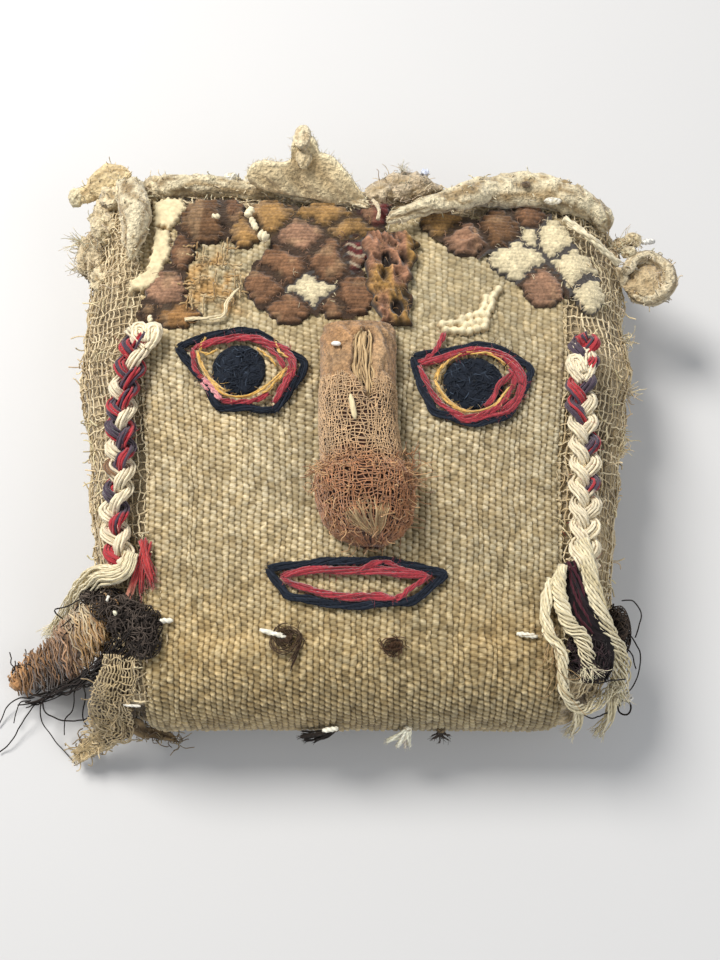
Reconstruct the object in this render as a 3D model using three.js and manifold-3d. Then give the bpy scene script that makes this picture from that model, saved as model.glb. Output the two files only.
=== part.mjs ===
// Woven textile mask: a stuffed square head of crinkled gauze with a ribbed face cloth sewn over its front.
// Millimetres. The mask lies on its flat back with the forehead toward +Y and the face toward +Z,
// and the origin is the middle of the flat back.
import * as THREE from 'three';
import { mergeVertices } from 'three/addons/utils/BufferGeometryUtils.js';
import Module from 'manifold-3d';

const wasm = await Module();
wasm.setup();

// Stuffed body
const EDGE_RADIUS = 21;
const TOP_REACH = 94;
const CHIN_REACH = 88;
const CROWN = 5;
const LEFT_REACH = [[-88, 76], [-50, 80], [-10, 85], [25, 91], [60, 89], [94, 92]];
const RIGHT_REACH = [[-88, 76], [-50, 80], [-10, 85], [25, 91], [60, 90], [94, 89]];
const PLATE_PIECES = 6;
const EDGE_PIECES = 3;

// Face cloth
const CLOTH_GAP = 0.55;
const CLOTH_THICKNESS = 1.5;
const CLOTH_HALF_WIDTH = [[-88, 61], [-20, 63], [30, 68], [92, 72]];
const CLOTH_TOP = 74;
const CLOTH_CHIN_ANGLE = 1.75;
const CLOTH_CHIN_PIECES = 7;
const CLOTH_FRONT_PIECES = 8;
const CLOTH_TOP_PIECES = 1;
const CLOTH_WIDTH_PIECES = 10;
const TOUCH = 0.35;

// Nose
const NOSE_BRIDGE_Y = 31;
const NOSE_TIP_Y = -42;
const NOSE_HALF_WIDTH = [[-42, 5], [-39, 11], [-33, 14], [-25, 15.6], [-19, 15.8], [-15, 13.2], [0, 13],
  [31, 12.4]];
const NOSE_HEIGHT = [[-42, 4], [-39, 11], [-33, 17], [-25, 20], [-19, 20], [-15, 17], [0, 15.5], [31, 10]];
const NOSE_CENTRE_X = [[-42, 3.8], [0, 2.4], [31, 2]];

// Eyes and mouth, outer edge of the dark blue outlines
const LEFT_EYE = [[-57, 27.5], [-46, 32], [-36, 33.5], [-30, 32.5], [-24, 28.5], [-14, 22], [-16, 18],
  [-23.5, 5], [-33, 5.4], [-43, 5.4], [-46.5, 14.5]];
const RIGHT_EYE = [[18, 24], [27.5, 26], [39, 28.6], [45.5, 28.4], [56, 21.8], [57, 20], [54, 12],
  [48.5, 2.6], [37.5, 0], [24, 4], [20.5, 12]];
const LEFT_PUPIL = { x: -35.8, y: 19, radius: 8 };
const RIGHT_PUPIL = { x: 36.8, y: 15, radius: 8.6 };
const EYE_BAND = 2.3;
const RED_BAND = 2;
const GOLD_BAND = 0.8;
const MOUTH = [[-26.3, -43.7], [-7, -42], [15.7, -42.4], [28.4, -46], [18, -55], [0, -56], [-20.5, -53.6],
  [-21.5, -49.5]];
const MOUTH_BAND = 2.1;
const MOUTH_RED_BAND = 1.8;
const YARN_THICKNESS = 1.5;
const GOLD_THICKNESS = 1.2;

// Forehead tapestry: centre, half width and half height of each lozenge
const TAPESTRY_THICKNESS = 1.6;
const TAPESTRY_LIFT = 0.8;
const LEFT_LOZENGES = [[-28, 74.5, 8, 6.5], [-35.5, 68, 5.5, 5.5], [-10, 75, 9, 4.5], [-1, 68.8, 7.5, 4.5],
  [-16.8, 66, 8, 7.2], [-22.6, 56, 8, 7.2], [-8.6, 57, 7.4, 8], [-28.6, 48.4, 6.8, 6.8], [-13.5, 46.6, 8.4, 7],
  [-20.7, 39.4, 6.8, 4.8], [0.2, 60.6, 5.2, 7], [0.4, 44.2, 7, 6.4], [-6, 39.8, 4.4, 3.2]];
const CORNER_LOZENGES = [[-48.6, 73, 8, 8.4], [-54, 60.5, 3.6, 8.6], [-54.5, 47.5, 6.2, 7.2],
  [-49.4, 41, 6, 4.5]];
const RIGHT_LOZENGES = [[27, 75, 9.6, 4.6], [44.5, 72, 10.5, 6.4], [34.6, 65.4, 6.4, 6.2], [57, 74, 5.2, 5.6],
  [65.4, 67.4, 6, 6.4], [54.5, 59, 9.4, 7.4], [71.4, 56.6, 8.6, 7.4], [60.8, 48.6, 6.4, 7], [76, 46.6, 5.4, 8]];
const STRIP_LOBES = [[28.2, 34.8], [32.6, 36.4], [37, 38.8], [40.6, 41.8], [44, 45], [47.2, 48.8]];
const STRIP_LOBE_HALF = [3.3, 3.1];
const LOZENGE_CORNERS = 12;
const LOZENGE_POWER = 1.7;
const STRIP_LOBE_CORNERS = 8;
const UPPER_SCRAP = [[-66, 80], [-62, 82], [-57.4, 81], [-58.4, 73], [-60.5, 69.8], [-65.5, 71.5]];
const LOWER_SCRAP = [[-65, 69.4], [-60.4, 67.6], [-60, 60], [-62.2, 55], [-63, 49.6], [-71.6, 47.6], [-72, 50.5],
  [-66.8, 55], [-65.4, 61]];

// Plaits
const PLAIT_PERIOD = 18.4;
const PLAIT_STEPS = 8;
const PLAIT_SWING = 3.2;
const PLAIT_RISE = 2.8;
const STRAND_HALF_WIDTH = 1.5;
const STRAND_HALF_THICKNESS = 1.1;
const LEFT_PLAIT = [[30, -67.5], [10, -70.6], [-16, -69.6], [-28, -70.4], [-44, -67.6]];
const RIGHT_PLAIT = [[28, 72], [10, 69.6], [-6, 69.4], [-26, 68.4], [-44, 67]];
const LEFT_KNOT_PLACE = [-66.6, 35.4];
const RIGHT_KNOT_PLACE = [72.4, 33.4];
const PLAIT_KNOT_HALF = [4.4, 3.9, 6];

// Torn slot in the nose
const NOSE_SLOT = { centreX: 8, centreY: 12, length: 34, lean: 3, halfWidth: 2.6, depth: 4 };

// Scrap that hangs in folds beside the middle of the forehead
const ON_TAPESTRY = TAPESTRY_LIFT + TAPESTRY_THICKNESS + TOUCH;
const HANGING_SCRAP = {
  x: 11.8, topY: 68, bottomY: 36.5, topHalf: 8.4, bottomHalf: 5, folds: 3, foldDepth: 2.2, thickness: 1.3,
};
const CREAM_STICK = [[70.2, 69.6, 48.8], [79, 63.6, 46.8], [87.4, 60, 39.6]];
const CREAM_STICK_RADIUS = 1.2;

// Rolled gauze, with half thickness along the way
const TOP_ROLL_LEFT = {
  points: [[-66.3, 88.1, 41.2], [-55.6, 88.9, 40.6], [-41.2, 87.9, 41.4], [-30, 85.8, 42.4], [-21, 83.4, 43.2]],
  half: [[0, 2.8], [0.3, 3.4], [0.6, 3.2], [0.85, 2.4], [1, 1.5]],
  side: [0, 1, 0],
  steps: 12,
};
const TOP_ROLL_RIGHT = {
  points: [[10.4, 73, 49.4], [16.2, 74.6, 51], [24, 76.4, 52.4], [33, 78.2, 52.6], [39, 81.8, 49.4], [45, 84.4, 46.2],
    [53.3, 85.4, 45.2], [63.6, 82.6, 46.2], [72.6, 79, 46.4], [80.4, 75.7, 43.6], [85, 70, 39.6]],
  half: [[0, 1.8], [0.2, 2.8], [0.4, 4], [0.55, 4.4], [0.75, 4.6], [1, 3]],
  thick: [[0, 1.6], [0.2, 2.8], [0.4, 3.8], [0.55, 4.2], [0.75, 4.4], [1, 2.8]],
  side: [0, 1, 0],
  sides: 7,
  steps: 16,
};
const LEFT_EDGE_ROLL = {
  points: [[-79, 88, 39], [-73.6, 84, 45], [-71, 76, 50], [-70.6, 67, 51], [-71.6, 58, 50]],
  half: [[0, 3.4], [0.3, 4.6], [0.7, 5.2], [1, 3.6]],
  side: [1, 0, 0],
  steps: 9,
};
const PEAKED_FOLD = {
  outline: [[-34, 3.6], [-34.6, 7.4], [-29.4, 10], [-22.8, 9.8], [-19.6, 12], [-19.4, 16], [-16.4, 19.6],
    [-12.3, 16.8], [-11, 12.8], [-6.8, 11.2], [-1, 5.2], [4.7, -2.6], [-5.3, -2.8], [-15, -1.2], [-25.6, 0.2]],
  thickness: 4.6,
  round: 1.2,
  lean: 0.7,
  baseY: 83.4,
  baseZ: 45,
};
const LEFT_CORNER_TUFT = {
  points: [[-78.6, 94, 38.6], [-84, 92, 38], [-89, 88.6, 37.6], [-95, 86.4, 37]],
  half: [[0, 2.4], [0.3, 7], [0.6, 6.4], [0.8, 2.6], [1, 2]],
  thick: [[0, 1.8], [0.5, 2.6], [1, 1.6]],
  side: [0.3, 1, 0],
  steps: 6,
};
const RIGHT_CORNER_LOOP = {
  points: [[91.6, 61, 36], [96, 66, 36], [102, 65.4, 35.5], [106, 60, 35], [104.4, 53, 34], [98, 50.4, 33],
    [92.6, 52.6, 32]],
  half: [[0, 2.4], [0.5, 3.2], [1, 2.4]],
  steps: 10,
};
const TOP_TOW = { centre: [16.5, 87, 44], half: [10, 5.2, 4], around: 10, down: 6 };
const LEFT_FRAYED_TUFT = { centre: [-91.2, 66, 34.6], half: [4.5, 8, 4.5] };
const RIGHT_CORNER_TUFT = { centre: [96, 73, 37], half: [6.5, 3.2, 3] };

// Loose ends below the plaits
const LEFT_YARN_TAIL = {
  points: [[-67.6, -49.4, 49], [-75, -49.4, 41], [-82, -48, 31.4], [-87.4, -47.4, 20], [-92, -48.6, 10.5],
    [-97, -53, 5], [-101, -59, 3.4]],
  half: [[0, 2.6], [0.3, 3.8], [0.8, 3], [1, 1.8]],
  thick: [[0, 2], [0.3, 2.4], [0.8, 2.2], [1, 1.2]],
  side: [0, 1, 0],
  sides: 7,
  steps: 11,
};
const LEFT_RED_TUFT = {
  points: [[-60.6, -38, 48.4], [-60, -46, 48.2], [-59.2, -51, 48]],
  half: [[0, 1], [0.5, 1.5], [1, 2]],
  thick: [[0, 1], [1, 1]],
  side: [1, 0, 0],
  sides: 5,
  steps: 3,
};
const LEFT_TASSEL_STRIP = {
  points: [[-77.6, -61, 38], [-84.6, -62.6, 29], [-91, -65.4, 19], [-98, -69, 10.5], [-105, -73, 6],
    [-110.5, -76.4, 4]],
  half: [[0, 5.5], [0.3, 7.4], [0.8, 6], [1, 3.6]],
  thick: [[0, 2], [0.5, 2.6], [1, 1.8]],
  side: [-0.45, 1, 0],
  sides: 8,
  steps: 9,
};
const RIGHT_YARN_INNER = {
  points: [[56.4, -50, 48], [55.5, -58.7, 48], [58, -66, 47.2], [59.8, -73, 45.8], [58.6, -79.7, 42.4],
    [60, -84.4, 38.4]],
  half: [[0, 1.5], [0.5, 1.5], [1, 1.2]],
  steps: 11,
};
const RIGHT_YARN_MIDDLE = {
  points: [[60, -46.4, 48.4], [60, -54.2, 48.2], [61.4, -60.1, 48], [65.6, -66, 46.4], [66.8, -72.6, 44],
    [67.8, -78, 40]],
  half: [[0, 1.8], [0.5, 2.1], [1, 1.7]],
  steps: 11,
};
const RIGHT_YARN_OUTER = {
  points: [[67.4, -47.6, 48], [69.8, -54, 46], [74, -62, 41.4], [80.4, -68.4, 32], [82.6, -77.6, 24], [78.4, -86.4, 19],
    [72.4, -88.4, 17]],
  half: [[0, 2.2], [0.4, 2.6], [0.8, 2.4], [1, 1.6]],
  thick: [[0, 1.8], [1, 1.8]],
  steps: 13,
};
const RIGHT_TASSEL_THREADS = {
  fromY: -50,
  toY: -76,
  centreX: (y) => along([[-76, 72], [-66, 71], [-58, 66.2], [-50, 64.6]], y),
  halfWidth: (y) => along([[-76, 1.8], [-70, 3.2], [-58, 2.4], [-50, 1.6]], y),
  height: (y) => along([[-76, 1], [-66, 2.4], [-50, 1.4]], y),
  sides: 8,
  rows: 6,
  endPower: 1,
};
const LOWER_LEFT_FLAP = {
  points: [[-68, -70, 43.4], [-72.4, -78, 38], [-76, -84.4, 29], [-78.6, -89, 18], [-80, -93, 8], [-86, -97, 3]],
  half: [[0, 4], [0.3, 7.5], [0.7, 8.5], [0.9, 5], [1, 1.4]],
  thick: [[0, 1.1], [0.8, 1.3], [1, 1]],
  side: [1, -0.35, 0.3],
  sides: 8,
  steps: 9,
};
const LEFT_TASSEL_THREADS = { centre: [-65.4, -61], half: [8, 8, 4.6], sides: 10 };
const RIGHT_THREAD_KNOT = { centre: [83, -55, 30], half: [3.8, 4.4, 3.8] };

// Stitch ends and knots
const STITCH_RADIUS = 0.8;
const CHIN_STITCH_LEFT = [[-29.4, -63.2], [-24, -63.8]];
const CHIN_STITCH_RIGHT = [[49, -63.4], [55, -64.2]];
const CHEEK_STITCH_LEFT = [[-56.6, -60], [-52.8, -60.2]];
const CHIN_HAIR_KNOT = { centre: [-19.4, -65.5], half: [3.6, 4, 1.6] };
const CHIN_DARK_KNOT = { centre: [11.3, -68], half: [2.8, 2.8, 1.5] };
const BOTTOM_KNOT = { centre: [-13, -92.4, 21], half: [3.2, 1.8, 2.2] };
const BOTTOM_STITCH = [[-9, -91.5, 23], [-5, -91.4, 23.4]];
const BOTTOM_WHITE_TUFT = { centre: [14, -93.2, 19], half: [3.2, 2.6, 2] };
const BOTTOM_DARK_TUFT = { centre: [25.5, -92.4, 18], half: [2.4, 1.8, 2] };

const COLOURS = {
  gauze: 0xb9a684, faceCloth: 0xa08a60, noseGauze: 0x9a6a45, navy: 0x1d2638, crimson: 0xa8353f, gold: 0xb8862f,
  tapestryBrown: 0x82563a, tapestryCream: 0xd6c39a, ochre: 0x9b6c38, rolledCream: 0xcdb892, creamYarn: 0xe4d9b8,
  purpleYarn: 0x40343f, blackThread: 0x1f1a18, brownFringe: 0x7a5534, darkKnot: 0x3a2a20,
};

const mask = new THREE.Group();

function addPiece(name, geometry, colour, roughness = 0.95) {
  const material = new THREE.MeshStandardMaterial({ color: colour, roughness, metalness: 0 });
  const mesh = new THREE.Mesh(geometry, material);
  mesh.name = name;
  mask.add(mesh);
}

// Value of a table of [position, value] rows at a position, eased between the rows
function along(table, position) {
  const rows = [...table].sort((a, b) => a[0] - b[0]);
  if (position <= rows[0][0]) {
    return rows[0][1];
  }
  for (let i = 1; i < rows.length; i += 1) {
    const [low, lowValue] = rows[i - 1];
    const [high, highValue] = rows[i];
    if (position <= high) {
      const share = THREE.MathUtils.smoothstep(position, low, high);
      return lowValue + (highValue - lowValue) * (0.5 * share + 0.5 * (position - low) / (high - low));
    }
  }
  return rows[rows.length - 1][1];
}

function bodyReach(side, y) {
  return along(side < 0 ? LEFT_REACH : RIGHT_REACH, y);
}

// How much of the crown a place on the body takes
function crownShare(x, y) {
  const middle = (TOP_REACH - CHIN_REACH) / 2;
  const across = x / bodyReach(x, y);
  const lengthways = (y - middle) / ((TOP_REACH + CHIN_REACH) / 2);
  return Math.max(0, 1 - across * across) * Math.max(0, 1 - lengthways * lengthways);
}

// Height of the body's front over a place in plan
function bodyTop(x, y) {
  const beyondSide = Math.max(0, Math.abs(x) - (bodyReach(x, y) - EDGE_RADIUS));
  const beyondEnd = Math.max(0, y - (TOP_REACH - EDGE_RADIUS), -y - (CHIN_REACH - EDGE_RADIUS));
  const beyond = Math.min(EDGE_RADIUS, Math.hypot(beyondSide, beyondEnd));
  const lift = Math.sqrt(EDGE_RADIUS * EDGE_RADIUS - beyond * beyond);
  return EDGE_RADIUS + lift + CROWN * (lift / EDGE_RADIUS) * crownShare(x, y);
}

function clothTop(x, y) {
  return bodyTop(x, y) + CLOTH_GAP + CLOTH_THICKNESS;
}

function moveVertices(geometry, move) {
  const position = geometry.attributes.position;
  const point = new THREE.Vector3();
  for (let i = 0; i < position.count; i += 1) {
    point.fromBufferAttribute(position, i);
    move(point);
    position.setXYZ(i, point.x, point.y, point.z);
  }
  return geometry;
}

function welded(geometry) {
  const bare = geometry.clone();
  bare.deleteAttribute('normal');
  bare.deleteAttribute('uv');
  return mergeVertices(bare, 1e-4);
}

function toSolid(geometry) {
  const bare = welded(geometry);
  const mesh = new wasm.Mesh({
    numProp: 3,
    vertProperties: new Float32Array(bare.attributes.position.array),
    triVerts: new Uint32Array(bare.index.array),
  });
  return new wasm.Manifold(mesh);
}

function toGeometry(solid) {
  const mesh = solid.getMesh();
  const geometry = new THREE.BufferGeometry();
  geometry.setAttribute('position', new THREE.BufferAttribute(new Float32Array(mesh.vertProperties), 3));
  geometry.setIndex(new THREE.BufferAttribute(new Uint32Array(mesh.triVerts), 1));
  return geometry;
}

function fused(geometries) {
  return toGeometry(geometries.map(toSolid).reduce((joined, next) => joined.add(next)));
}

// Lays a piece made flat in plan on the face cloth
function laidOnCloth(geometry, lift = TOUCH) {
  return moveVertices(geometry, (p) => {
    p.z += clothTop(p.x, p.y) + lift;
  });
}

// Body and face cloth
// Splits a cube coordinate into a place on the plate and a step out over the edge
function plateAndEdge(value) {
  const plateShare = PLATE_PIECES / (PLATE_PIECES + 2 * EDGE_PIECES);
  const size = Math.abs(value);
  const onPlate = Math.min(1, size / plateShare);
  const overEdge = Math.max(0, (size - plateShare) / (1 - plateShare));
  return { plate: Math.sign(value) * onPlate, edge: Math.sign(value) * Math.tan(overEdge * Math.PI / 4) };
}

function stuffedBody() {
  const pieces = PLATE_PIECES + 2 * EDGE_PIECES;
  const cube = new THREE.BoxGeometry(2, 2, 2, pieces, pieces, 2 * EDGE_PIECES);
  return moveVertices(cube, (p) => {
    const across = plateAndEdge(p.x);
    const lengthways = plateAndEdge(p.y);
    const upward = Math.tan(p.z * Math.PI / 4);
    const direction = new THREE.Vector3(across.edge, lengthways.edge, upward).normalize();
    const end = (lengthways.plate > 0 ? TOP_REACH : CHIN_REACH) - EDGE_RADIUS;
    const y = lengthways.plate * end;
    const reachX = bodyReach(across.plate, y) - EDGE_RADIUS;
    p.set(across.plate * reachX, y, EDGE_RADIUS).addScaledVector(direction, EDGE_RADIUS);
    p.z += CROWN * Math.max(0, direction.z) * crownShare(p.x, p.y);
  });
}

// The cloth lies on the front, rolls down round the chin and ends below it
function facePanel() {
  const chinStart = -(CHIN_REACH - EDGE_RADIUS);
  const topEnd = TOP_REACH - EDGE_RADIUS;
  const pieces = CLOTH_CHIN_PIECES + CLOTH_FRONT_PIECES + CLOTH_TOP_PIECES;
  const sheet = new THREE.BoxGeometry(2, pieces, 1, CLOTH_WIDTH_PIECES, pieces, 1);
  return moveVertices(sheet, (p) => {
    const row = p.y + pieces / 2;
    const chinAngle = CLOTH_CHIN_ANGLE * Math.max(0, 1 - row / CLOTH_CHIN_PIECES);
    const frontShare = THREE.MathUtils.clamp((row - CLOTH_CHIN_PIECES) / CLOTH_FRONT_PIECES, 0, 1);
    const topShare = Math.max(0, row - CLOTH_CHIN_PIECES - CLOTH_FRONT_PIECES) / CLOTH_TOP_PIECES;
    const topAngle = topShare * (CLOTH_TOP - topEnd) / EDGE_RADIUS;
    const y = chinStart + frontShare * (topEnd - chinStart);
    const x = p.x * along(CLOTH_HALF_WIDTH, y);
    const plate = bodyReach(x, y) - EDGE_RADIUS;
    const sideSine = Math.max(0, Math.abs(x) - plate) / EDGE_RADIUS;
    const sideCosine = Math.sqrt(1 - sideSine * sideSine);
    const direction = new THREE.Vector3(
      Math.sign(x) * sideSine,
      sideCosine * (Math.sin(topAngle) - Math.sin(chinAngle)),
      sideCosine * Math.cos(Math.max(topAngle, chinAngle)),
    );
    const lift = CLOTH_GAP + (p.z + 0.5) * CLOTH_THICKNESS;
    p.set(THREE.MathUtils.clamp(x, -plate, plate), y, EDGE_RADIUS);
    p.addScaledVector(direction, EDGE_RADIUS + lift);
    p.z += CROWN * Math.max(0, direction.z) * crownShare(p.x, p.y);
  });
}

// Nose, eyes and mouth
// A rounded mound with a flat underside that follows the cloth, from rows of half width and height along Y
function moundAlong({ fromY, toY, centreX, halfWidth, height, sides, rows, endPower = 1.6 }) {
  const drum = new THREE.CylinderGeometry(1, 1, 1, sides, rows);
  return moveVertices(drum, (p) => {
    const share = p.y + 0.5;
    const y = toY + (fromY - toY) * share ** endPower;
    const radius = Math.hypot(p.x, p.z);
    const across = radius > 0 ? Math.sign(p.x) * Math.abs(p.x) ** 0.8 : 0;
    const upward = Math.max(0, p.z) ** 0.75;
    const x = centreX(y) + across * halfWidth(y);
    p.set(x, y, clothTop(x, y) + TOUCH + upward * height(y));
  });
}

function noseRoll() {
  const roll = moundAlong({
    fromY: NOSE_BRIDGE_Y,
    toY: NOSE_TIP_Y,
    centreX: (y) => along(NOSE_CENTRE_X, y),
    halfWidth: (y) => along(NOSE_HALF_WIDTH, y),
    height: (y) => along(NOSE_HEIGHT, y),
    sides: 14,
    rows: 14,
  });
  const slot = moveVertices(new THREE.BoxGeometry(1, 1, 1, 1, 6, 1), (p) => {
    const y = NOSE_SLOT.centreY + p.y * NOSE_SLOT.length;
    const spindle = Math.sqrt(Math.max(0.02, 1 - 4 * p.y * p.y));
    const x = NOSE_SLOT.centreX - p.y * NOSE_SLOT.lean + p.x * 2 * NOSE_SLOT.halfWidth * spindle;
    const top = clothTop(x, y) + TOUCH + along(NOSE_HEIGHT, y);
    p.set(x, y, p.z > 0 ? top + NOSE_SLOT.depth : top - NOSE_SLOT.depth * spindle);
  });
  return toGeometry(toSolid(roll).subtract(toSolid(slot)));
}

// Corners of a clockwise outline moved inward
function inset(outline, distance) {
  const count = outline.length;
  const inward = (from, to) => new THREE.Vector2(to[1] - from[1], from[0] - to[0]).normalize();
  return outline.map((corner, i) => {
    const before = inward(outline[(i + count - 1) % count], corner);
    const after = inward(corner, outline[(i + 1) % count]);
    const middle = before.clone().add(after).normalize();
    const reach = distance / Math.max(0.45, middle.dot(before));
    return new THREE.Vector2(...corner).addScaledVector(middle, reach);
  });
}

// A flat band of couched yarn between two insets of an outline
function yarnBand(outline, outer, inner) {
  const shape = new THREE.Shape(inset(outline, outer));
  shape.holes.push(new THREE.Path(inset(outline, inner).reverse()));
  return new THREE.ExtrudeGeometry(shape, { depth: YARN_THICKNESS, bevelEnabled: false });
}

function disc({ x, y }, radius, depth) {
  const shape = new THREE.Shape().absarc(x, y, radius, 0, 2 * Math.PI);
  return new THREE.ExtrudeGeometry(shape, { depth, bevelEnabled: false, curveSegments: 10 });
}

function ring(centre, inner, outer) {
  const shape = new THREE.Shape().absarc(centre.x, centre.y, outer, 0, 2 * Math.PI);
  shape.holes.push(new THREE.Path().absarc(centre.x, centre.y, inner, 0, 2 * Math.PI));
  return new THREE.ExtrudeGeometry(shape, { depth: GOLD_THICKNESS, bevelEnabled: false, curveSegments: 8 });
}

function pupil({ x, y, radius }) {
  const profile = [[0, 0], [radius, 0], [radius * 0.96, 0.9], [radius * 0.6, 1.9], [0, 2.2]];
  const button = new THREE.LatheGeometry(profile.map(([r, h]) => new THREE.Vector2(r, h)), 14);
  button.rotateX(Math.PI / 2);
  button.translate(x, y, 0);
  return laidOnCloth(button);
}

// The red yarn fills the space between the outline and the gold ring, as far as it is wide enough
function addEye(side, outline, centre) {
  const redStart = EYE_BAND + TOUCH;
  const goldStart = centre.radius + TOUCH;
  const goldEnd = goldStart + GOLD_BAND;
  const red = toSolid(yarnBand(outline, redStart, redStart + RED_BAND));
  const cut = toSolid(disc(centre, goldEnd + TOUCH, YARN_THICKNESS));
  addPiece(`${side}_eye_outline`, laidOnCloth(yarnBand(outline, 0, EYE_BAND)), COLOURS.navy);
  addPiece(`${side}_eye_red_yarn`, laidOnCloth(toGeometry(red.subtract(cut))), COLOURS.crimson);
  addPiece(`${side}_eye_gold_yarn`, laidOnCloth(ring(centre, goldStart, goldEnd)), COLOURS.gold);
  addPiece(`${side}_eye_pupil`, pupil(centre), COLOURS.navy);
}

function addMouth() {
  const redStart = MOUTH_BAND + TOUCH;
  const red = yarnBand(MOUTH, redStart, redStart + MOUTH_RED_BAND);
  addPiece('mouth_outline', laidOnCloth(yarnBand(MOUTH, 0, MOUTH_BAND)), COLOURS.navy);
  addPiece('mouth_red_yarn', laidOnCloth(red), COLOURS.crimson);
}

// Forehead cloth
function lozenge([x, y, halfWidth, halfHeight], corners) {
  const powered = (part) => Math.abs(part) ** LOZENGE_POWER;
  const drum = new THREE.CylinderGeometry(1, 1, TAPESTRY_THICKNESS, corners, 1);
  drum.rotateX(Math.PI / 2);
  moveVertices(drum, (p) => {
    const angle = Math.atan2(p.y, p.x);
    const size = Math.hypot(p.x, p.y);
    const lozengeReach = (powered(Math.cos(angle)) + powered(Math.sin(angle))) ** (-1 / LOZENGE_POWER);
    const scallop = Math.round((angle * corners) / (2 * Math.PI)) % 2 === 0 ? 1 : 1.06;
    p.x = x + Math.cos(angle) * size * lozengeReach * scallop * halfWidth;
    p.y = y + Math.sin(angle) * size * lozengeReach * scallop * halfHeight;
    p.z += TAPESTRY_THICKNESS / 2;
  });
  return drum;
}

function lozengeCloth(lozenges, corners = LOZENGE_CORNERS) {
  return laidOnCloth(fused(lozenges.map((row) => lozenge(row, corners))), TAPESTRY_LIFT);
}

function steppedStrip() {
  return lozengeCloth(STRIP_LOBES.map((place) => [...place, ...STRIP_LOBE_HALF]), STRIP_LOBE_CORNERS);
}

function flatScrap(outline, lift) {
  const shape = new THREE.Shape(outline.map((corner) => new THREE.Vector2(...corner)));
  const scrap = new THREE.ExtrudeGeometry(shape, { depth: TAPESTRY_THICKNESS, bevelEnabled: false });
  return laidOnCloth(scrap, lift);
}

// The gathered scrap hangs in folds over the tapestry, wide at its top
function hangingScrap() {
  const { x, topY, bottomY, topHalf, bottomHalf, folds, foldDepth, thickness } = HANGING_SCRAP;
  const sheet = new THREE.BoxGeometry(2, 1, 1, 12, 3, 1);
  return moveVertices(sheet, (p) => {
    const share = 0.5 - p.y;
    const half = topHalf + (bottomHalf - topHalf) * share;
    const fold = foldDepth * (0.5 + 0.5 * Math.cos(p.x * folds * Math.PI));
    const lift = ON_TAPESTRY + fold + (p.z + 0.5) * thickness;
    const placeX = x + p.x * half;
    const placeY = topY + (bottomY - topY) * share;
    p.set(placeX, placeY, clothTop(placeX, placeY) + lift);
  });
}

// Rolls, tufts and yarns
// A closed form swept along points, with its half width, half thickness and wide direction given along the way
function sweep({ points, half, thick = half, side = [0, 0, 1], sides = 6, steps = 10 }) {
  const curve = new THREE.CatmullRomCurve3(points.map((point) => new THREE.Vector3(...point)));
  const drum = new THREE.CylinderGeometry(1, 1, 1, sides, steps);
  const wanted = new THREE.Vector3(...side);
  return moveVertices(drum, (p) => {
    const share = THREE.MathUtils.clamp(p.y + 0.5, 0, 1);
    const place = curve.getPointAt(share);
    const tangent = curve.getTangentAt(share);
    const wide = wanted.clone().addScaledVector(tangent, -wanted.dot(tangent)).normalize();
    const thin = wide.clone().cross(tangent);
    const across = p.x * along(half, share);
    const upward = p.z * along(thick, share);
    p.copy(place).addScaledVector(wide, across).addScaledVector(thin, upward);
  });
}

// A yarn of even thickness along points
function yarn(points, radius, sides, steps) {
  const section = new THREE.Shape();
  for (let i = 0; i < sides; i += 1) {
    const angle = (2 * Math.PI * i) / sides;
    section[i === 0 ? 'moveTo' : 'lineTo'](radius * Math.cos(angle), radius * Math.sin(angle));
  }
  const extrudePath = new THREE.CatmullRomCurve3(points.map((point) => new THREE.Vector3(...point)));
  return new THREE.ExtrudeGeometry(section, { steps, extrudePath, bevelEnabled: false });
}

function onCloth([x, y], lift) {
  return [x, y, clothTop(x, y) + lift];
}

function stitch(from, to) {
  const lift = TOUCH + STITCH_RADIUS;
  return yarn([onCloth(from, lift), onCloth(to, lift)], STITCH_RADIUS, 5, 1);
}

function lump({ centre, half, around = 8, down = 5 }) {
  const ball = new THREE.SphereGeometry(1, around, down);
  ball.scale(...half);
  ball.translate(...centre);
  return ball;
}

// Share of the full size at a place from -1 to 1 along a round form, with small flat ends
function roundness(place) {
  return Math.sqrt(Math.max(0.06, 1 - place * place));
}

// A low mound resting on the cloth
function moundOnCloth({ centre, half, sides = 8 }) {
  const [x, y] = centre;
  const [halfX, halfY, height] = half;
  return moundAlong({
    fromY: y + halfY,
    toY: y - halfY,
    centreX: () => x,
    halfWidth: (at) => halfX * roundness((at - y) / halfY),
    height: (at) => height * roundness((at - y) / halfY),
    sides,
    rows: 5,
    endPower: 1,
  });
}

// Outward direction of the body's front near a place
function clothNormal(x, y) {
  const step = 0.5;
  const slopeX = (clothTop(x + step, y) - clothTop(x - step, y)) / (2 * step);
  const slopeY = (clothTop(x, y + step) - clothTop(x, y - step)) / (2 * step);
  return new THREE.Vector3(-slopeX, -slopeY, 1).normalize();
}

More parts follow.
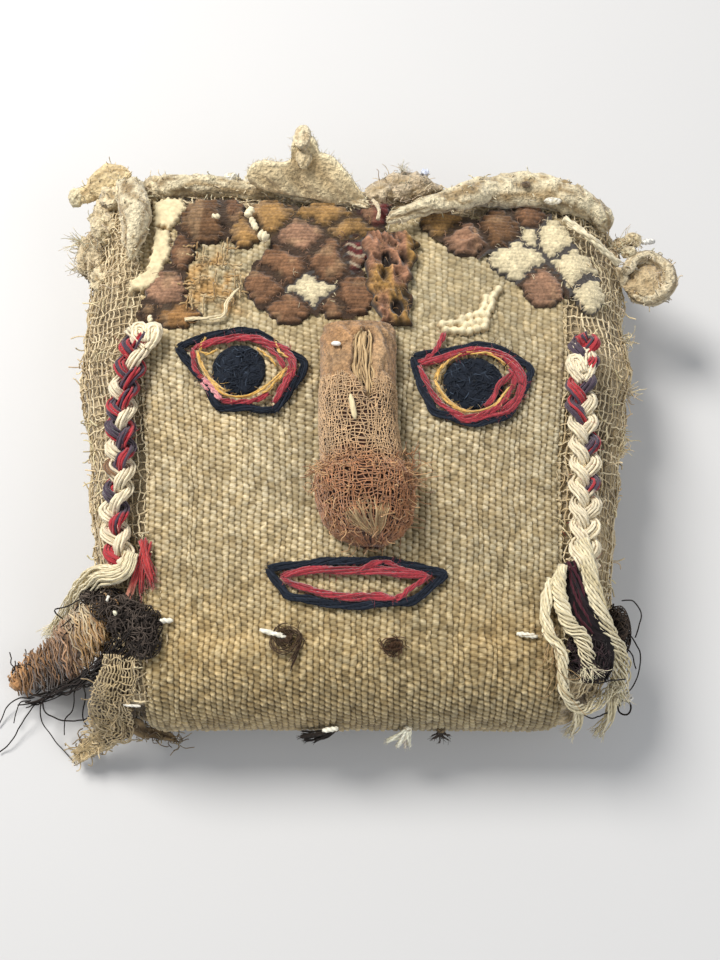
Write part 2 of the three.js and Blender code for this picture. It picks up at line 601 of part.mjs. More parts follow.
// One of the three strands of a plait that lies along the edge of the face
function plaitStrand(centreLine, strand) {
  const topY = centreLine[0][0];
  const bottomY = centreLine[centreLine.length - 1][0];
  const count = Math.round(((topY - bottomY) / PLAIT_PERIOD) * PLAIT_STEPS);
  const points = [];
  for (let i = 0; i <= count; i += 1) {
    const y = topY + ((bottomY - topY) * i) / count;
    const turn = 2 * Math.PI * ((topY - y) / PLAIT_PERIOD + strand / 3);
    const x = along(centreLine, y);
    const normal = clothNormal(x, y);
    const across = new THREE.Vector3(0, 1, 0).cross(normal).normalize();
    const lift = TOUCH + PLAIT_RISE + STRAND_HALF_THICKNESS + PLAIT_RISE * Math.sin(2 * turn);
    const point = new THREE.Vector3(x, y, clothTop(x, y))
      .addScaledVector(normal, lift)
      .addScaledVector(across, PLAIT_SWING * Math.sin(turn));
    points.push(point.toArray());
  }
  const half = [[0, STRAND_HALF_WIDTH], [1, STRAND_HALF_WIDTH]];
  const thick = [[0, STRAND_HALF_THICKNESS], [1, STRAND_HALF_THICKNESS]];
  return sweep({ points, half, thick, side: [1, 0, 0], sides: 4, steps: count });
}

function addPlait(side, centreLine, knot) {
  addPiece(`${side}_braid_cream`, plaitStrand(centreLine, 0), COLOURS.creamYarn);
  addPiece(`${side}_braid_purple`, plaitStrand(centreLine, 1), COLOURS.purpleYarn);
  addPiece(`${side}_braid_red`, plaitStrand(centreLine, 2), COLOURS.crimson);
  addPiece(`${side}_braid_knot`, moundOnCloth({ centre: knot, half: PLAIT_KNOT_HALF }), COLOURS.creamYarn);
}

// The fold stands up from the top roll and leans back to a peak
function peakedFold() {
  const { outline, thickness, round, lean, baseY, baseZ } = PEAKED_FOLD;
  const shape = new THREE.Shape(outline.map((corner) => new THREE.Vector2(...corner)));
  const fold = new THREE.ExtrudeGeometry(shape, {
    depth: thickness - 2 * round,
    bevelThickness: round,
    bevelSize: round,
    bevelOffset: -round,
    bevelSegments: 1,
  });
  fold.rotateX(lean);
  fold.translate(0, baseY, baseZ);
  return fold;
}

addPiece('stuffed_body', stuffedBody(), COLOURS.gauze);
addPiece('face_panel', facePanel(), COLOURS.faceCloth);
addPiece('nose_roll', noseRoll(), COLOURS.noseGauze);
addEye('left', LEFT_EYE, LEFT_PUPIL);
addEye('right', RIGHT_EYE, RIGHT_PUPIL);
addMouth();

addPiece('forehead_textile_left', lozengeCloth(LEFT_LOZENGES), COLOURS.tapestryBrown);
addPiece('forehead_textile_corner', lozengeCloth(CORNER_LOZENGES), COLOURS.tapestryBrown);
addPiece('forehead_textile_right', lozengeCloth(RIGHT_LOZENGES), COLOURS.tapestryCream);
addPiece('stepped_strip', steppedStrip(), COLOURS.tapestryCream);
addPiece('cream_scrap_upper', flatScrap(UPPER_SCRAP, TOUCH + 0.5), COLOURS.tapestryCream);
addPiece('cream_scrap_lower', flatScrap(LOWER_SCRAP, TOUCH), COLOURS.tapestryCream);
addPiece('hanging_scrap', hangingScrap(), COLOURS.ochre);
addPiece('cream_stick', yarn(CREAM_STICK, CREAM_STICK_RADIUS, 6, 2), COLOURS.rolledCream);

addPiece('top_roll_left', sweep(TOP_ROLL_LEFT), COLOURS.rolledCream);
addPiece('top_roll_right', sweep(TOP_ROLL_RIGHT), COLOURS.rolledCream);
addPiece('left_edge_roll', sweep(LEFT_EDGE_ROLL), COLOURS.rolledCream);
addPiece('peaked_fold', peakedFold(), COLOURS.rolledCream);
addPiece('top_tow', lump(TOP_TOW), COLOURS.rolledCream);
addPiece('left_corner_tuft', sweep(LEFT_CORNER_TUFT), COLOURS.rolledCream);
addPiece('left_frayed_tuft', lump(LEFT_FRAYED_TUFT), COLOURS.rolledCream);
addPiece('right_corner_loop', sweep(RIGHT_CORNER_LOOP), COLOURS.rolledCream);
addPiece('right_corner_tuft', lump(RIGHT_CORNER_TUFT), COLOURS.rolledCream);

addPlait('left', LEFT_PLAIT, LEFT_KNOT_PLACE);
addPlait('right', RIGHT_PLAIT, RIGHT_KNOT_PLACE);
addPiece('left_yarn_tail', sweep(LEFT_YARN_TAIL), COLOURS.creamYarn);
addPiece('left_red_tuft', sweep(LEFT_RED_TUFT), COLOURS.crimson);
addPiece('left_tassel_threads', moundOnCloth(LEFT_TASSEL_THREADS), COLOURS.blackThread);
addPiece('left_tassel_strip', sweep(LEFT_TASSEL_STRIP), COLOURS.brownFringe);
addPiece('right_yarn_inner', sweep(RIGHT_YARN_INNER), COLOURS.creamYarn);
addPiece('right_yarn_middle', sweep(RIGHT_YARN_MIDDLE), COLOURS.creamYarn);
addPiece('right_yarn_outer', sweep(RIGHT_YARN_OUTER), COLOURS.creamYarn);
addPiece('right_tassel_threads', moundAlong(RIGHT_TASSEL_THREADS), COLOURS.purpleYarn);
addPiece('right_thread_knot', lump(RIGHT_THREAD_KNOT), COLOURS.blackThread);
addPiece('lower_left_flap', sweep(LOWER_LEFT_FLAP), COLOURS.gauze);

addPiece('chin_stitch_left', stitch(...CHIN_STITCH_LEFT), COLOURS.creamYarn);
addPiece('chin_stitch_right', stitch(...CHIN_STITCH_RIGHT), COLOURS.creamYarn);
addPiece('cheek_stitch_left', stitch(...CHEEK_STITCH_LEFT), COLOURS.creamYarn);
addPiece('chin_hair_knot', moundOnCloth(CHIN_HAIR_KNOT), COLOURS.darkKnot);
addPiece('chin_dark_knot', moundOnCloth(CHIN_DARK_KNOT), COLOURS.darkKnot);
addPiece('bottom_knot', lump(BOTTOM_KNOT), COLOURS.blackThread);
addPiece('bottom_stitch', yarn(BOTTOM_STITCH, STITCH_RADIUS, 5, 1), COLOURS.creamYarn);
addPiece('bottom_white_tuft', lump(BOTTOM_WHITE_TUFT), COLOURS.creamYarn);
addPiece('bottom_dark_tuft', lump(BOTTOM_DARK_TUFT), COLOURS.blackThread);

export default mask;
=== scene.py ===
# Woven textile mask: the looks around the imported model.
# Points are worked out in millimetres in the model's own frame, and meshes are stored in metres.
import itertools
import math
from functools import partial

import bmesh
import bpy
import numpy as np
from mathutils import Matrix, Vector


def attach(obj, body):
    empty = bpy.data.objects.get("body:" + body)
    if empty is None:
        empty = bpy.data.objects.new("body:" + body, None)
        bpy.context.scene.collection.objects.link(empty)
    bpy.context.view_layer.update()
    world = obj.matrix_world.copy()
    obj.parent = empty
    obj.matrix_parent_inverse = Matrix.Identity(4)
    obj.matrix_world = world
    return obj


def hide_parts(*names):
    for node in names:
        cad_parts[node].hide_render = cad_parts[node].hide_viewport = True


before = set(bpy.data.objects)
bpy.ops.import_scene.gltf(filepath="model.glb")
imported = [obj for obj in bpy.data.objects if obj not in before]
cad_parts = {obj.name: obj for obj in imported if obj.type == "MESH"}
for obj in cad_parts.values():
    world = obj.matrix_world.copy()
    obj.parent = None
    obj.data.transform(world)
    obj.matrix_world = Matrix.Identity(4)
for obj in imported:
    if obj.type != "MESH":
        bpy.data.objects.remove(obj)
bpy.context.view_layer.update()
MM = 0.001

# Camera, at the photograph's viewing angle
PHOTO_HEIGHT_PX = 960
FOCAL_PX = 1095
SENSOR_MM = 36
CAMERA_TARGET = (2, -12, 30)
CAMERA_DISTANCE = 350
CAMERA_TILT_DEG = 17.5
CLIP_START_M = 0.01
CLIP_END_M = 20

# Studio: each lamp's place and size in metres, power and colour, then the sky and the floor
LAMPS = {
    "key_light": ((-0.55, 0.5, 0.95), 0.5, 17, (1.0, 0.97, 0.93)),
    "fill_light": ((0.8, -0.5, 0.8), 0.9, 4, (0.93, 0.96, 1.0)),
}
SKY_COLOUR = (0.95, 0.97, 1.0)
SKY_STRENGTH = 0.42
FLOOR_HALF_M = 3
FLOOR_GREY = 0.6
FLOOR_ROUGHNESS = 0.6

# Stuffed body, as in the model
EDGE_RADIUS = 21
EDGE_ARC = EDGE_RADIUS * math.pi / 4
PLATE_SHARE = 0.7
TOP_REACH = 94
CHIN_REACH = 88
CROWN = 5
LEFT_REACH = [[-88, 76], [-50, 80], [-10, 85], [25, 91], [60, 89], [94, 92]]
RIGHT_REACH = [[-88, 76], [-50, 80], [-10, 85], [25, 91], [60, 90], [94, 89]]

# Face cloth
CLOTH_LIFT = 2.05
CLOTH_HALF_WIDTH = [[-88, 61], [-20, 63], [30, 68], [92, 72]]
CHIN_ARC = 36.75
FRONT_LENGTH = 140
TOP_LENGTH = 1.5
CLOTH_LENGTH = CHIN_ARC + FRONT_LENGTH + TOP_LENGTH
WEAVE_COLUMNS = 66
COLUMN_SAMPLES = (0.28, 0.5, 0.72)
ROW_PITCH = 0.9
SAMPLES_A_ROW = 2
CLOTH_BASE = 0.9
BUMP_HEIGHT = 0.95
STAIN_PLACE = (-46, 50)
STAIN_HALF = (13, 12)
STAIN_TONE = (1.02, 0.72, 0.42)
LOW_TONE = (0.93, 0.87, 0.74)
BURL_PLACE = (-47.1, -53.9)
BURL_HEIGHT = 0.9
WEAVE_PIT_SHADE = (0.055, 0.034, 0.014)
WEAVE_SIDE = (0.33, 0.25, 0.125)
WEAVE_TOP_HIGHLIGHT = (0.66, 0.56, 0.37)
WEAVE_CALM = (0.40, 0.315, 0.17)


# Camera and light
def add_camera():
    tilt = math.radians(CAMERA_TILT_DEG)
    back = Vector((0, -math.sin(tilt), math.cos(tilt)))
    data = bpy.data.cameras.new("photo_camera")
    data.sensor_width = SENSOR_MM
    data.lens = FOCAL_PX / PHOTO_HEIGHT_PX * SENSOR_MM
    data.clip_start = CLIP_START_M
    data.clip_end = CLIP_END_M
    camera = bpy.data.objects.new("photo_camera", data)
    camera.location = (Vector(CAMERA_TARGET) + back * CAMERA_DISTANCE) * MM
    camera.rotation_mode = "QUATERNION"
    camera.rotation_quaternion = (-back).to_track_quat("-Z", "Y")
    bpy.context.scene.collection.objects.link(camera)
    bpy.context.scene.camera = camera


def add_area_light(name, place, size, power, colour):
    data = bpy.data.lights.new(name, "AREA")
    data.shape = "DISK"
    data.size = size
    data.energy = power
    data.color = colour
    light = bpy.data.objects.new(name, data)
    light.location = place
    light.rotation_mode = "QUATERNION"
    light.rotation_quaternion = (-Vector(place)).to_track_quat("-Z", "Y")
    bpy.context.scene.collection.objects.link(light)


def add_world(colour, strength):
    world = bpy.data.worlds.new("studio")
    world.use_nodes = True
    background = world.node_tree.nodes["Background"]
    background.inputs["Color"].default_value = (*colour, 1)
    background.inputs["Strength"].default_value = strength
    bpy.context.scene.world = world


def add_studio():
    for name, (place, size, power, colour) in LAMPS.items():
        add_area_light(name, place, size, power, colour)
    add_world(SKY_COLOUR, SKY_STRENGTH)
    bpy.context.scene.view_settings.view_transform = "Standard"


# Numbers and noise
def along(table, position):
    """Value of a table of [position, value] rows, eased between the rows as in the model."""
    rows = np.array(sorted(table), float)
    places, values = rows[:, 0], rows[:, 1]
    position = np.asarray(position, float)
    i = np.clip(np.searchsorted(places, position, side="right") - 1, 0, len(places) - 2)
    share = np.clip((position - places[i]) / (places[i + 1] - places[i]), 0, 1)
    eased = 0.5 * share * share * (3 - 2 * share) + 0.5 * share
    return values[i] + (values[i + 1] - values[i]) * eased


def lattice_value(cell, seed):
    """A fixed value from -1 to 1 for each whole-number cell."""
    mixed = cell[..., 0] * 73856093 ^ cell[..., 1] * 19349663 ^ cell[..., 2] * 83492791 ^ seed * 40503
    mixed = (mixed ^ (mixed >> 13)) * 1274126177 & 0xFFFFFFFF
    mixed = (mixed ^ (mixed >> 16)) & 0xFFFF
    return mixed / 32767.5 - 1


def noise(points, size, seed=0):
    """Smooth noise from -1 to 1 with features of that size, one or three sizes in millimetres."""
    place = np.asarray(points, float) / size
    cell = np.floor(place).astype(np.int64)
    part = place - cell
    ease = part * part * (3 - 2 * part)
    total = 0
    for corner in itertools.product((0, 1), repeat=3):
        weight = np.prod(np.where(corner, ease, 1 - ease), axis=-1)
        total = total + weight * lattice_value(cell + np.array(corner), seed)
    return total


def stacked(*parts):
    """Points from their coordinates, each an array or a single number."""
    return np.stack(np.broadcast_arrays(*parts), axis=-1)


def unit(vectors):
    return vectors / np.maximum(np.linalg.norm(vectors, axis=-1, keepdims=True), 1e-9)


def mix(low, high, share):
    share = np.asarray(share, float)[..., None]
    return np.asarray(low, float) * (1 - share) + np.asarray(high, float) * share


def mix_each(low, high, share):
    return low * (1 - share[..., None]) + high * share[..., None]


def stepped(low, high, value):
    """0 below low, 1 above high, smooth between them."""
    share = np.clip((np.asarray(value, float) - low) / (high - low), 0, 1)
    return share * share * (3 - 2 * share)


# The stuffed form that everything lies on
def body_reach(x, y):
    return np.where(np.asarray(x) < 0, along(LEFT_REACH, y), along(RIGHT_REACH, y))


def crown_share(x, y):
    across = x / body_reach(x, y)
    lengthways = (y - (TOP_REACH - CHIN_REACH) / 2) / ((TOP_REACH + CHIN_REACH) / 2)
    return np.maximum(0, 1 - across**2) * np.maximum(0, 1 - lengthways**2)


def body_top(x, y):
    """Height of the body's front over a place in plan."""
    beyond_side = np.maximum(0, np.abs(x) - (body_reach(x, y) - EDGE_RADIUS))
    beyond_end = np.maximum(0, np.maximum(y - (TOP_REACH - EDGE_RADIUS), -y - (CHIN_REACH - EDGE_RADIUS)))
    beyond = np.minimum(EDGE_RADIUS, np.hypot(beyond_side, beyond_end))
    lift = np.sqrt(EDGE_RADIUS**2 - beyond**2)
    return EDGE_RADIUS + lift + CROWN * lift / EDGE_RADIUS * crown_share(x, y)


def face_relief(x, y):
    """How far the face cloth swells and sinks, with a crease under the mouth."""
    x, y = np.broadcast_arrays(np.asarray(x, float), np.asarray(y, float))
    plan = stacked(x, y, 0)
    swell = 0.5 * noise(plan, 34, 6) + 0.16 * noise(plan, 9, 7)
    crease = 0.5 * np.exp(-(((y + 69) / 3) ** 2)) - 0.7 * np.exp(-(((y + 64) / 2.2) ** 2))
    return (swell + crease) * stepped(0, 12, along(CLOTH_HALF_WIDTH, y) - np.abs(x))


def cloth_top(x, y):
    return body_top(x, y) + CLOTH_LIFT + face_relief(x, y)


def cloth_normal(x, y):
    step = 0.4
    slope_x = (cloth_top(x + step, y) - cloth_top(x - step, y)) / (2 * step)
    slope_y = (cloth_top(x, y + step) - cloth_top(x, y - step)) / (2 * step)
    return unit(stacked(-slope_x, -slope_y, 1))


def on_cloth(x, y, lift):
    """Points over places in plan, raised from the face cloth along its normal."""
    x, y = np.broadcast_arrays(np.asarray(x, float), np.asarray(y, float))
    base = stacked(x, y, cloth_top(x, y))
    return base + cloth_normal(x, y) * np.asarray(lift, float)[..., None]


# Meshes
class Shape:
    """Collects the points, faces and colours of one piece."""

    def __init__(self):
        self.points, self.faces, self.tints, self.size = [], [], [], 0

    def add(self, points, faces, tint):
        points = np.asarray(points, float).reshape(-1, 3)
        self.points.append(points)
        self.faces += [np.asarray(block) + self.size for block in faces]
        self.tints.append(np.broadcast_to(np.asarray(tint, float).reshape(-1, 3), points.shape))
        self.size += len(points)

    def piece(self, name, material, slot, *nodes):
        points = np.concatenate(self.points) * MM
        corners = np.concatenate([block.ravel() for block in self.faces])
        sizes = np.concatenate([np.full(len(block), block.shape[1]) for block in self.faces])
        mesh = bpy.data.meshes.new(name)
        mesh.vertices.add(len(points))
        mesh.vertices.foreach_set("co", points.astype(np.float32).ravel())
        mesh.loops.add(len(corners))
        mesh.loops.foreach_set("vertex_index", corners.astype(np.int32))
        mesh.polygons.add(len(sizes))
        mesh.polygons.foreach_set("loop_start", np.concatenate([[0], np.cumsum(sizes)[:-1]]).astype(np.int32))
        mesh.polygons.foreach_set("use_smooth", np.ones(len(sizes), bool))
        mesh.update(calc_edges=True)
        tint = mesh.color_attributes.new("Tint", "FLOAT_COLOR", "POINT")
        colours = np.column_stack([np.concatenate(self.tints), np.ones(len(points))])
        tint.data.foreach_set("color", colours.astype(np.float32).ravel())
        mesh.materials.append(material)
        made = bpy.data.objects.new(name, mesh)
        bpy.context.scene.collection.objects.link(made)
        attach(made, "root")
        if nodes:
            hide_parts(*nodes)
        return made


def grid_faces(rows, columns, wrap=False):
    """Quads between rows of points; wrap joins the last column to the first."""
    index = np.arange(rows * columns).reshape(rows, columns)
    if wrap:
        index = np.concatenate([index, index[:, :1]], axis=1)
    corners = (index[:-1, :-1], index[:-1, 1:], index[1:, 1:], index[1:, :-1])
    return np.stack(corners, axis=-1).reshape(-1, 4)


# Materials
CLOTH_ROUGHNESS = 0.9
SHEEN_ROUGHNESS = 0.5
CLOTH_SPECULAR = 0.2


def fabric(
    name, sheen=0.25, mottle=0.25, mottle_size=0.0016,
    bump=0.35, bump_size=0.00035, stretch=(1, 1, 1), depth=0.0003,
):
    """Cloth whose colour is each point's own, mottled by fibres, with a fine fibrous bump."""
    material = bpy.data.materials.new(name)
    material.use_nodes = True
    nodes, links = material.node_tree.nodes, material.node_tree.links
    shader = nodes["Principled BSDF"]
    shader.inputs["Roughness"].default_value = CLOTH_ROUGHNESS
    shader.inputs["Sheen Weight"].default_value = sheen
    shader.inputs["Sheen Roughness"].default_value = SHEEN_ROUGHNESS
    shader.inputs["Specular IOR Level"].default_value = CLOTH_SPECULAR
    tint = nodes.new("ShaderNodeAttribute")
    tint.attribute_name = "Tint"
    place = nodes.new("ShaderNodeTexCoord")
    mapping = nodes.new("ShaderNodeMapping")
    mapping.inputs["Scale"].default_value = stretch
    links.new(place.outputs["Object"], mapping.inputs["Vector"])
    spots = nodes.new("ShaderNodeTexNoise")
    spots.inputs["Scale"].default_value = 1 / mottle_size
    spots.inputs["Detail"].default_value = 4
    links.new(mapping.outputs["Vector"], spots.inputs["Vector"])
    shade = nodes.new("ShaderNodeMapRange")
    shade.inputs["From Min"].default_value = 0.3
    shade.inputs["From Max"].default_value = 0.7
    shade.inputs["To Min"].default_value = 1 - mottle
    shade.inputs["To Max"].default_value = 1 + mottle * 0.6
    links.new(spots.outputs["Fac"], shade.inputs["Value"])
    coloured = nodes.new("ShaderNodeVectorMath")
    coloured.operation = "SCALE"
    links.new(tint.outputs["Color"], coloured.inputs[0])
    links.new(shade.outputs["Result"], coloured.inputs["Scale"])
    links.new(coloured.outputs["Vector"], shader.inputs["Base Color"])
    fibres = nodes.new("ShaderNodeTexNoise")
    fibres.inputs["Scale"].default_value = 1 / bump_size
    fibres.inputs["Detail"].default_value = 3
    links.new(mapping.outputs["Vector"], fibres.inputs["Vector"])
    relief = nodes.new("ShaderNodeBump")
    relief.inputs["Strength"].default_value = bump
    relief.inputs["Distance"].default_value = depth
    links.new(fibres.outputs["Fac"], relief.inputs["Height"])
    links.new(relief.outputs["Normal"], shader.inputs["Normal"])
    return material


def crumpled_gauze(name):
    return fabric(name, sheen=0.3, mottle=0.42, mottle_size=0.0011, bump=1, bump_size=0.0011, depth=0.0014)


# Floor
def add_floor():
    near, far = -FLOOR_HALF_M, FLOOR_HALF_M
    mesh = bpy.data.meshes.new("floor")
    mesh.from_pydata([(near, near, 0), (far, near, 0), (far, far, 0), (near, far, 0)], [], [(0, 1, 2, 3)])
    material = bpy.data.materials.new("floor")
    material.use_nodes = True
    shader = material.node_tree.nodes["Principled BSDF"]
    shader.inputs["Base Color"].default_value = (FLOOR_GREY, FLOOR_GREY, FLOOR_GREY, 1)
    shader.inputs["Roughness"].default_value = FLOOR_ROUGHNESS
    mesh.materials.append(material)
    floor = bpy.data.objects.new("floor", mesh)
    bpy.context.scene.collection.objects.link(floor)


# Face cloth
def cloth_place(x_share, length):
    """Point on the stuffed form and outward direction, from the share across and the length along."""
    chin_angle = np.maximum(0, CHIN_ARC - length) / EDGE_RADIUS
    y = np.clip(length - CHIN_ARC, 0, FRONT_LENGTH) - (CHIN_REACH - EDGE_RADIUS)
    top_angle = np.maximum(0, length - CHIN_ARC - FRONT_LENGTH) / EDGE_RADIUS
    x = x_share * along(CLOTH_HALF_WIDTH, y)
    plate = body_reach(x, y) - EDGE_RADIUS
    side_sine = np.maximum(0, np.abs(x) - plate) / EDGE_RADIUS
    side_cosine = np.sqrt(1 - side_sine**2)
    direction = stacked(
        np.sign(x) * side_sine,
        side_cosine * (np.sin(top_angle) - np.sin(chin_angle)),
        side_cosine * np.cos(np.maximum(top_angle, chin_angle)),
    )
    centre = stacked(np.clip(x, -plate, plate), y, EDGE_RADIUS)
    point = centre + direction * EDGE_RADIUS
    point[..., 2] += CROWN * np.maximum(0, direction[..., 2]) * crown_share(point[..., 0], point[..., 1])
    return point, direction


def weave_grid():
    """Places of the cloth's points, counted in columns and rows of the weave."""
    rows = np.arange(int(CLOTH_LENGTH / ROW_PITCH * SAMPLES_A_ROW) + 1) / SAMPLES_A_ROW
    inner = np.add.outer(np.arange(WEAVE_COLUMNS), COLUMN_SAMPLES).ravel()
    columns = np.concatenate([[0], inner, [WEAVE_COLUMNS]])
    weave_y, weave_x = np.meshgrid(rows, columns, indexing="ij")
    return weave_x, weave_y


def wandering_place(weave_x, weave_y, plan, edge):
    """Where each point lies on the stuffed form, with columns and rows that wander."""
    wander_x = 0.7 * noise(plan, (6, 40, 1), 1) + 0.4 * noise(plan, (4, 9, 1), 2)
    wander_x = wander_x + 0.3 * noise(plan, (2.5, 3, 1), 17)
    wander_y = 0.8 * noise(plan, (25, 9, 1), 3) + 0.5 * noise(plan, (4, 3.5, 1), 4)
    wander_x = wander_x * stepped(0, 3, edge)
    x_share = 2 * (weave_x + wander_x * 0.5) / WEAVE_COLUMNS - 1
    length = np.clip(weave_y * ROW_PITCH + wander_y * 0.5, 0, CLOTH_LENGTH)
    return cloth_place(x_share, length)


def weave_bumps(weave_x, weave_y):
    """Height of the bumps of the weave, and the whole-number place of each point's bump."""
    nearest = np.floor(weave_x + 0.5)
    from_column = weave_x - nearest
    from_bump = np.mod(weave_y - nearest + 1 + 0.7 * from_column, 2) - 1
    bump_row = np.round((weave_y - from_bump) / 2).astype(np.int64)
    cell = stacked(nearest.astype(np.int64), bump_row, 0)
    off_centre = np.minimum(1, np.abs(from_column) / 0.5) ** 3
    dome = (0.5 + 0.5 * np.cos(np.pi * from_bump)) ** (0.6 + 0.25 * lattice_value(cell, 14))
    joined = (lattice_value(cell, 17) > 0.72) & (from_bump > 0)
    dome = np.where(joined, np.maximum(dome, 0.7), dome)
    pit = off_centre * (1 - dome)
    uneven = 1 + 0.34 * lattice_value(cell, 11)
    return (1 - 0.5 * off_centre) * (0.2 + 0.8 * dome) * uneven - 0.4 * pit, cell


def weave_tint(point, height, cell, calm):
    """Colour of the face cloth: painted shade in the pits, painted highlight on the bumps, painted light from
    the upper left, a warmer, darker lower part and a stain.
    """
    x, y = point[..., 0], point[..., 1]
    # Painted shade in the pits between the bumps and a painted highlight on their tops, set by height
    tint = mix(WEAVE_PIT_SHADE, WEAVE_SIDE, stepped(0.0, 0.42, height))
    tint = mix(tint, WEAVE_TOP_HIGHLIGHT, stepped(0.35, 1.05, height))
    tint = mix_each(tint, np.asarray(WEAVE_CALM), 0.4 * calm)
    tone = 1 + 0.2 * lattice_value(cell, 12) + 0.10 * noise(point, 16, 8) + 0.08 * noise(point, 4, 9)
    # Painted light: brighter toward the upper left, darker toward the lower right
    tone = tone * (1.03 - 0.0011 * (x - y))
    warm = 0.04 * noise(point, 22, 10) + 0.025 * lattice_value(cell, 13)
    tint = tint * tone[..., None] * stacked(1 + warm, 1, 1 - 1.6 * warm)
    tint = mix_each(tint, tint * LOW_TONE, stepped(-15, -75, y))
    off_stain = np.hypot((x - STAIN_PLACE[0]) / STAIN_HALF[0], (y - STAIN_PLACE[1]) / STAIN_HALF[1])
    stain = stepped(1.3, 0.5, off_stain + 0.5 * noise(point, 4, 15))
    stain = stain * stepped(-0.5, 0.4, noise(point, 2.4, 16))
    return mix_each(tint, tint * STAIN_TONE, 0.85 * stain)


def add_face_cloth():
    weave_x, weave_y = weave_grid()
    plan = stacked(weave_x * 2, weave_y, 0)
    edge = np.minimum(weave_x, WEAVE_COLUMNS - weave_x)
    point, direction = wandering_place(weave_x, weave_y, plan, edge)
    height, cell = weave_bumps(weave_x, weave_y)
    slub = np.maximum(0, noise(plan, (2.6, 1.6, 1), 5) - 0.55) * 1.2
    calm = stepped(12, 40, point[..., 1])
    relief = BUMP_HEIGHT * (1 - 0.25 * calm)
    lift = CLOTH_BASE + relief * (height + 0.7 * slub) + face_relief(point[..., 0], point[..., 1])
    lift = lift - CLOTH_BASE * (1 - stepped(0, 1.5, edge))
    from_burl = np.hypot(point[..., 0] - BURL_PLACE[0], point[..., 1] - BURL_PLACE[1])
    lift = lift + BURL_HEIGHT * stepped(2.2, 0.8, from_burl)
    point = point + direction * lift[..., None]
    tint = weave_tint(point, height, cell, calm)
    shape = Shape()
    shape.add(point, [grid_faces(*weave_x.shape)], tint.reshape(-1, 3))
    grain = {"mottle": 0.22, "mottle_size": 0.0007, "bump": 0.5, "bump_size": 0.00022}
    material = fabric("face_cloth", stretch=(0.5, 1.4, 1), **grain)
    cloth = shape.piece("woven_face_cloth", material, "face_cloth", "face_panel")


# Stuffed body and the open gauze over its sides and top
BODY_CELLS = 70
BODY_CELLS_UP = 26
BODY_HOLLOW_SHADE = (0.11, 0.072, 0.032)
BODY_LIGHT = (0.64, 0.51, 0.31)
WRAP_TINTS = ((0.50, 0.38, 0.21), (0.88, 0.74, 0.48))
WRAP_THREAD = 0.29
WRAP_LIFT = 0.15
WRAP_OVERLAP = 3
WRAP_CORNER = 8
# Each wrap: side of the body or 0 for the top, start, width, length, thread pitches, crimp and seed
WRAPS = {
    "gauze_wrap_left": (-1, -88, 39, 176, (2.0, 3.1), 1.05, 31),
    "gauze_wrap_right": (1, -88, 39, 176, (2.0, 3.1), 1.05, 51),
    "gauze_wrap_top": (0, -84, 34, 168, (3.2, 3.8), 1.7, 71),
}
LOOSE_LOOPS = 130
LOOP_THREAD = 0.26
LOOP_TINT = (0.74, 0.61, 0.38)
# Tufts down the right edge: place along it, height and size
EDGE_TUFTS = ((36, 30, 2.6), (18.4, 28, 2.2), (4, 26, 2.8), (-2, 30, 1.6))
EDGE_TUFT_TINT = (0.72, 0.60, 0.38)
# Lumps at the upper left corner: centre and half sizes
CORNER_LUMPS = (
    ((-79, 85, 37.5), (7.5, 6, 5.6)),
    ((-85, 80, 34), (5, 6.5, 5)),
    ((-83.6, 74, 37), (5, 5, 4.4)),
    ((-67, 88, 39.6), (5.5, 4.4, 4.4)),
    ((-84.6, 57, 35), (3.6, 4.6, 3)),
)
LUMP_TINT = (0.84, 0.71, 0.46)
LUMP_SHADE = (0.34, 0.24, 0.12)
LUMP_THREAD_TINT = (0.80, 0.67, 0.43)


def plate_and_edge(value, plate_share):
    size = np.abs(value)
    on_plate = np.minimum(1, size / plate_share)
    over_edge = np.maximum(0, (size - plate_share) / (1 - plate_share))
    return np.sign(value) * on_plate, np.sign(value) * np.tan(over_edge * np.pi / 4)


def body_place(across, lengthways, upward):
    """Maps a point on a cube from -1 to 1 onto the body, as in the model."""
    plate_x, edge_x = plate_and_edge(across, PLATE_SHARE)
    plate_y, edge_y = plate_and_edge(lengthways, PLATE_SHARE)
    direction = unit(stacked(edge_x, edge_y, np.tan(upward * np.pi / 4)))
    end = np.where(plate_y > 0, TOP_REACH, CHIN_REACH) - EDGE_RADIUS
    y = plate_y * end
    point = stacked(plate_x * (body_reach(plate_x, y) - EDGE_RADIUS), y, np.full_like(y, EDGE_RADIUS))
    point = point + direction * EDGE_RADIUS
    point[..., 2] += CROWN * np.maximum(0, direction[..., 2]) * crown_share(point[..., 0], point[..., 1])
    return point, direction


def wrinkled(point, direction):
    """Raises the wrinkles and lumps of the wrap, and gives how high each point lies."""
    on_side = 1 - np.abs(direction[..., 2]) ** 3
    along_side = noise(point, (4.4, 13, 4), 21) + 0.5 * noise(point, (2.4, 8, 2.4), 29)
    along_end = noise(point, (13, 3.4, 3), 22)
    folds = along_side * np.abs(direction[..., 0]) + along_end * np.abs(direction[..., 1])
    lumps = 1.1 * noise(point, 13, 23) + 0.6 * noise(point, 5, 24)
    raised = (1.5 * folds + 1.2 * lumps) * (0.3 + 0.7 * on_side) * stepped(0.0, 5.0, point[..., 2])
    under = direction[..., 2] < -0.9
    raised = np.where(under, 0.25 * (noise(point, 7, 25) - 1), raised)
    return point + direction * (raised - 0.5)[..., None], raised


def cube_sides(cells, cells_up):
    """The six sides of a cube of small squares: points from -1 to 1 and quads."""
    sides = []
    for axis, sign in itertools.product((0, 1, 2), (-1, 1)):
        counts = (cells_up if axis != 2 else cells, cells)
        b, a = np.meshgrid(
            np.linspace(-1, 1, counts[0] + 1), np.linspace(-1, 1, counts[1] + 1), indexing="ij"
        )
        fixed = np.full_like(a, sign)
        order = {0: (fixed, a, b), 1: (a, fixed, b), 2: (a, b, fixed)}[axis]
        faces = grid_faces(*a.shape)
        outward = (axis == 1) == (sign > 0)
        sides.append((order, faces[:, ::-1] if outward else faces))
    return sides


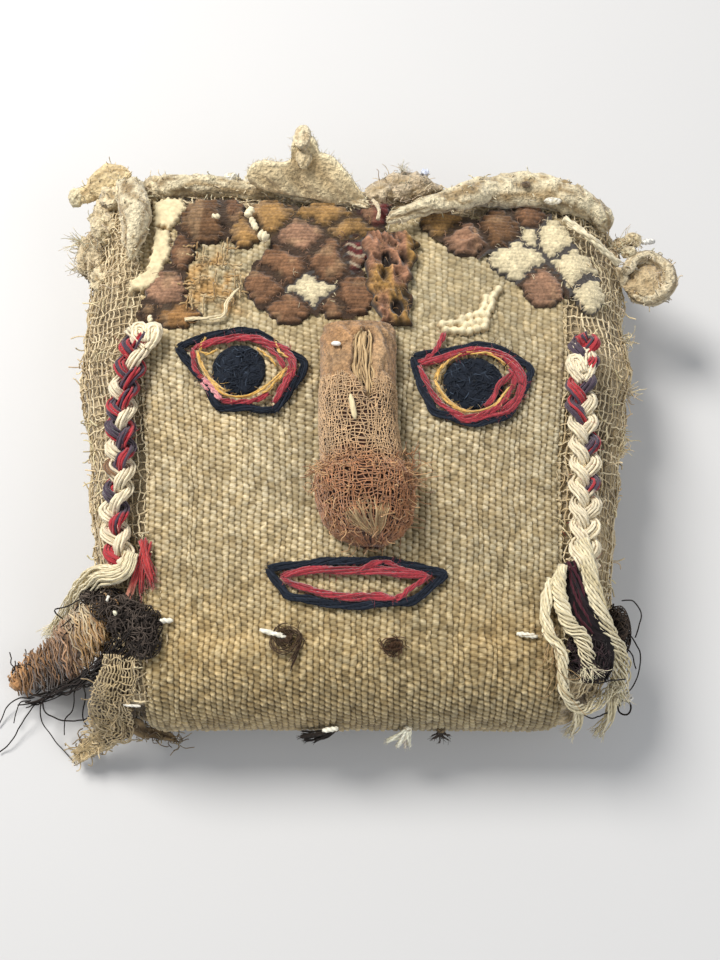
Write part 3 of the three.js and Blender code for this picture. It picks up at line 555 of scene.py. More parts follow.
def add_body():
    shape = Shape()
    for (across, lengthways, upward), faces in cube_sides(BODY_CELLS, BODY_CELLS_UP):
        point, raised = wrinkled(*body_place(across, lengthways, upward))
        point[..., 2] = np.maximum(point[..., 2], 0)
        # Painted shade in the hollows of the wrinkles, kept lighter near the floor
        depth = np.maximum(stepped(-1.3, 1.2, raised), 0.55 * stepped(26, 12, point[..., 2]))
        tone = 1 + 0.15 * noise(point, 14, 26) + 0.15 * noise(point, 2.2, 27)
        tint = mix(BODY_HOLLOW_SHADE, BODY_LIGHT, depth) * tone[..., None]
        shape.add(point, [faces], tint.reshape(-1, 3))
    material = crumpled_gauze("crinkled_gauze")
    body = shape.piece("stuffed_gauze_body", material, "gauze", "stuffed_body")
    merge_seams(body)


def edge_share(outward, plate):
    """Cube place for a distance outward from the edge of the flat plate, negative on the plate."""
    on_plate = PLATE_SHARE * (1 + np.minimum(0, outward) / plate)
    return on_plate + (1 - PLATE_SHARE) * np.clip(outward / EDGE_ARC, 0, 1)


def both_ways(distance, end):
    """Cube place for a distance either way from the middle of a side."""
    return np.sign(distance) * edge_share(np.abs(distance) - end, end)


def wrap_place(side, start, u, v, lift):
    """Point over the wrinkled body, u outward across the edge and v along it."""
    outward, lengthways = u - WRAP_OVERLAP, v + start
    upward = np.clip(2 - outward / EDGE_ARC, -1, 1)
    if side:
        inner = np.clip(lengthways, WRAP_CORNER - CHIN_REACH, TOP_REACH - WRAP_CORNER)
        plate = body_reach(side, inner) - EDGE_RADIUS
        end = np.where(lengthways > 0, TOP_REACH, CHIN_REACH) - EDGE_RADIUS
        across, along_body = side * edge_share(outward, plate), both_ways(lengthways, end)
    else:
        end = body_reach(lengthways, TOP_REACH - WRAP_CORNER) - EDGE_RADIUS
        across, along_body = both_ways(lengthways, end), edge_share(outward, TOP_REACH - EDGE_RADIUS)
    point, direction = body_place(across, along_body, upward)
    point = wrinkled(point, direction)[0]
    return point + direction * (lift + WRAP_LIFT)[..., None]


def add_loose_loops(shape, place, width, length, seed):
    """Loops of thread that stand off one side of the wrap."""
    rng = np.random.default_rng(seed)
    u = rng.uniform(4, width - 4, LOOSE_LOOPS)
    v = rng.uniform(14, length - 14, LOOSE_LOOPS)
    roots = place(u, v, np.full(LOOSE_LOOPS, 0.2))
    outward = unit(roots - stacked(roots[:, 0] * 0.6, roots[:, 1], EDGE_RADIUS))
    headings = outward * 0.6 + rng.normal(0, 0.8, roots.shape)
    lengths = rng.uniform(3, 7, LOOSE_LOOPS)
    loops = wander(roots, headings, lengths, 7, 0.75, rng, partial(clear_of_body, gap=0.3))
    tubes(shape, loops, LOOP_THREAD, vary(LOOP_TINT, LOOSE_LOOPS, 0.3, rng), sides=3)


def add_wrap():
    """Open crinkled gauze over the sides and the top of the body."""
    for name, (side, start, width, length, pitch, crimp, seed) in WRAPS.items():
        place = partial(wrap_place, side, start)
        shape = Shape()
        crinkled_net(shape, place, (width, length), pitch, WRAP_THREAD, WRAP_TINTS, seed, crimp, 0.95, 1.2)
        if side:
            add_loose_loops(shape, place, width, length, seed)
        shape.piece(name, fabric(name, sheen=0.3, mottle=0.2), "gauze", "stuffed_body")


def add_edge_tufts():
    """Small frayed tufts down the right edge."""
    shape = Shape()
    for number, (y, height, size) in enumerate(EDGE_TUFTS):
        centre = np.array((body_reach(1.0, y) - 0.4, y, height))
        half = (size, size * 1.2, size)
        add_curly_tuft(shape, centre, half, 36, 4.4, 0.18, EDGE_TUFT_TINT, 80 + number, (1.0, 0, 0.3), 0.6, 7)
    shape.piece("right_edge_tufts", fabric("edge_tufts", sheen=0.3), "gauze", "stuffed_body")


def add_corner_lumps():
    """Lumps of gauze at the upper left corner."""
    shape = Shape()
    for number, (centre, half) in enumerate(CORNER_LUMPS):
        add_mound(shape, centre, half, LUMP_TINT, 261 + number, LUMP_SHADE, 0.3)
        add_curly_tuft(shape, centre, half, 34, 5, 0.2, LUMP_THREAD_TINT, 271 + number, (0, 0, 0.4), 0.7, 7)
    shape.piece("corner_gauze_lumps", crumpled_gauze("corner_gauze"), "gauze", "stuffed_body")


def merge_seams(piece):
    """Joins the points that the sides of the cube share."""
    mesh = bmesh.new()
    mesh.from_mesh(piece.data)
    bmesh.ops.remove_doubles(mesh, verts=mesh.verts, dist=1e-6)
    bmesh.ops.recalc_face_normals(mesh, faces=mesh.faces)
    mesh.to_mesh(piece.data)
    mesh.free()


# Threads and yarns
GOLDEN_ANGLE = math.pi * (3 - math.sqrt(5))


def resample(path, count):
    """The same path with that many points, evenly spaced."""
    path = np.asarray(path, float)
    run = np.concatenate([[0], np.cumsum(np.linalg.norm(np.diff(path, axis=0), axis=1))])
    places = np.linspace(0, run[-1], count)
    return np.stack([np.interp(places, run, path[:, i]) for i in range(path.shape[1])], axis=1)


def spline(points, spacing):
    """A smooth curve through the points, with a point about every spacing."""
    points = np.asarray(points, float)
    ends = np.concatenate([2 * points[:1] - points[1:2], points, 2 * points[-1:] - points[-2:-1]])
    t = np.linspace(0, 1, 16, endpoint=False)[:, None]
    parts = []
    for a, b, c, d in zip(ends, ends[1:], ends[2:], ends[3:]):
        parts.append(
            0.5 * (2 * b + (c - a) * t + (2 * a - 5 * b + 4 * c - d) * t**2 + (3 * b - a - 3 * c + d) * t**3)
        )
    fine = np.concatenate(parts + [points[-1:]])
    length = np.sum(np.linalg.norm(np.diff(fine, axis=0), axis=1))
    return resample(fine, max(3, int(round(length / spacing)) + 1))


def bent(points, spacing, rounding=2):
    """A path of straight runs whose corners are slightly rounded."""
    points = np.asarray(points, float)
    length = np.sum(np.linalg.norm(np.diff(points, axis=0), axis=1))
    path = resample(points, max(3, int(round(length / spacing)) + 1))
    closed = np.allclose(points[0], points[-1])
    for _ in range(rounding):
        if closed:
            loop = path[:-1]
            loop = (np.roll(loop, 1, axis=0) + 2 * loop + np.roll(loop, -1, axis=0)) / 4
            path = np.concatenate([loop, loop[:1]])
        else:
            path[1:-1] = (path[:-2] + 2 * path[1:-1] + path[2:]) / 4
    return path


def frames(paths):
    """Two directions across each path that turn as little as possible along it."""
    tangent = unit(np.gradient(paths, axis=1))
    side = np.empty_like(paths)
    steep = np.abs(tangent[:, 0, 2:]) > 0.9
    side[:, 0] = unit(np.cross(tangent[:, 0], np.where(steep, (1.0, 0, 0), (0, 0, 1.0))))
    for i in range(1, paths.shape[1]):
        carried = side[:, i - 1]
        carried = carried - tangent[:, i] * np.sum(carried * tangent[:, i], axis=-1, keepdims=True)
        side[:, i] = unit(carried)
    return side, np.cross(tangent, side)


def tubes(shape, paths, radius, tint, sides=5, plies=0, pitch=2.4):
    """Round threads along paths, capped at both ends; plies gives a surface of twisted strands."""
    paths = np.asarray(paths, float)
    if paths.ndim == 2:
        paths = paths[None]
    count, steps = paths.shape[:2]
    side, other = frames(paths)
    radius = np.broadcast_to(np.asarray(radius, float), (count, steps))
    tint = np.broadcast_to(np.asarray(tint, float), (count, steps, 3))
    angle = np.arange(sides) * 2 * np.pi / sides
    size = np.broadcast_to(radius[..., None], (count, steps, sides))
    shade = np.ones_like(size)
    if plies:
        run = np.cumsum(np.linalg.norm(np.diff(paths, axis=1, prepend=paths[:, :1]), axis=-1), axis=1)
        wave = np.cos(plies * (angle - 2 * np.pi * run[..., None] / (pitch * plies)))
        size = size * (1 + 0.2 * wave)
        # Painted shade in the grooves between the twisted strands, lighter on their crests
        shade = 1 + 0.22 * wave
    around = np.cos(angle)[:, None] * side[:, :, None] + np.sin(angle)[:, None] * other[:, :, None]
    ring = paths[:, :, None] + size[..., None] * around
    index = np.arange(count * steps * sides).reshape(count, steps, sides)
    after = np.roll(index, -1, axis=2)
    walls = np.stack([index[:, :-1], after[:, :-1], after[:, 1:], index[:, 1:]], axis=-1).reshape(-1, 4)
    caps = np.concatenate([index[:, 0, ::-1], index[:, -1]])
    shape.add(ring, [walls, caps], (tint[:, :, None] * shade[..., None]).reshape(-1, 3))


def hank(path, yarns, half_width, half_thickness, turns=0.0, loose=0.15, seed=0, up=(0, 0, 1)):
    """Paths of yarns that lie side by side around a centre path, in an oval section."""
    path = np.asarray(path, float)
    tangent = unit(np.gradient(path, axis=0))
    across = unit(np.cross(tangent, np.broadcast_to(up, path.shape)))
    above = np.cross(across, tangent)
    number = np.arange(yarns)
    ring = np.sqrt((number + 0.5) / yarns)[:, None]
    share = np.linspace(0, 1, len(path))
    angle = number[:, None] * GOLDEN_ANGLE + 2 * np.pi * turns * share
    run = np.concatenate([[0], np.cumsum(np.linalg.norm(np.diff(path, axis=0), axis=1))])
    place = stacked(number[:, None] * 7.3, run / 4.0, 0.5)
    a = ring * np.cos(angle) + loose * noise(place, 1, seed + 1)
    b = ring * np.sin(angle) + loose * noise(place, 1, seed + 2)
    wide = a * np.broadcast_to(half_width, share.shape)
    thick = b * np.broadcast_to(half_thickness, share.shape)
    return path + wide[..., None] * across + thick[..., None] * above


def wander(starts, headings, length, steps, curl, rng, keep=None):
    """Paths of limp threads that curl at random away from their starts."""
    starts = np.asarray(starts, float)
    paths = np.empty((len(starts), steps, 3))
    paths[:, 0] = starts
    heading = unit(np.broadcast_to(headings, starts.shape).astype(float))
    bend = rng.normal(0, curl, heading.shape)
    step = np.broadcast_to(np.asarray(length, float), (len(starts),))[:, None] / (steps - 1)
    for i in range(1, steps):
        bend = 0.75 * bend + rng.normal(0, curl * 0.6, heading.shape)
        heading = unit(heading + bend)
        paths[:, i] = paths[:, i - 1] + heading * step
        if keep is not None:
            paths[:, i] = keep(paths[:, i])
    return paths


def crinkled_net(shape, place, size, pitch, radius, tints, seed, crimp=0.45, step=0.7, loops=0.6):
    """Loose crinkled threads in both directions over a surface given by place(u, v, lift)."""
    width, length = size
    for direction, extent, run_length in ((0, width, length), (1, length, width)):
        count = max(2, int(extent / pitch[direction]))
        steps = max(8, int(run_length / step))
        start = (np.arange(count) + 0.5)[:, None] * extent / count
        run = np.linspace(0, run_length, steps)[None, :]
        plan = stacked(start * 3.1 + 50 * direction, run, 0.5)
        sway = crimp * noise(plan, (9, 1.3, 1), seed + direction)
        sway = sway + 1.6 * crimp * noise(plan, (40, 6, 1), seed + 3)
        slip = crimp * loops * noise(plan, (7, 1.1, 1), seed + 5)
        lift = radius + 0.5 * crimp * (1 + noise(plan, (11, 1.2, 1), seed + 7 + direction))
        a, b = start + sway, run + slip
        u, v = (a, b) if direction == 0 else (b, a)
        paths = place(np.clip(u, 0, width), np.clip(v, 0, length), lift)
        rng = np.random.default_rng(seed + 9)
        shade = np.clip(rng.uniform(0, 1, (count, 1)) + 0.4 * noise(plan, (5, 7, 1), seed + 11), 0, 1)
        tubes(shape, paths, radius, mix(tints[0], tints[1], shade), sides=3)


def inside_plan(points):
    """True where a point is over or under the body, seen from above."""
    x, y = points[..., 0], points[..., 1]
    beyond_side = np.maximum(0, np.abs(x) - (body_reach(x, y) - EDGE_RADIUS))
    beyond_end = np.maximum(0, np.maximum(y - (TOP_REACH - EDGE_RADIUS), -y - (CHIN_REACH - EDGE_RADIUS)))
    return np.hypot(beyond_side, beyond_end) < EDGE_RADIUS


def clear_of_body(points, gap):
    """Lifts points out of the stuffed body and off the floor."""
    points = np.array(points, float)
    over = cloth_top(points[..., 0], points[..., 1])
    lowest = np.where(inside_plan(points), over, 0) + gap
    points[..., 2] = np.maximum(points[..., 2], lowest)
    return points


def vary(tint, count, amount, rng):
    """That many tints near one colour, lighter and darker, as a column for paths."""
    share = rng.uniform(-amount, amount, (count, 1, 1))
    hue = rng.uniform(-amount * 0.15, amount * 0.15, (count, 1, 3))
    return np.asarray(tint, float) * (1 + share + hue)


def add_fuzz(shape, points, outward, length, radius, tint, rng, curl=0.5, steps=4, spread=0.7):
    """Short loose fibres standing out of a surface."""
    outward = np.broadcast_to(outward, points.shape) + rng.normal(0, spread, points.shape)
    paths = wander(points, outward, length * rng.uniform(0.5, 1.3, len(points)), steps, curl, rng)
    thin = radius * np.linspace(1, 0.4, steps)
    tubes(shape, paths, thin, vary(tint, len(points), 0.3, rng), sides=3)


# Yarn laid on the face
YARN_RADIUS = 0.62
STEP_ALONG_YARN = 1.0
OUTLINE_LIFT = 0.9
PUPIL_DOME = 1.5
PUPIL_RINGS = 12
PUPIL_SPOKES = 48
PUPIL_STROKES = 230
PUPIL_REACH = 0.97
STROKE_WIDTHS = (0.5, 0.9, 1, 1, 0.9, 0.5)
STROKE_RADIUS = 0.22
NAVY = (0.007, 0.010, 0.017)
NAVY_LIGHT = (0.022, 0.029, 0.044)
PUPIL_FLECK = (0.07, 0.095, 0.135)
CRIMSON = (0.40, 0.040, 0.055)
CRIMSON_DARK = (0.24, 0.018, 0.026)
PINK = (0.62, 0.13, 0.17)
GOLD = (0.60, 0.34, 0.06)
GOLD_PALE = (0.74, 0.48, 0.15)
PINK_PALE = (0.72, 0.42, 0.40)
STROKE_NAVY = (0.013, 0.018, 0.028)
RED_YARN = {
    "slot": "crimson_yarn", "yarns": 4, "half_width": 0.7, "lift": 1.1,
    "tints": (CRIMSON_DARK, CRIMSON), "radius": 0.42,
}
GOLD_YARN = {
    "slot": "gold_yarn", "yarns": 2, "half_width": 0.32, "lift": 1.3,
    "tints": (GOLD, GOLD_PALE), "radius": 0.36,
}


def laid(points, lift, smooth):
    """A path over the face cloth through places in plan."""
    plan = spline(points, STEP_ALONG_YARN) if smooth else bent(points, STEP_ALONG_YARN)
    rise = lift if np.ndim(lift) == 0 else np.interp(np.linspace(0, 1, len(plan)), *np.transpose(lift))
    return on_cloth(plan[:, 0], plan[:, 1], rise)


def couch(
    shape, points, yarns, half_width, lift, tints, seed, smooth=True, thickness=0.45, radius=YARN_RADIUS,
    turns=1.5,
):
    """A line of yarns held down on the face, in several tints."""
    rng = np.random.default_rng(seed)
    path = laid(points, lift, smooth)
    paths = hank(path, yarns, half_width, thickness, turns, 0.3, seed)
    share = rng.uniform(0, 1, (yarns, 1))
    colour = mix(tints[0], tints[1], share + 0 * paths[..., 0])
    streak = 0.5 + 0.5 * noise(paths * (1, 1, 0) + np.arange(yarns)[:, None, None] * 9.0, 3.2, seed + 5)
    colour = colour * (0.8 + 0.4 * streak)[..., None]
    ends = np.minimum(1, np.minimum(np.arange(len(path)), np.arange(len(path))[::-1]) / 2.0 + 0.45)
    tubes(shape, paths, radius * ends, colour, sides=4, plies=2, pitch=2.2)
    return path


def closed(points):
    return list(points) + [points[0]]


# Lines of yarn on the face, as places in plan
LEFT_EYE_OUTLINE = [
    [-55.5, 26.1], [-45.5, 30], [-35.5, 31.2], [-30.1, 30.7], [-24.3, 26.1], [-14.8, 20.5],
    [-16.3, 16.1], [-23.8, 4.2], [-28.1, 4.3], [-33, 5.4], [-41.7, 5.2], [-45.8, 13.2],
]
RIGHT_EYE_OUTLINE = [
    [18.5, 22.3], [27.3, 23.9], [38.7, 26.4], [44.7, 26.1], [54.2, 20.2],
    [55.6, 18.4], [52.5, 11.1], [47.2, 2.7], [37.2, -0.1], [24.4, 3.6], [21.4, 10.5],
]
MOUTH_OUTLINE = [
    [-25.6, -44.8], [-13.5, -43.6], [-7.4, -42.9], [11.4, -42.9], [22.3, -45.4],
    [27.5, -46.7], [24.9, -48.8], [17.2, -55.1], [9.5, -55.1], [3.8, -55.8],
    [-1.9, -56.1], [-13.4, -54.3], [-20.1, -52.8], [-20.6, -51],
]
LEFT_EYE_RED = [
    [[-50.4, 24.7], [-48.5, 26.2], [-42.3, 28.3], [-36.7, 29.2], [-30.3, 28.8], [-26, 26.4], [-19.9, 24.4]],
    [[-48.9, 25.4], [-42.3, 27.4], [-36.4, 28.3], [-31, 28]],
    [[-50.2, 25.2], [-49.7, 20.1], [-48.1, 16.5], [-46.4, 14.6]],
    [[-33.5, 28.6], [-30.3, 27.6], [-26, 24.8], [-22.9, 21], [-21.6, 17.9]],
    [[-23, 25.4], [-20.5, 23], [-18.3, 19.5], [-19.4, 14.8], [-22.1, 10.2], [-24.6, 6.6]],
    [[-21.4, 23.4], [-19.6, 19.8], [-20.6, 14.6], [-23.6, 9.4]],
    [[-41.5, 8], [-38, 7.1], [-32.6, 7], [-28, 8.4], [-26, 9.9]],
]
LEFT_EYE_PINK = [
    [[-46.6, 15.2], [-44.1, 12.2], [-42.2, 9.6], [-40.9, 7.6]],
    [[-47, 13.4], [-44.8, 11]],
]
LEFT_EYE_GOLD = [
    [[-46.5, 29], [-47.6, 26.6], [-48, 23.8]],
    [[-48, 23.8], [-45, 23.1], [-42.2, 24.7]],
    [
        [-48.8, 24.2], [-47.4, 19.2], [-44.6, 14.4], [-41, 10.5], [-37.3, 8.9], [-32.7, 8.8],
        [-29.2, 10.3], [-25.7, 13.3], [-22.9, 16], [-20.4, 18.5],
    ],
    [[-47.6, 21], [-45.8, 17], [-42.6, 13], [-39.4, 10.4]],
    [[-28.2, 9.6], [-25.8, 10.9], [-24.6, 13.2], [-22.8, 14.5], [-21, 17.5]],
    [[-30.2, 24.8], [-26.3, 21.9], [-24.1, 18.9]],
    [[-24.6, 27.2], [-23.1, 23.8], [-19.8, 21]],
]
RIGHT_EYE_RED = [
    [
        [19.9, 20.5], [25.7, 21.7], [31.4, 23.4], [37.3, 25.1], [42, 24.9], [45.8, 23.7], [49.1, 21.8],
        [51.5, 18.7], [53.2, 14.9], [52.6, 11.1], [50.6, 7.2], [48, 4.4], [44.7, 3.1], [40.1, 2.4],
        [37.2, 1.2], [33.7, 0.8], [30.8, 2.6],
    ],
    [[20.6, 19.4], [26, 20.8], [32, 22.6], [38, 24], [43, 23.6], [47.4, 21.4], [50.2, 17.6], [51.6, 13]],
    [[20.3, 18.9], [23, 12], [25.4, 7.8], [28.8, 4.8], [32.3, 2.6], [35.8, 0.8]],
    [[21.6, 20.6], [25, 23.3], [26.9, 26.9], [28.7, 30.5]],
    [[45.8, 23.7], [49.4, 20.6], [50, 17.9], [47, 14.7], [44.3, 11.6], [43.1, 8.5], [40.2, 5.6]],
    [[47.4, 23.1], [50.7, 19.4], [52.1, 15.4], [50.9, 10], [48.6, 7], [45.1, 4.3]],
    [[48.6, 18.6], [49.8, 14.8], [48.4, 11.2], [46.8, 8.2], [43, 4.6], [38.6, 2]],
    [[28.8, 4.2], [32.6, 2.2], [36.6, 2.2], [41, 3.6], [45.6, 5.6]],
]
RIGHT_EYE_GOLD = [
    [[30.6, 21.8], [26.7, 17.8], [24.8, 14.5]],
    [[29.4, 20.6], [26.4, 16.6], [25.8, 13.6]],
    [
        [24.9, 13.9], [27.2, 9.7], [29.6, 6.7], [32.4, 4.5], [35.9, 3.8],
        [40.1, 4.3], [43.8, 6.2], [46, 9.3], [48.7, 12.4],
    ],
    [[25.6, 11.6], [28.2, 7.6], [31, 4.9], [34.6, 3.4]],
    [[30.3, 21.4], [34.3, 23.4], [37.2, 23.5], [41.9, 23.2], [45.1, 21.3], [47.2, 19.4]],
]
MOUTH_RED = [
    [
        [-21.4, -47.3], [-17.4, -46], [-12.7, -45.2], [-5.8, -45.2], [0.3, -45.4], [7, -45], [15.3, -46],
        [22.4, -47.6],
    ],
    [[-20.3, -47.3], [-12.7, -46], [-2, -46.2], [3.8, -46], [9.5, -46.6], [16.4, -47.3], [22.2, -47.5]],
    [[2, -45.6], [5.7, -44], [9.6, -43.2], [12, -44.2], [15.9, -45.8], [22, -47.2]],
    [
        [-21.2, -47.5], [-18.1, -49.5], [-12.6, -51], [-7.7, -52.4], [-2.7, -53.5], [1.9, -54.1],
        [7.6, -53.1], [11.6, -54.4],
    ],
    [[-20.4, -48.4], [-14.6, -50.9], [-9, -52.7], [-3.6, -53.2], [2.4, -53.1], [8.6, -54], [12.4, -54]],
    [[22.2, -47.5], [19, -49.5], [16.3, -51.4], [14.5, -53.1], [11.4, -54.4]],
]
OUTLINES = {"left_eye": LEFT_EYE_OUTLINE, "right_eye": RIGHT_EYE_OUTLINE, "mouth": MOUTH_OUTLINE}
RED_LINES = {"left_eye": LEFT_EYE_RED, "right_eye": RIGHT_EYE_RED, "mouth": MOUTH_RED}
GOLD_LINES = {"left_eye": LEFT_EYE_GOLD, "right_eye": RIGHT_EYE_GOLD}
LEFT_PUPIL = {"x": -35.8, "y": 18.2, "half": [8.4, 8.5]}
RIGHT_PUPIL = {"x": 37.2, "y": 13.6, "half": [9.6, 8.9]}


def add_outline(name, node, points, seed):
    shape = Shape()
    tints = (NAVY, NAVY_LIGHT)
    path = couch(
        shape, closed(points), 8, 1.15, OUTLINE_LIFT, tints, seed, smooth=False, thickness=0.3,
        radius=0.42, turns=4,
    )
    rng = np.random.default_rng(seed)
    count = len(path) * 4
    roots = path[rng.integers(0, len(path), count)] + rng.normal(0, 0.75, (count, 3)) * (1, 1, 0.2)
    add_fuzz(shape, roots, (0, 0, 0.4), 1.9, 0.09, NAVY_LIGHT, rng, spread=1.0)
    shape.piece(name, fabric(name, sheen=0.04, mottle=0.35, mottle_size=0.0008), "navy_yarn", node)


def add_laid_yarns(name, node, lines, seed, slot, yarns, half_width, lift, tints, radius, extra=()):
    """Several yarn bundles that cross over each other, with loose fibres."""
    shape = Shape()
    rng = np.random.default_rng(seed)
    for i, points in enumerate(list(lines) + list(extra)):
        shades = tints if i < len(lines) else (PINK, PINK_PALE)
        wobble = [[0, lift + 0.22 * (i % 3)], [1, lift + 0.22 * ((i + 1) % 3)]]
        path = couch(shape, points, yarns, half_width, wobble, shades, seed + i, radius=radius)
        count = len(path) * 2
        roots = path[rng.integers(0, len(path), count)] + rng.normal(0, 0.5, (count, 3)) * (1, 1, 0.3)
        along_path = unit(np.gradient(path, axis=0))[rng.integers(0, len(path), count)]
        add_fuzz(shape, roots, along_path, 2.6, 0.06, tints[1], rng, spread=0.5)
    shape.piece(name, fabric(name, sheen=0.45, mottle=0.3, mottle_size=0.0009), slot, node)


def add_pupil_disc(shape, place, seed):
    """A domed disc of felted yarn."""
    half_x, half_y = place["half"]
    spokes = np.arange(PUPIL_SPOKES) * 2 * np.pi / PUPIL_SPOKES
    share, angle = np.meshgrid(np.linspace(0.03, 1, PUPIL_RINGS), spokes, indexing="ij")
    edge = 1 + 0.035 * noise(stacked(np.cos(angle) * 4, np.sin(angle) * 4, 0), 1.3, seed)
    x = place["x"] + half_x * share * edge * np.cos(angle)
    y = place["y"] + half_y * share * edge * np.sin(angle)
    plan = stacked(x, y, 0)
    lumps = 0.3 * noise(plan, 1.5, seed + 1) + 0.16 * noise(plan, 0.7, seed + 2)
    dome = PUPIL_DOME * np.sqrt(np.maximum(0, 1.02 - share**3)) + lumps * np.minimum(1, 4 * (1 - share))
    dome[-1] = 0
    # Painted highlight: lighter navy on the raised lumps
    tint = mix(NAVY, NAVY_LIGHT, 0.55 * stepped(-0.4, 0.5, lumps))
    shape.add(on_cloth(x, y, dome), [grid_faces(PUPIL_RINGS, PUPIL_SPOKES, True)], tint)
    shape.faces.append(np.arange(PUPIL_SPOKES)[None])


def add_pupil_strokes(shape, place, rng):
    """Short dark stitches in all directions over the disc."""
    count = PUPIL_STROKES
    half = np.array(place["half"])
    centre = np.array((place["x"], place["y"]))
    radius = np.sqrt(rng.uniform(0, 0.95, count))
    turn = rng.uniform(0, 2 * np.pi, count)
    start_x = place["x"] + half[0] * radius * np.cos(turn)
    start_y = place["y"] + half[1] * radius * np.sin(turn)
    heading = rng.uniform(0, 2 * np.pi, count)
    bow = rng.uniform(-0.5, 0.5, count)
    length = rng.uniform(1.4, 3.4, count)
    paths = []
    for share in np.linspace(-0.5, 0.5, len(STROKE_WIDTHS)):
        angle = heading + bow * share
        plan_x = start_x + np.cos(angle) * length * share
        plan_y = start_y + np.sin(angle) * length * share
        reach = np.hypot((plan_x - centre[0]) / half[0], (plan_y - centre[1]) / half[1])
        shrink = np.where(reach > PUPIL_REACH, PUPIL_REACH / reach, 1)
        plan_x = centre[0] + (plan_x - centre[0]) * shrink
        plan_y = centre[1] + (plan_y - centre[1]) * shrink
        dome = np.sqrt(np.maximum(0.02, 1.02 - np.minimum(reach, PUPIL_REACH) ** 3))
        paths.append(on_cloth(plan_x, plan_y, PUPIL_DOME * dome + 0.1))
    paths = np.stack(paths, axis=1)
    shade = rng.uniform(0, 1, (count, 1)) ** 13 + 0 * paths[..., 0]
    thickness = STROKE_RADIUS * np.array(STROKE_WIDTHS)
    tubes(shape, paths, thickness, mix(STROKE_NAVY, PUPIL_FLECK, shade), sides=3)


def add_pupil(name, node, place, seed):
    shape = Shape()
    add_pupil_disc(shape, place, seed)
    add_pupil_strokes(shape, place, np.random.default_rng(seed))
    shape.piece(name, fabric(name, sheen=0.04, mottle=0.4, mottle_size=0.0006), "navy_yarn", node)


def add_eyes_and_mouth():
    for number, (part, points) in enumerate(OUTLINES.items()):
        add_outline(f"{part}_navy_line", f"{part}_outline", points, 31 + number)
    for number, (part, lines) in enumerate(RED_LINES.items()):
        extra = LEFT_EYE_PINK if part == "left_eye" else ()
        add_laid_yarns(f"{part}_red_strands", f"{part}_red_yarn", lines, 41 + number, extra=extra, **RED_YARN)
    for number, (part, lines) in enumerate(GOLD_LINES.items()):
        add_laid_yarns(f"{part}_gold_strands", f"{part}_gold_yarn", lines, 44 + number, **GOLD_YARN)
    add_pupil("left_pupil_felt", "left_eye_pupil", LEFT_PUPIL, 46)
    add_pupil("right_pupil_felt", "right_eye_pupil", RIGHT_PUPIL, 47)


# Plaits
PLAIT_PERIOD = 19.5
PLAIT_SWING = 3.1
PLAIT_RISE = 1.9
STRAND_HALF_WIDTH = 1.75
STRAND_HALF_THICKNESS = 1.3
STRAND_YARNS = 12
STRAND_STEPS = 96
STRAND_FIBRES = 90
PLAIT_YARN_RADIUS = 0.48
LEFT_PLAIT = [[31, -67.5], [10, -70.6], [-16, -69.6], [-28, -70.4], [-44, -67.6]]
RIGHT_PLAIT = [[29, 72], [10, 69.6], [-6, 69.4], [-26, 68.4], [-44, 67]]
CREAM_YARN = (0.80, 0.70, 0.50)
PURPLE = (0.075, 0.052, 0.075)
PLAIT_RED = (0.42, 0.035, 0.045)
PLAIT_BROWN = (0.22, 0.12, 0.06)
# Shares of cream, purple, red and brown yarns in a stretch of strand
SHARES = {
    "cream": (1, 0, 0, 0),
    "purple": (0, 0.85, 0.15, 0),
    "red": (0, 0.25, 0.75, 0),
    "mixed": (0, 0.5, 0.5, 0),
    "brown": (0.3, 0.3, 0, 0.4),
}
# For each strand, the place from which each mixture runs down the plait
LEFT_PLAIT_COLOURS = [
    [[40, "cream"]],
    [[40, "red"], [14, "purple"], [6, "mixed"], [-8, "brown"], [-17, "cream"]],
    [[40, "mixed"], [8, "red"], [2, "purple"], [-10, "mixed"], [-18, "purple"], [-28, "red"]],
]
RIGHT_PLAIT_COLOURS = [
    [[40, "mixed"], [18, "cream"]],
    [[40, "red"], [6, "cream"], [-14, "purple"], [-22, "cream"]],
    [[40, "purple"], [0, "mixed"], [-10, "cream"]],
]


def strand_tints(paths, table, seed):
    """Colour of each yarn of a strand, from the shares of cream, purple, red and brown down the plait."""
    colours = np.array([CREAM_YARN, PURPLE, PLAIT_RED, PLAIT_BROWN])
    y = paths[..., 1]
    chance = np.random.default_rng(seed).uniform(0, 1, (len(paths), 1)) + 0 * y
    picked = np.zeros(y.shape, int)
    for i, (start, name) in enumerate(table):
        ends = table[i + 1][0] if i + 1 < len(table) else -200
        within = (y <= start) & (y > ends)
        bounds = np.cumsum(SHARES[name])[:-1]
        picked = np.where(within, np.searchsorted(bounds, chance, side="right"), picked)
    number = np.arange(len(paths))[:, None, None]
    streak = noise(paths + number * 11.0, 2.5, seed)
    return colours[picked] * (1 + 0.16 * streak)[..., None]


def plait_strand(centre_line, strand, phase_y):
    """Path of one strand as it swings and rises over the others, and the cloth's outward direction."""
    top, bottom = centre_line[0][0], centre_line[-1][0]
    y = np.linspace(top, bottom, STRAND_STEPS)
    turn = 2 * np.pi * ((phase_y - y) / PLAIT_PERIOD - strand / 3) + 0.75 * np.pi
    x = along(centre_line, y)
    lift = 0.2 + STRAND_HALF_THICKNESS + PLAIT_RISE * (1 - np.sin(2 * turn))
    normal = cloth_normal(x, y)
    across = unit(np.cross((0.0, 1.0, 0.0), normal))
    point = on_cloth(x, y, lift) + across * (PLAIT_SWING * np.sin(turn))[:, None]
    return point, normal


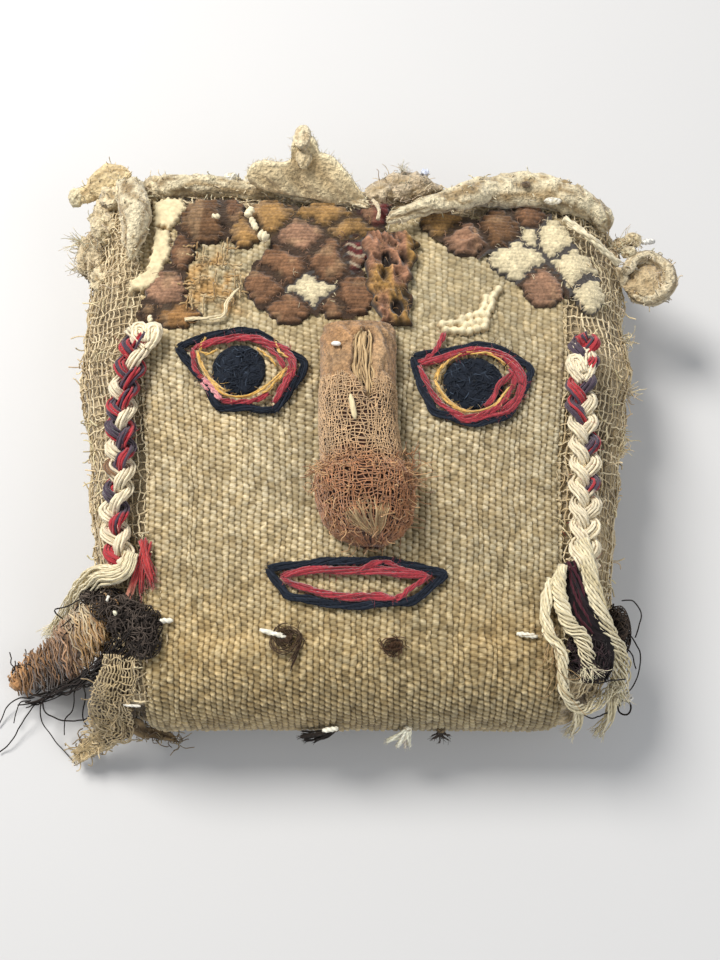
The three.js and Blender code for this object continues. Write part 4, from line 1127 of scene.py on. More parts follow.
def add_plait(side, centre_line, colours, phase_y, seed):
    names = (("cream", "cream_yarn"), ("purple", "purple_yarn"), ("red", "crimson_yarn"))
    for strand, (name, slot) in enumerate(names):
        shape = Shape()
        path, normal = plait_strand(centre_line, strand, phase_y)
        paths = hank(
            path, STRAND_YARNS, STRAND_HALF_WIDTH, STRAND_HALF_THICKNESS, 2.2, 0.22, seed + strand, normal
        )
        tints = strand_tints(paths, colours[strand], seed + strand)
        tubes(shape, paths, PLAIT_YARN_RADIUS, tints, sides=4, plies=2, pitch=1.9)
        rng = np.random.default_rng(seed + strand)
        picked = rng.integers(0, len(path), STRAND_FIBRES)
        roots = path[picked] + rng.normal(0, 1.5, (STRAND_FIBRES, 3))
        add_fuzz(shape, roots, normal[picked] * 0.4, 2.2, 0.06, tints[0, len(path) // 2], rng)
        piece = f"{side}_plait_strand_{strand + 1}"
        shape.piece(piece, fabric(piece, sheen=0.3, mottle=0.2), slot, f"{side}_braid_{name}")


def add_plaits():
    add_plait("left", LEFT_PLAIT, LEFT_PLAIT_COLOURS, 21.2, 51)
    add_plait("right", RIGHT_PLAIT, RIGHT_PLAIT_COLOURS, 6.5, 61)


# Nose
NOSE_TOP = 32.4
NOSE_END = -39
NOSE_HALF_WIDTH = [
    [-39, 1.5], [-37.8, 5], [-35.6, 9.4], [-31.6, 12.6], [-25, 14], [-20, 14],
    [-15, 12.2], [0, 11.6], [28, 12], [32.4, 11],
]
NOSE_HEIGHT = [
    [-39, 0.5], [-37.8, 3.5], [-35.6, 10], [-31.6, 15.6], [-25, 19.2], [-20, 19],
    [-15, 16.4], [0, 15], [28, 10], [32.4, 6.5],
]
NOSE_CENTRE_X = [[-39, 5.6], [-37, 4.6], [-20, 3.3], [0, 1.4], [32.4, 1.4]]
SLOT_CENTRE_X = [[3, 5], [15, 2.8], [29, 3.6]]
SLOT_HALF_WIDTH = [[1, 0], [5, 2], [13, 4.2], [25, 3.6], [31, 0]]
SLOT_DEPTH = 3.4
NOSE_ROWS = 106
NOSE_END_ROWS = 16
NOSE_COLUMNS = 72
NET_START = 7
NET_THREADS_DOWN = 50
NET_PITCH = 0.93
NET_THREAD = 0.2
CAP_START = -17
NOSE_CLOTH = (0.45, 0.27, 0.135)
NOSE_SHADE = (0.045, 0.016, 0.007)
NOSE_OPENING_SHADE = (0.045, 0.025, 0.012)
NET_TAN = (0.56, 0.37, 0.20)
NET_RED = (0.46, 0.215, 0.10)
STRAW = (0.70, 0.51, 0.27)
STRAW_DARK = (0.30, 0.19, 0.09)
CURL_DARK = (0.26, 0.10, 0.04)
CURL_LIGHT = (0.72, 0.45, 0.22)
# Crimped threads on the nose: count, places along it, turns round it, length, curl, radius, outward share
NOSE_CURLS = (
    (150, (-21, -14.5), (0.25, 2.95), 3.4, 0.7, 0.19, 0.55),
    (40, (-20.5, -11.5), (0.12, 0.5), 8, 0.45, 0.18, 0.55),
    (26, (-18.5, -14.5), (2.7, 3.0), 5, 0.5, 0.2, 0.55),
    (285, (-38.9, -20), (0.15, 2.95), 4.2, 0.7, 0.18, 0.15),
)
CURL_LIFT = 0.35
SLOT_STRAWS = 26
TIP_STRAWS = 34
TIP_STRAW_END = (6.6, -37.4)
TIP_STRAW_GAP = (0.60, 0.67)
# Short stubs on the nose: x and y of the start and end, points, lift, radius and colour
NOSE_STUBS = (
    ((-0.6, 0.7), (3.6, -4.4), 8, 1.3, 0.85, (0.74, 0.62, 0.38)),
    ((-6.2, -3.6), (22.8, 22.2), 6, 0.7, 0.75, (0.92, 0.88, 0.82)),
)


def nose_spot(y, turn, lift=0.0):
    """Point of the nose's surface; turn goes from 0 at its right side to pi at its left."""
    y, turn, lift = (np.asarray(values, float) for values in np.broadcast_arrays(y, turn, lift))
    cosine, sine = np.cos(turn), np.maximum(0, np.sin(turn))
    closing = stepped(NOSE_END - 1, NOSE_END + 3, y)
    half = along(NOSE_HALF_WIDTH, y) + lift * closing
    x = along(NOSE_CENTRE_X, y) + np.sign(cosine) * np.abs(cosine) ** 0.8 * half
    rise = sine**0.75 * (along(NOSE_HEIGHT, y) + lift * closing)
    return stacked(x, y, cloth_top(x, y) - 0.4 + rise)


def nose_outward(y, turn):
    """Outward direction of the nose, from how its surface changes along and round it."""
    step_y, step_turn = 0.3, 0.02
    lengthways = nose_spot(y + step_y, turn) - nose_spot(y - step_y, turn)
    low, high = np.clip(turn - step_turn, 0.01, 3.13), np.clip(turn + step_turn, 0.01, 3.13)
    around = nose_spot(y, low) - nose_spot(y, high)
    return unit(np.cross(around, lengthways))


def slot_depth(point):
    """How far into the torn opening of the nose a place lies, from 0 to 1."""
    x, y = point[..., 0], point[..., 1]
    ragged = 0.6 * noise(point, (2, 2, 40), 71) + 0.3 * noise(point, (0.8, 0.8, 40), 72)
    half = along(SLOT_HALF_WIDTH, y)
    return stepped(0, 1.1, half + ragged - 0.3 - np.abs(x - along(SLOT_CENTRE_X, y))) * (half > 0.3)


def nose_crease(point):
    """Narrow creases that run mostly down the nose, from 0 to 1."""
    plan = stacked(point[..., 0] + 0.15 * point[..., 1], point[..., 1] * 0.25, 0)
    broad, fine = np.abs(noise(plan, 2.2, 95)), np.abs(noise(plan, 1.3, 96))
    return stepped(0.16, 0.0, broad) + 0.7 * stepped(0.12, 0.0, fine)


def nose_relief(point, y, turn):
    """Height of folds, lumps and the rolled edge beside the opening."""
    upper = stepped(2, 9, y)
    slope = stacked(point[..., 0] + 0.7 * point[..., 1], point[..., 1] * 0.35, 0)
    folds = 0.9 * noise(slope, 2.3, 73) * stepped(16, 26, y)
    lumps = 0.35 * noise(point, 5, 74) + 0.14 * noise(point, 1.3, 75)
    roll_place = point[..., 0] - along(SLOT_CENTRE_X, y) - along(SLOT_HALF_WIDTH, y) - 1.6
    roll = 1.2 * np.exp(-((roll_place / 1.5) ** 2)) * stepped(14, 20, y) * stepped(31.5, 29, y)
    gather = 0.35 * np.cos(turn * 30 + 2 * noise(point, 6, 76)) * stepped(-26, -35, y)
    weave = 0.06 * np.cos(2 * np.pi * point[..., 0] / 0.9) * np.cos(2 * np.pi * y / 0.9) * upper
    cloth = lumps + folds + roll + weave - 0.5 * nose_crease(point)
    return cloth * upper + (0.5 * lumps + gather) * (1 - upper)


def nose_tint(point, y, relief, depth):
    """Colour of the nose cloth: brown above, dark under the net, lighter on raised folds with painted shade
    in the creases, and painted shade darkest in the sunken opening.
    """
    upper = stepped(NET_START - 4, NET_START + 3, y + 1.5 * noise(point, 3, 77))[..., None]
    # Painted shade: lighter where the folds rise, darker in the creases
    tone = 1 + 0.22 * noise(point, 6, 78) + 0.16 * noise(point, 1.1, 79) + 0.25 * relief
    tone = (tone - 0.22 * nose_crease(point))[..., None]
    faded = noise(point, 9, 80)
    cloth = np.asarray(NOSE_CLOTH) * tone * stacked(1, 1 + 0.1 * faded, 1 + 0.2 * faded)
    tint = cloth * upper + np.asarray(NOSE_SHADE) * (1 + 0.4 * tone) * (1 - upper)
    # Painted shade in the sunken opening
    return mix(tint, NOSE_OPENING_SHADE, np.clip(depth * 1.2, 0, 1))


def add_nose_core():
    body_rows = np.linspace(NOSE_TOP, -34.6, NOSE_ROWS)
    rows = np.concatenate([body_rows, np.linspace(-35, NOSE_END, NOSE_END_ROWS)])
    turn = np.linspace(0.02, math.pi - 0.02, NOSE_COLUMNS)
    y, turn = np.meshgrid(rows, turn, indexing="ij")
    point = nose_spot(y, turn)
    depth = slot_depth(point)
    relief = nose_relief(point, y, turn)
    border = np.minimum(turn, math.pi - turn)
    calm = stepped(0, 0.12, border) * stepped(NOSE_TOP, NOSE_TOP - 2, y)
    point = point + nose_outward(y, turn) * ((relief - SLOT_DEPTH * depth) * calm)[..., None]
    tint = nose_tint(point, y, relief, depth)
    shape = Shape()
    shape.add(point, [grid_faces(*y.shape)[:, ::-1], np.arange(NOSE_COLUMNS)[None]], tint.reshape(-1, 3))
    material = fabric("nose_cloth", mottle=0.45, mottle_size=0.0009, bump=1, bump_size=0.0006, depth=0.0007)
    core = shape.piece("nose_cloth_roll", material, "nose_gauze", "nose_roll")


def net_lift(point, y, seed):
    """Height of net threads over the nose: half sunk in the upper cloth, and hidden at the opening."""
    lift = 0.10 + 0.30 * stepped(NET_START + 6, NET_START - 3, y) + 0.12 * noise(point, 1.7, seed)
    lift = lift + 0.45 * stepped(CAP_START + 1, CAP_START - 3, y)
    sunk = stepped(NET_START + 4, NET_START + 9, y + 3 * noise(point, 4, 81))
    return lift - 2.5 * slot_depth(point) - 1.2 * sunk


def net_tint(point, y, seed):
    red = stepped(-10, -19, y + 2 * noise(point, 4, seed))
    tint = mix(NET_TAN, NET_RED, red)
    tone = 1 + 0.3 * noise(point, 2.2, seed + 1) + 0.18 * noise(point, 0.8, seed + 2)
    return tint * tone[..., None]


def add_net_down(shape):
    """Threads of the nose gauze that run down the nose."""
    turns = np.linspace(0.10, math.pi - 0.10, NET_THREADS_DOWN)[:, None]
    y = np.linspace(NET_START + 6, NOSE_END + 0.4, 92)[None, :] + 0 * turns
    number = np.arange(NET_THREADS_DOWN)[:, None] + 0 * y
    sway = 0.045 * noise(stacked(number * 3.7, y / 1.7, 0), 1, 82)
    sway = sway + 0.03 * noise(stacked(turns * 8, y / 5, 0), 1, 83)
    turn = turns + sway
    point = nose_spot(y, turn)
    lift = net_lift(point, y, 84) + 0.12 * np.cos(np.pi * (y / NET_PITCH + number))
    tubes(shape, nose_spot(y, turn, lift), NET_THREAD, net_tint(point, y, 85), sides=3)


def add_net_across(shape):
    """Threads of the nose gauze that run across it, over and under the others."""
    across = int((NET_START + 6 - NOSE_END - 2) / NET_PITCH)
    rows = (NET_START + 5 - np.arange(across) * NET_PITCH)[:, None]
    turn = np.linspace(0.06, math.pi - 0.06, 60)[None, :] + 0 * rows
    number = np.arange(across)[:, None] + 0 * turn
    sag = 0.35 * noise(stacked(turn * 4, rows / 2, 0), 1, 86)
    sag = sag + 0.7 * noise(stacked(turn * 9, number * 5.1, 0), 1, 87)
    y = rows + sag
    point = nose_spot(y, turn)
    weave = -0.12 * np.cos(np.pi * (number + turn * NET_THREADS_DOWN / math.pi))
    lift = net_lift(point, y, 84) + weave
    tubes(shape, nose_spot(y, turn, lift), NET_THREAD, net_tint(point, y, 88), sides=3)


def add_nose_net():
    """Open gauze over the lower nose, with its frayed rim."""
    shape = Shape()
    add_net_down(shape)
    add_net_across(shape)
    add_nose_curls(shape)
    shape.piece("nose_open_gauze", fabric("nose_net", sheen=0.3, mottle=0.25), "nose_gauze")


def nose_turn(x, y, limit=0.99):
    """Turn round the nose at which its surface lies over a place in plan."""
    cosine = np.clip((x - along(NOSE_CENTRE_X, y)) / along(NOSE_HALF_WIDTH, y), -limit, limit)
    return np.arccos(np.sign(cosine) * np.abs(cosine) ** 1.25)


def off_nose(points):
    """Lifts points out of the nose."""
    x, y, z = points.T
    beside = np.abs(x - along(NOSE_CENTRE_X, y)) >= along(NOSE_HALF_WIDTH, y)
    surface = nose_spot(np.clip(y, NOSE_END, NOSE_TOP), nose_turn(x, y, 1), CURL_LIFT)
    return stacked(x, y, np.where(beside, z, np.maximum(z, surface[:, 2])))


def add_nose_curls(shape):
    """Frayed rim of the gauze cap, tufts at its sides and crimped threads over its tip."""
    rng = np.random.default_rng(90)
    steps = 8
    for count, places, turns, length, curl, radius, outward_share in NOSE_CURLS:
        y = rng.uniform(*places, count)
        turn = rng.uniform(*turns, count)
        roots = nose_spot(y, turn, 0.7)
        headings = nose_outward(y, turn) * outward_share + rng.normal(0, 0.6, roots.shape)
        lengths = length * rng.uniform(0.5, 1.4, count)
        paths = wander(roots, headings, lengths, steps, curl, rng, off_nose)
        shade = rng.uniform(0, 1, (count, 1)) + 0 * paths[..., 0]
        tubes(shape, paths, radius * np.linspace(1, 0.7, steps), mix(CURL_DARK, CURL_LIGHT, shade), sides=3)


def add_slot_straws(shape, rng):
    """Straw strands in the torn opening."""
    steps = 26
    for number in range(SLOT_STRAWS):
        share = number / (SLOT_STRAWS - 1)
        y = np.linspace(30.2 - rng.uniform(0, 5), 4 + rng.uniform(0, 8), steps)
        centre, half = along(SLOT_CENTRE_X, y), along(SLOT_HALF_WIDTH, y) + 0.3
        x = centre + half * (share * 1.8 - 1.0) + 0.8 * noise(stacked(y / 6, number * 4, 0), 1, 92)
        lift = -2.3 + 1.5 * rng.uniform(0, 1) + 0.5 * noise(stacked(y / 4, number * 6, 0), 1, 93)
        tint = mix(STRAW_DARK, STRAW, rng.uniform(0.2, 1) * np.ones(steps))
        path = nose_spot(y, nose_turn(x, y), lift)
        tubes(shape, path, 0.36 * np.linspace(1, 0.8, steps), tint, sides=4)


def add_tip_straws(shape, rng):
    """Straw strands that fan out from the tip, with a gap among them."""
    end_x, end_y = TIP_STRAW_END
    run = np.linspace(0, 1, 20)
    for number in range(TIP_STRAWS):
        share = number / (TIP_STRAWS - 1)
        if TIP_STRAW_GAP[0] < share < TIP_STRAW_GAP[1]:
            continue
        start_x = -2.5 + 12.5 * share
        y = np.linspace(-27 - 5 * abs(share - 0.55) - rng.uniform(0, 2.5), end_y, len(run))
        x = start_x + (end_x - start_x) * run**1.6 + 0.25 * np.sin(run * 9 + number)
        lift = 0.75 + 0.5 * rng.uniform(0, 1) * np.sin(np.pi * run)
        tint = mix(STRAW_DARK, STRAW, rng.uniform(0, 1) * np.ones(len(run)))
        radius = 0.26 * np.sin(np.pi * (0.1 + 0.8 * run))
        tubes(shape, nose_spot(y, nose_turn(x, y), lift), radius, tint, sides=4)


def add_nose_straw():
    """Straw strands in the opening and fanned at the tip, with two short stubs."""
    shape = Shape()
    rng = np.random.default_rng(91)
    add_slot_straws(shape, rng)
    add_tip_straws(shape, rng)
    for ends_x, ends_y, steps, lift, radius, colour in NOSE_STUBS:
        x, y = np.linspace(*ends_x, steps), np.linspace(*ends_y, steps)
        rounded = np.sqrt(np.maximum(0.05, 1 - np.linspace(-0.95, 0.95, steps) ** 4))
        tubes(shape, nose_spot(y, nose_turn(x, y), lift), radius * rounded, colour, sides=8)
    material = fabric("straw", sheen=0.2, mottle=0.25, stretch=(3, 0.6, 3))
    shape.piece("nose_straw_strands", material, "nose_gauze")


def add_nose():
    add_nose_core()
    add_nose_net()
    add_nose_straw()


# Forehead tapestry
TAPESTRY_GRID = 0.45
TAPESTRY_THICKNESS = 1.05
LOBE_PITCH = 1.85
WEFT_PITCH = 1.25
RIB_PITCH = 1.15
GROUND_REACH = 2.2
LOOSE_WEFTS = 10
FADED_TINT = (0.40, 0.26, 0.14)
GROUND_WEFT_AND_SHADOW = (0.02, 0.012, 0.007)
STRIPE_TINT = (0.34, 0.27, 0.19)
STRIPE_PITCH = 3.4
CRUMPLE_PLACE = (36.4, 65.3)
CRUMPLE_HALF = (7, 5.8)
TAPESTRY_COLOURS = {
    "gold": (0.36, 0.205, 0.07),
    "brown": (0.235, 0.118, 0.058),
    "dark": (0.165, 0.085, 0.038),
    "pink": (0.36, 0.20, 0.12),
    "cream": (0.78, 0.67, 0.43),
    "wine": (0.13, 0.022, 0.02),
    "ochre": (0.34, 0.175, 0.06),
    "tan": (0.30, 0.19, 0.085),
}
# Each lozenge: centre x and y, half width and height, colour, and how square its outline is
LEFT_LOZENGES = [
    [-28, 74.5, 8, 6.5, "gold", 1.6], [-35.5, 68, 5.5, 5.5, "gold", 1.5], [-10, 75, 9, 4.5, "gold", 1.6],
    [-1, 68.8, 7.5, 4.5, "gold", 1.5], [-16.8, 66, 8, 7.2, "pink", 2], [-22.6, 56, 8, 7.2, "brown", 1.8],
    [-8.6, 57, 7.4, 8, "brown", 1.9], [-28.6, 48.4, 6.8, 6.8, "brown", 1.6],
    [-13.5, 46.6, 8.4, 7, "cream", 0.85],
    [-20.7, 39.4, 6.8, 4.8, "brown", 1.6], [0.2, 60.6, 5.2, 7, "wine", 1.5],
    [0.4, 44.2, 7, 6.4, "brown", 1.8],
    [-6, 39.8, 4.4, 3.2, "brown", 1.5], [7, 76, 5, 5.5, "wine", 1.6],
]
CORNER_LOZENGES = [
    [-48.6, 73, 8.6, 8.4, "dark", 2], [-56, 60.5, 3.8, 6.4, "brown", 1.6],
    [-60.4, 46.6, 6.4, 6.8, "pink", 1.9],
    [-57, 37.6, 8, 4, "ochre", 1.5], [-64.4, 39.6, 3.2, 3.2, "dark", 1.6],
    [-40.5, 75, 4.5, 6.5, "brown", 1.8],
]
RIGHT_LOZENGES = [
    [28.6, 71.4, 7, 4.9, "gold", 1.7], [47.4, 69.4, 6.8, 6.9, "dark", 1.7],
    [57.8, 75.4, 5, 4.4, "brown", 1.6],
    [65.6, 65.8, 5.8, 7, "cream", 1.5], [53.2, 57.6, 9.8, 6.8, "cream", 1.45],
    [71, 55.2, 8.4, 7, "cream", 1.35],
    [61.2, 48.6, 6.8, 7, "pink", 1.9], [76, 47, 5.4, 6.8, "cream", 1.5], [57.6, 66, 3, 3.4, "cream", 1.9],
    [36.4, 65.3, 7, 5.8, "pink", 1.8],
]


BARE_X = (-55, -36)
BARE_Y = (40, 63)
BARE_OCHRE = (0.34, 0.19, 0.065)
BARE_CREAM = (0.52, 0.40, 0.22)
WORN_YARN = [
    [-53.4, 35.2], [-49.6, 35.9], [-47.2, 35.6], [-41.8, 36.2],
    [-40.6, 38.4], [-40.4, 40.8], [-38.6, 44.4], [-36.6, 46],
]
WORN_YARN_TINT = (0.80, 0.68, 0.44)
# Stubs of cord among the fragments: start, end and radius
WORN_STUBS = (
    ((-46.4, 72.4, 48.8), (-43.6, 72.2, 49), 0.8),
    ((-35.2, 72, 49.2), (-33, 75.4, 48.8), 1.2),
    ((-33.6, 71.4, 49.6), (-31.4, 66.6, 50), 1.0),
    ((-30.6, 65.4, 50.2), (-27.8, 63, 50.4), 1.6),
    ((-64.4, 36.4, 49.6), (-64, 33.6, 49.8), 0.8),
)
WORN_STUB_TINT = (0.84, 0.74, 0.50)


def lozenge_gap(x, y, number, lozenge):
    """Distance from the edge of one lozenge of stepped rows with round ends, negative inside."""
    centre_x, centre_y, half_x, half_y, colour, power = lozenge
    across, upward = x - centre_x, y - centre_y
    rows = max(1, round(half_y / LOBE_PITCH - 0.5))
    pitch = half_y / (rows + 0.5)
    round_end = 0.58 * pitch
    size = ((np.abs(across) / half_x) ** power + (np.abs(upward) / half_y) ** power) ** (1 / power)
    gap = (size - 0.86) * 0.6 * min(half_x, half_y)
    for row in range(-rows, rows + 1):
        chance = float(lattice_value(np.array([number, row, 5]), 103))
        reach = half_x * (1 - (abs(row) / (rows + 0.65)) ** power) ** (1 / power) * (1 + 0.07 * chance)
        beyond = np.maximum(0, np.abs(across - 0.35 * chance) - max(0.0, reach - round_end))
        gap = np.minimum(gap, np.hypot(beyond, upward - row * pitch) - round_end)
    rough = 0.12 if colour == "cream" else 0.3
    return gap + rough * noise(stacked(x, y, number * 3), 1.5, 101)


def plan_grid(low, high, pitch):
    """Places in plan on a grid between two corners."""
    y, x = np.meshgrid(np.arange(low[1], high[1], pitch), np.arange(low[0], high[0], pitch), indexing="ij")
    return x, y


def kept_faces(keep):
    """Quads of a grid whose four corners are kept, with the points that they use."""
    whole = keep[:-1, :-1] & keep[:-1, 1:] & keep[1:, 1:] & keep[1:, :-1]
    used, faces = np.unique(grid_faces(*keep.shape)[whole.ravel()], return_inverse=True)
    return used, faces.reshape(-1, 4), whole.sum()


class Weave:
    """The ribs and swells of a tapestry fragment over places in plan."""

    def __init__(self, x, y, owner, seed):
        self.plan = stacked(x, y, seed)
        self.row = np.round(y / WEFT_PITCH)
        self.rib_place = x / RIB_PITCH + 0.5 * np.mod(self.row, 2)
        self.rib = np.cos(2 * np.pi * self.rib_place)
        self.weft = np.cos(2 * np.pi * y / WEFT_PITCH)
        own = self.plan + owner[..., None] * (0, 0, 7.0)
        self.swell = 0.5 * noise(own, 5, seed + 1) + 0.3 * noise(self.plan, 1.7, seed + 2)
        self.seed = seed

    def lift(self, gap, ground):
        """Height over the face cloth, from the distance to a lozenge's edge."""
        pillow = np.sqrt(np.clip(-gap / 1.3, 0, 1))
        weave = (0.16 * self.weft + 0.08 * self.rib) * (1 + 0.8 * noise(self.plan, 3, self.seed + 5))
        lift = 0.25 + (TAPESTRY_THICKNESS + self.swell) * pillow + weave * pillow
        return np.where(gap > 0, np.where(ground, 0.28, 0.28 - 1.6 * stepped(0, 0.7, gap)), lift), pillow

    def tint(self, base, pale, gap):
        """Colour of the yarns: each cell of its own tone, with painted shade in the weft's grooves, toward
        each lozenge's rounded edge and in the hollows of its swell, faded in places.
        """
        cell = stacked(np.round(self.rib_place), self.row, 0).astype(np.int64)
        # Lighter on the weft's crests and darker in its grooves: painted shade
        grain = 0.2 * lattice_value(cell, self.seed + 3) + 0.2 * self.weft + 0.08 * self.rib
        grain = grain + 0.22 * noise(self.plan, 3.2, self.seed + 4)
        tone = 1 + grain * (1 - 0.5 * pale)
        # Painted shade toward the rounded edge and in the hollows of the swell
        tone = tone * (0.5 + 0.5 * np.maximum(0.65 * pale, stepped(0.0, 1.1, -gap)))
        tone = tone * (0.7 + 0.3 * np.maximum(0.65 * pale, stepped(-0.6, 0.5, self.swell)))
        faded = 0.5 * stepped(0.1, 0.6, noise(self.plan, 4, self.seed + 6)) * ~pale
        return mix_each(base, np.array(FADED_TINT), faded) * tone[..., None]


def add_tapestry(name, node, lozenges, seed, extra_relief=None):
    """A thin woven fragment: rounded lozenges, finely ribbed, with dark ground between them, partly dark
    contour weft and partly painted shadow.
    """
    centres = np.array([lozenge[:2] for lozenge in lozenges], float)
    halves = np.array([lozenge[2:4] for lozenge in lozenges], float)
    low, high = (centres - halves).min(axis=0) - 2, (centres + halves).max(axis=0) + 2
    x, y = plan_grid(low, high, TAPESTRY_GRID)
    gaps = np.array([lozenge_gap(x, y, number, lozenge) for number, lozenge in enumerate(lozenges)])
    nearest, second = np.sort(gaps, axis=0)[:2]
    gap = np.maximum(nearest, 0.5 * (nearest - second) + 0.5)
    owner = np.argmin(gaps, axis=0)
    ground = second < GROUND_REACH
    weave = Weave(x, y, owner, seed)
    lift, pillow = weave.lift(gap, ground)
    if extra_relief:
        lift = lift + extra_relief(x, y) * pillow
    palette = np.array([TAPESTRY_COLOURS[lozenge[4]] for lozenge in lozenges])
    pale = (palette.max(axis=1) > 0.6)[owner]
    base = weave.tint(palette[owner], pale, gap)
    base = np.where((owner == index_of(lozenges, "wine"))[..., None], striped(x, y, base), base)
    # Dark ground and rim: partly dark contour weft, partly painted shadow between the pieces
    tint = np.where((gap > 0)[..., None], np.minimum(base * 0.25, 0.045) + np.array(GROUND_WEFT_AND_SHADOW), base)
    used, faces, cells = kept_faces((gap < 0.75) | ((gap < 2.0) & ground))
    shape = Shape()
    shape.add(on_cloth(x, y, lift).reshape(-1, 3)[used], [faces], tint.reshape(-1, 3)[used])
    add_tapestry_threads(shape, lozenges, seed)
    material = fabric(
        name, sheen=0.3, mottle=0.32, mottle_size=0.001, bump=0.8, bump_size=0.0007, depth=0.0006
    )
    made = shape.piece(name, material, "tapestry", node)


def index_of(lozenges, name):
    """Number of the first lozenge of that colour, or -1."""
    return next((number for number, lozenge in enumerate(lozenges) if lozenge[4] == name), -1)


def striped(x, y, base):
    """Wavy grey and wine stripes of one dark fragment."""
    wave = np.sin(2 * np.pi * (y + 0.9 * np.sin(x * 0.9)) / STRIPE_PITCH)
    return np.where((wave > 0.55)[..., None], np.array(STRIPE_TINT), base)


def add_tapestry_threads(shape, lozenges, seed):
    """Loose wefts that stand off the edges of a fragment."""
    rng = np.random.default_rng(seed)
    for centre_x, centre_y, half_x, half_y, colour, _ in lozenges:
        turn = rng.uniform(0, 2 * np.pi, LOOSE_WEFTS)
        x = centre_x + half_x * 0.9 * np.cos(turn)
        y = centre_y + half_y * 0.9 * np.sin(turn)
        headings = stacked(np.cos(turn), np.sin(turn), 0.3)
        paths = wander(on_cloth(x, y, 0.9), headings, rng.uniform(1, 3, LOOSE_WEFTS), 5, 0.4, rng)
        tubes(shape, paths, 0.10, vary(TAPESTRY_COLOURS[colour], LOOSE_WEFTS, 0.3, rng), sides=3)


def crumpled(x, y):
    """Raised crumples of the pinkish fragment beside the gold one."""
    plan = stacked(x, y, 0)
    off_x, off_y = (x - CRUMPLE_PLACE[0]) / CRUMPLE_HALF[0], (y - CRUMPLE_PLACE[1]) / CRUMPLE_HALF[1]
    near = stepped(1.2, 0.7, np.hypot(off_x, off_y))
    return near * (1.1 + 1.3 * noise(plan, 2.8, 115) + 0.6 * noise(plan, 1.5, 116))


def add_bare_threads(shape, count=40, steps=9):
    """Short threads that lie along and across the bare cloth."""
    rng = np.random.default_rng(117)
    upright = rng.uniform(0, 1, (count, 1)) < 0.5
    x = rng.uniform(*BARE_X, (count, 1))
    y = rng.uniform(*BARE_Y, (count, 1))
    run = np.linspace(-0.5, 0.5, steps)[None] * rng.uniform(2.5, 7, (count, 1))
    x, y = np.where(upright, x + 0 * run, x + run), np.where(upright, y + run, y + 0 * run)
    bend = noise(stacked(x + 9.0 * np.arange(count)[:, None], y, 0), 2.2, 118)
    paths = on_cloth(x + 0.5 * bend * upright, y + 0.5 * bend * ~upright, 1.0 + 0.5 * np.cos(run * 3))
    share = rng.uniform(0, 1, (count, 1)) + 0 * x
    tubes(shape, paths, 0.34, mix(BARE_OCHRE, BARE_CREAM, share), sides=3)


def add_worn_threads():
    """Ochre and cream threads left on the bare cloth where the tapestry has worn away."""
    shape = Shape()
    add_bare_threads(shape)
    yarn = np.array(WORN_YARN)
    path = spline(stacked(*yarn.T, 0), 0.9)
    path = on_cloth(path[:, 0], path[:, 1], 1.3)
    tubes(shape, hank(path, 3, 0.5, 0.4, 1.5, 0.3, 119), 0.36, WORN_YARN_TINT, sides=4, plies=2)
    for start, end, radius in WORN_STUBS:
        add_stub(shape, start, end, radius, WORN_STUB_TINT)
    shape.piece(
        "worn_tapestry_threads", fabric("worn_threads", sheen=0.3), "tapestry", "forehead_textile_corner"
    )


def add_forehead():
    add_tapestry("forehead_lozenges_left", "forehead_textile_left", LEFT_LOZENGES, 111)
    add_tapestry("forehead_lozenges_corner", "forehead_textile_corner", CORNER_LOZENGES, 112)
    add_tapestry("forehead_lozenges_right", "forehead_textile_right", RIGHT_LOZENGES, 113, crumpled)
    add_worn_threads()


# Cream scraps, lobed strip and gathered scrap on the forehead
CREAM_CLOTH = (0.71, 0.60, 0.37)
CREAM_SHADE = (0.42, 0.30, 0.15)
STRIP_CREAM = (0.86, 0.76, 0.50)
UPPER_SCRAP = [[-66, 80], [-62, 82], [-57.4, 81], [-55.8, 77], [-58.4, 73], [-60.5, 69.8], [-65.5, 71.5]]
LOWER_SCRAP = [
    [-65, 69.4], [-60.4, 67.6], [-60, 60], [-62.2, 55], [-62.6, 50.6],
    [-66, 47.6], [-71.6, 47], [-72.6, 50], [-66.8, 54], [-65.4, 61],
]
SCRAP_LOBES = 17
SCRAP_LOBE_RADIUS = 0.75
STRIP_BLOCK = [[34.4, 36.2], [41, 38.2], [42.2, 33.8], [36.6, 31.8]]
STRIP_ARMS = (
    [[28, 34.1], [33.8, 34.9]], [[29.2, 32], [34.4, 31.9]],
    [[40.2, 38], [41.9, 41.4], [42.2, 43.8]], [[42.2, 37.6], [44, 41], [44, 43.6], [46.4, 47]],
)
STRIP_LOBE_RADIUS = 1.35
STRIP_LOBE_PITCH = 2.3
STRIP_WAIST = 0.9
STRIP_BOX = ((25, 29), (50, 50))
SCRAP_GRID = 0.44
SCRAP_WEAVE = 0.9
SCRAP_FUZZ = 40
HANGING_TOP = 67.4
HANGING_LENGTH = 34.4
HANGING_HOLE = (13.6, 38.6)
HANGING_HOLE_HALF = (1.7, 2.6)
HANGING_GOLD = (0.44, 0.25, 0.075)
HANGING_PINK = (0.42, 0.21, 0.12)
HANGING_HOLE_SHADE = (0.02, 0.012, 0.008)
HANGING_FIBRE = (0.42, 0.24, 0.10)
# Hanging scrap: y, centre x and half width
HANGING_ROWS = [
    [32.5, 13.4, 4.2], [38, 12.6, 5.4], [46, 11.4, 7], [56, 11.4, 8.4], [63, 11.8, 8.8], [69, 10.6, 6.6]
]


def line_gap(x, y, start, end):
    """Distance to a straight line between two places in plan."""
    run_x, run_y = end[0] - start[0], end[1] - start[1]
    off_x, off_y = x - start[0], y - start[1]
    share = np.clip((off_x * run_x + off_y * run_y) / (run_x**2 + run_y**2), 0, 1)
    return np.hypot(off_x - share * run_x, off_y - share * run_y)


def disc_gap(x, y, centres, radius):
    """Signed distance to the nearest of several discs, negative inside."""
    return np.min([np.hypot(x - disc_x, y - disc_y) - radius for disc_x, disc_y in centres], axis=0)


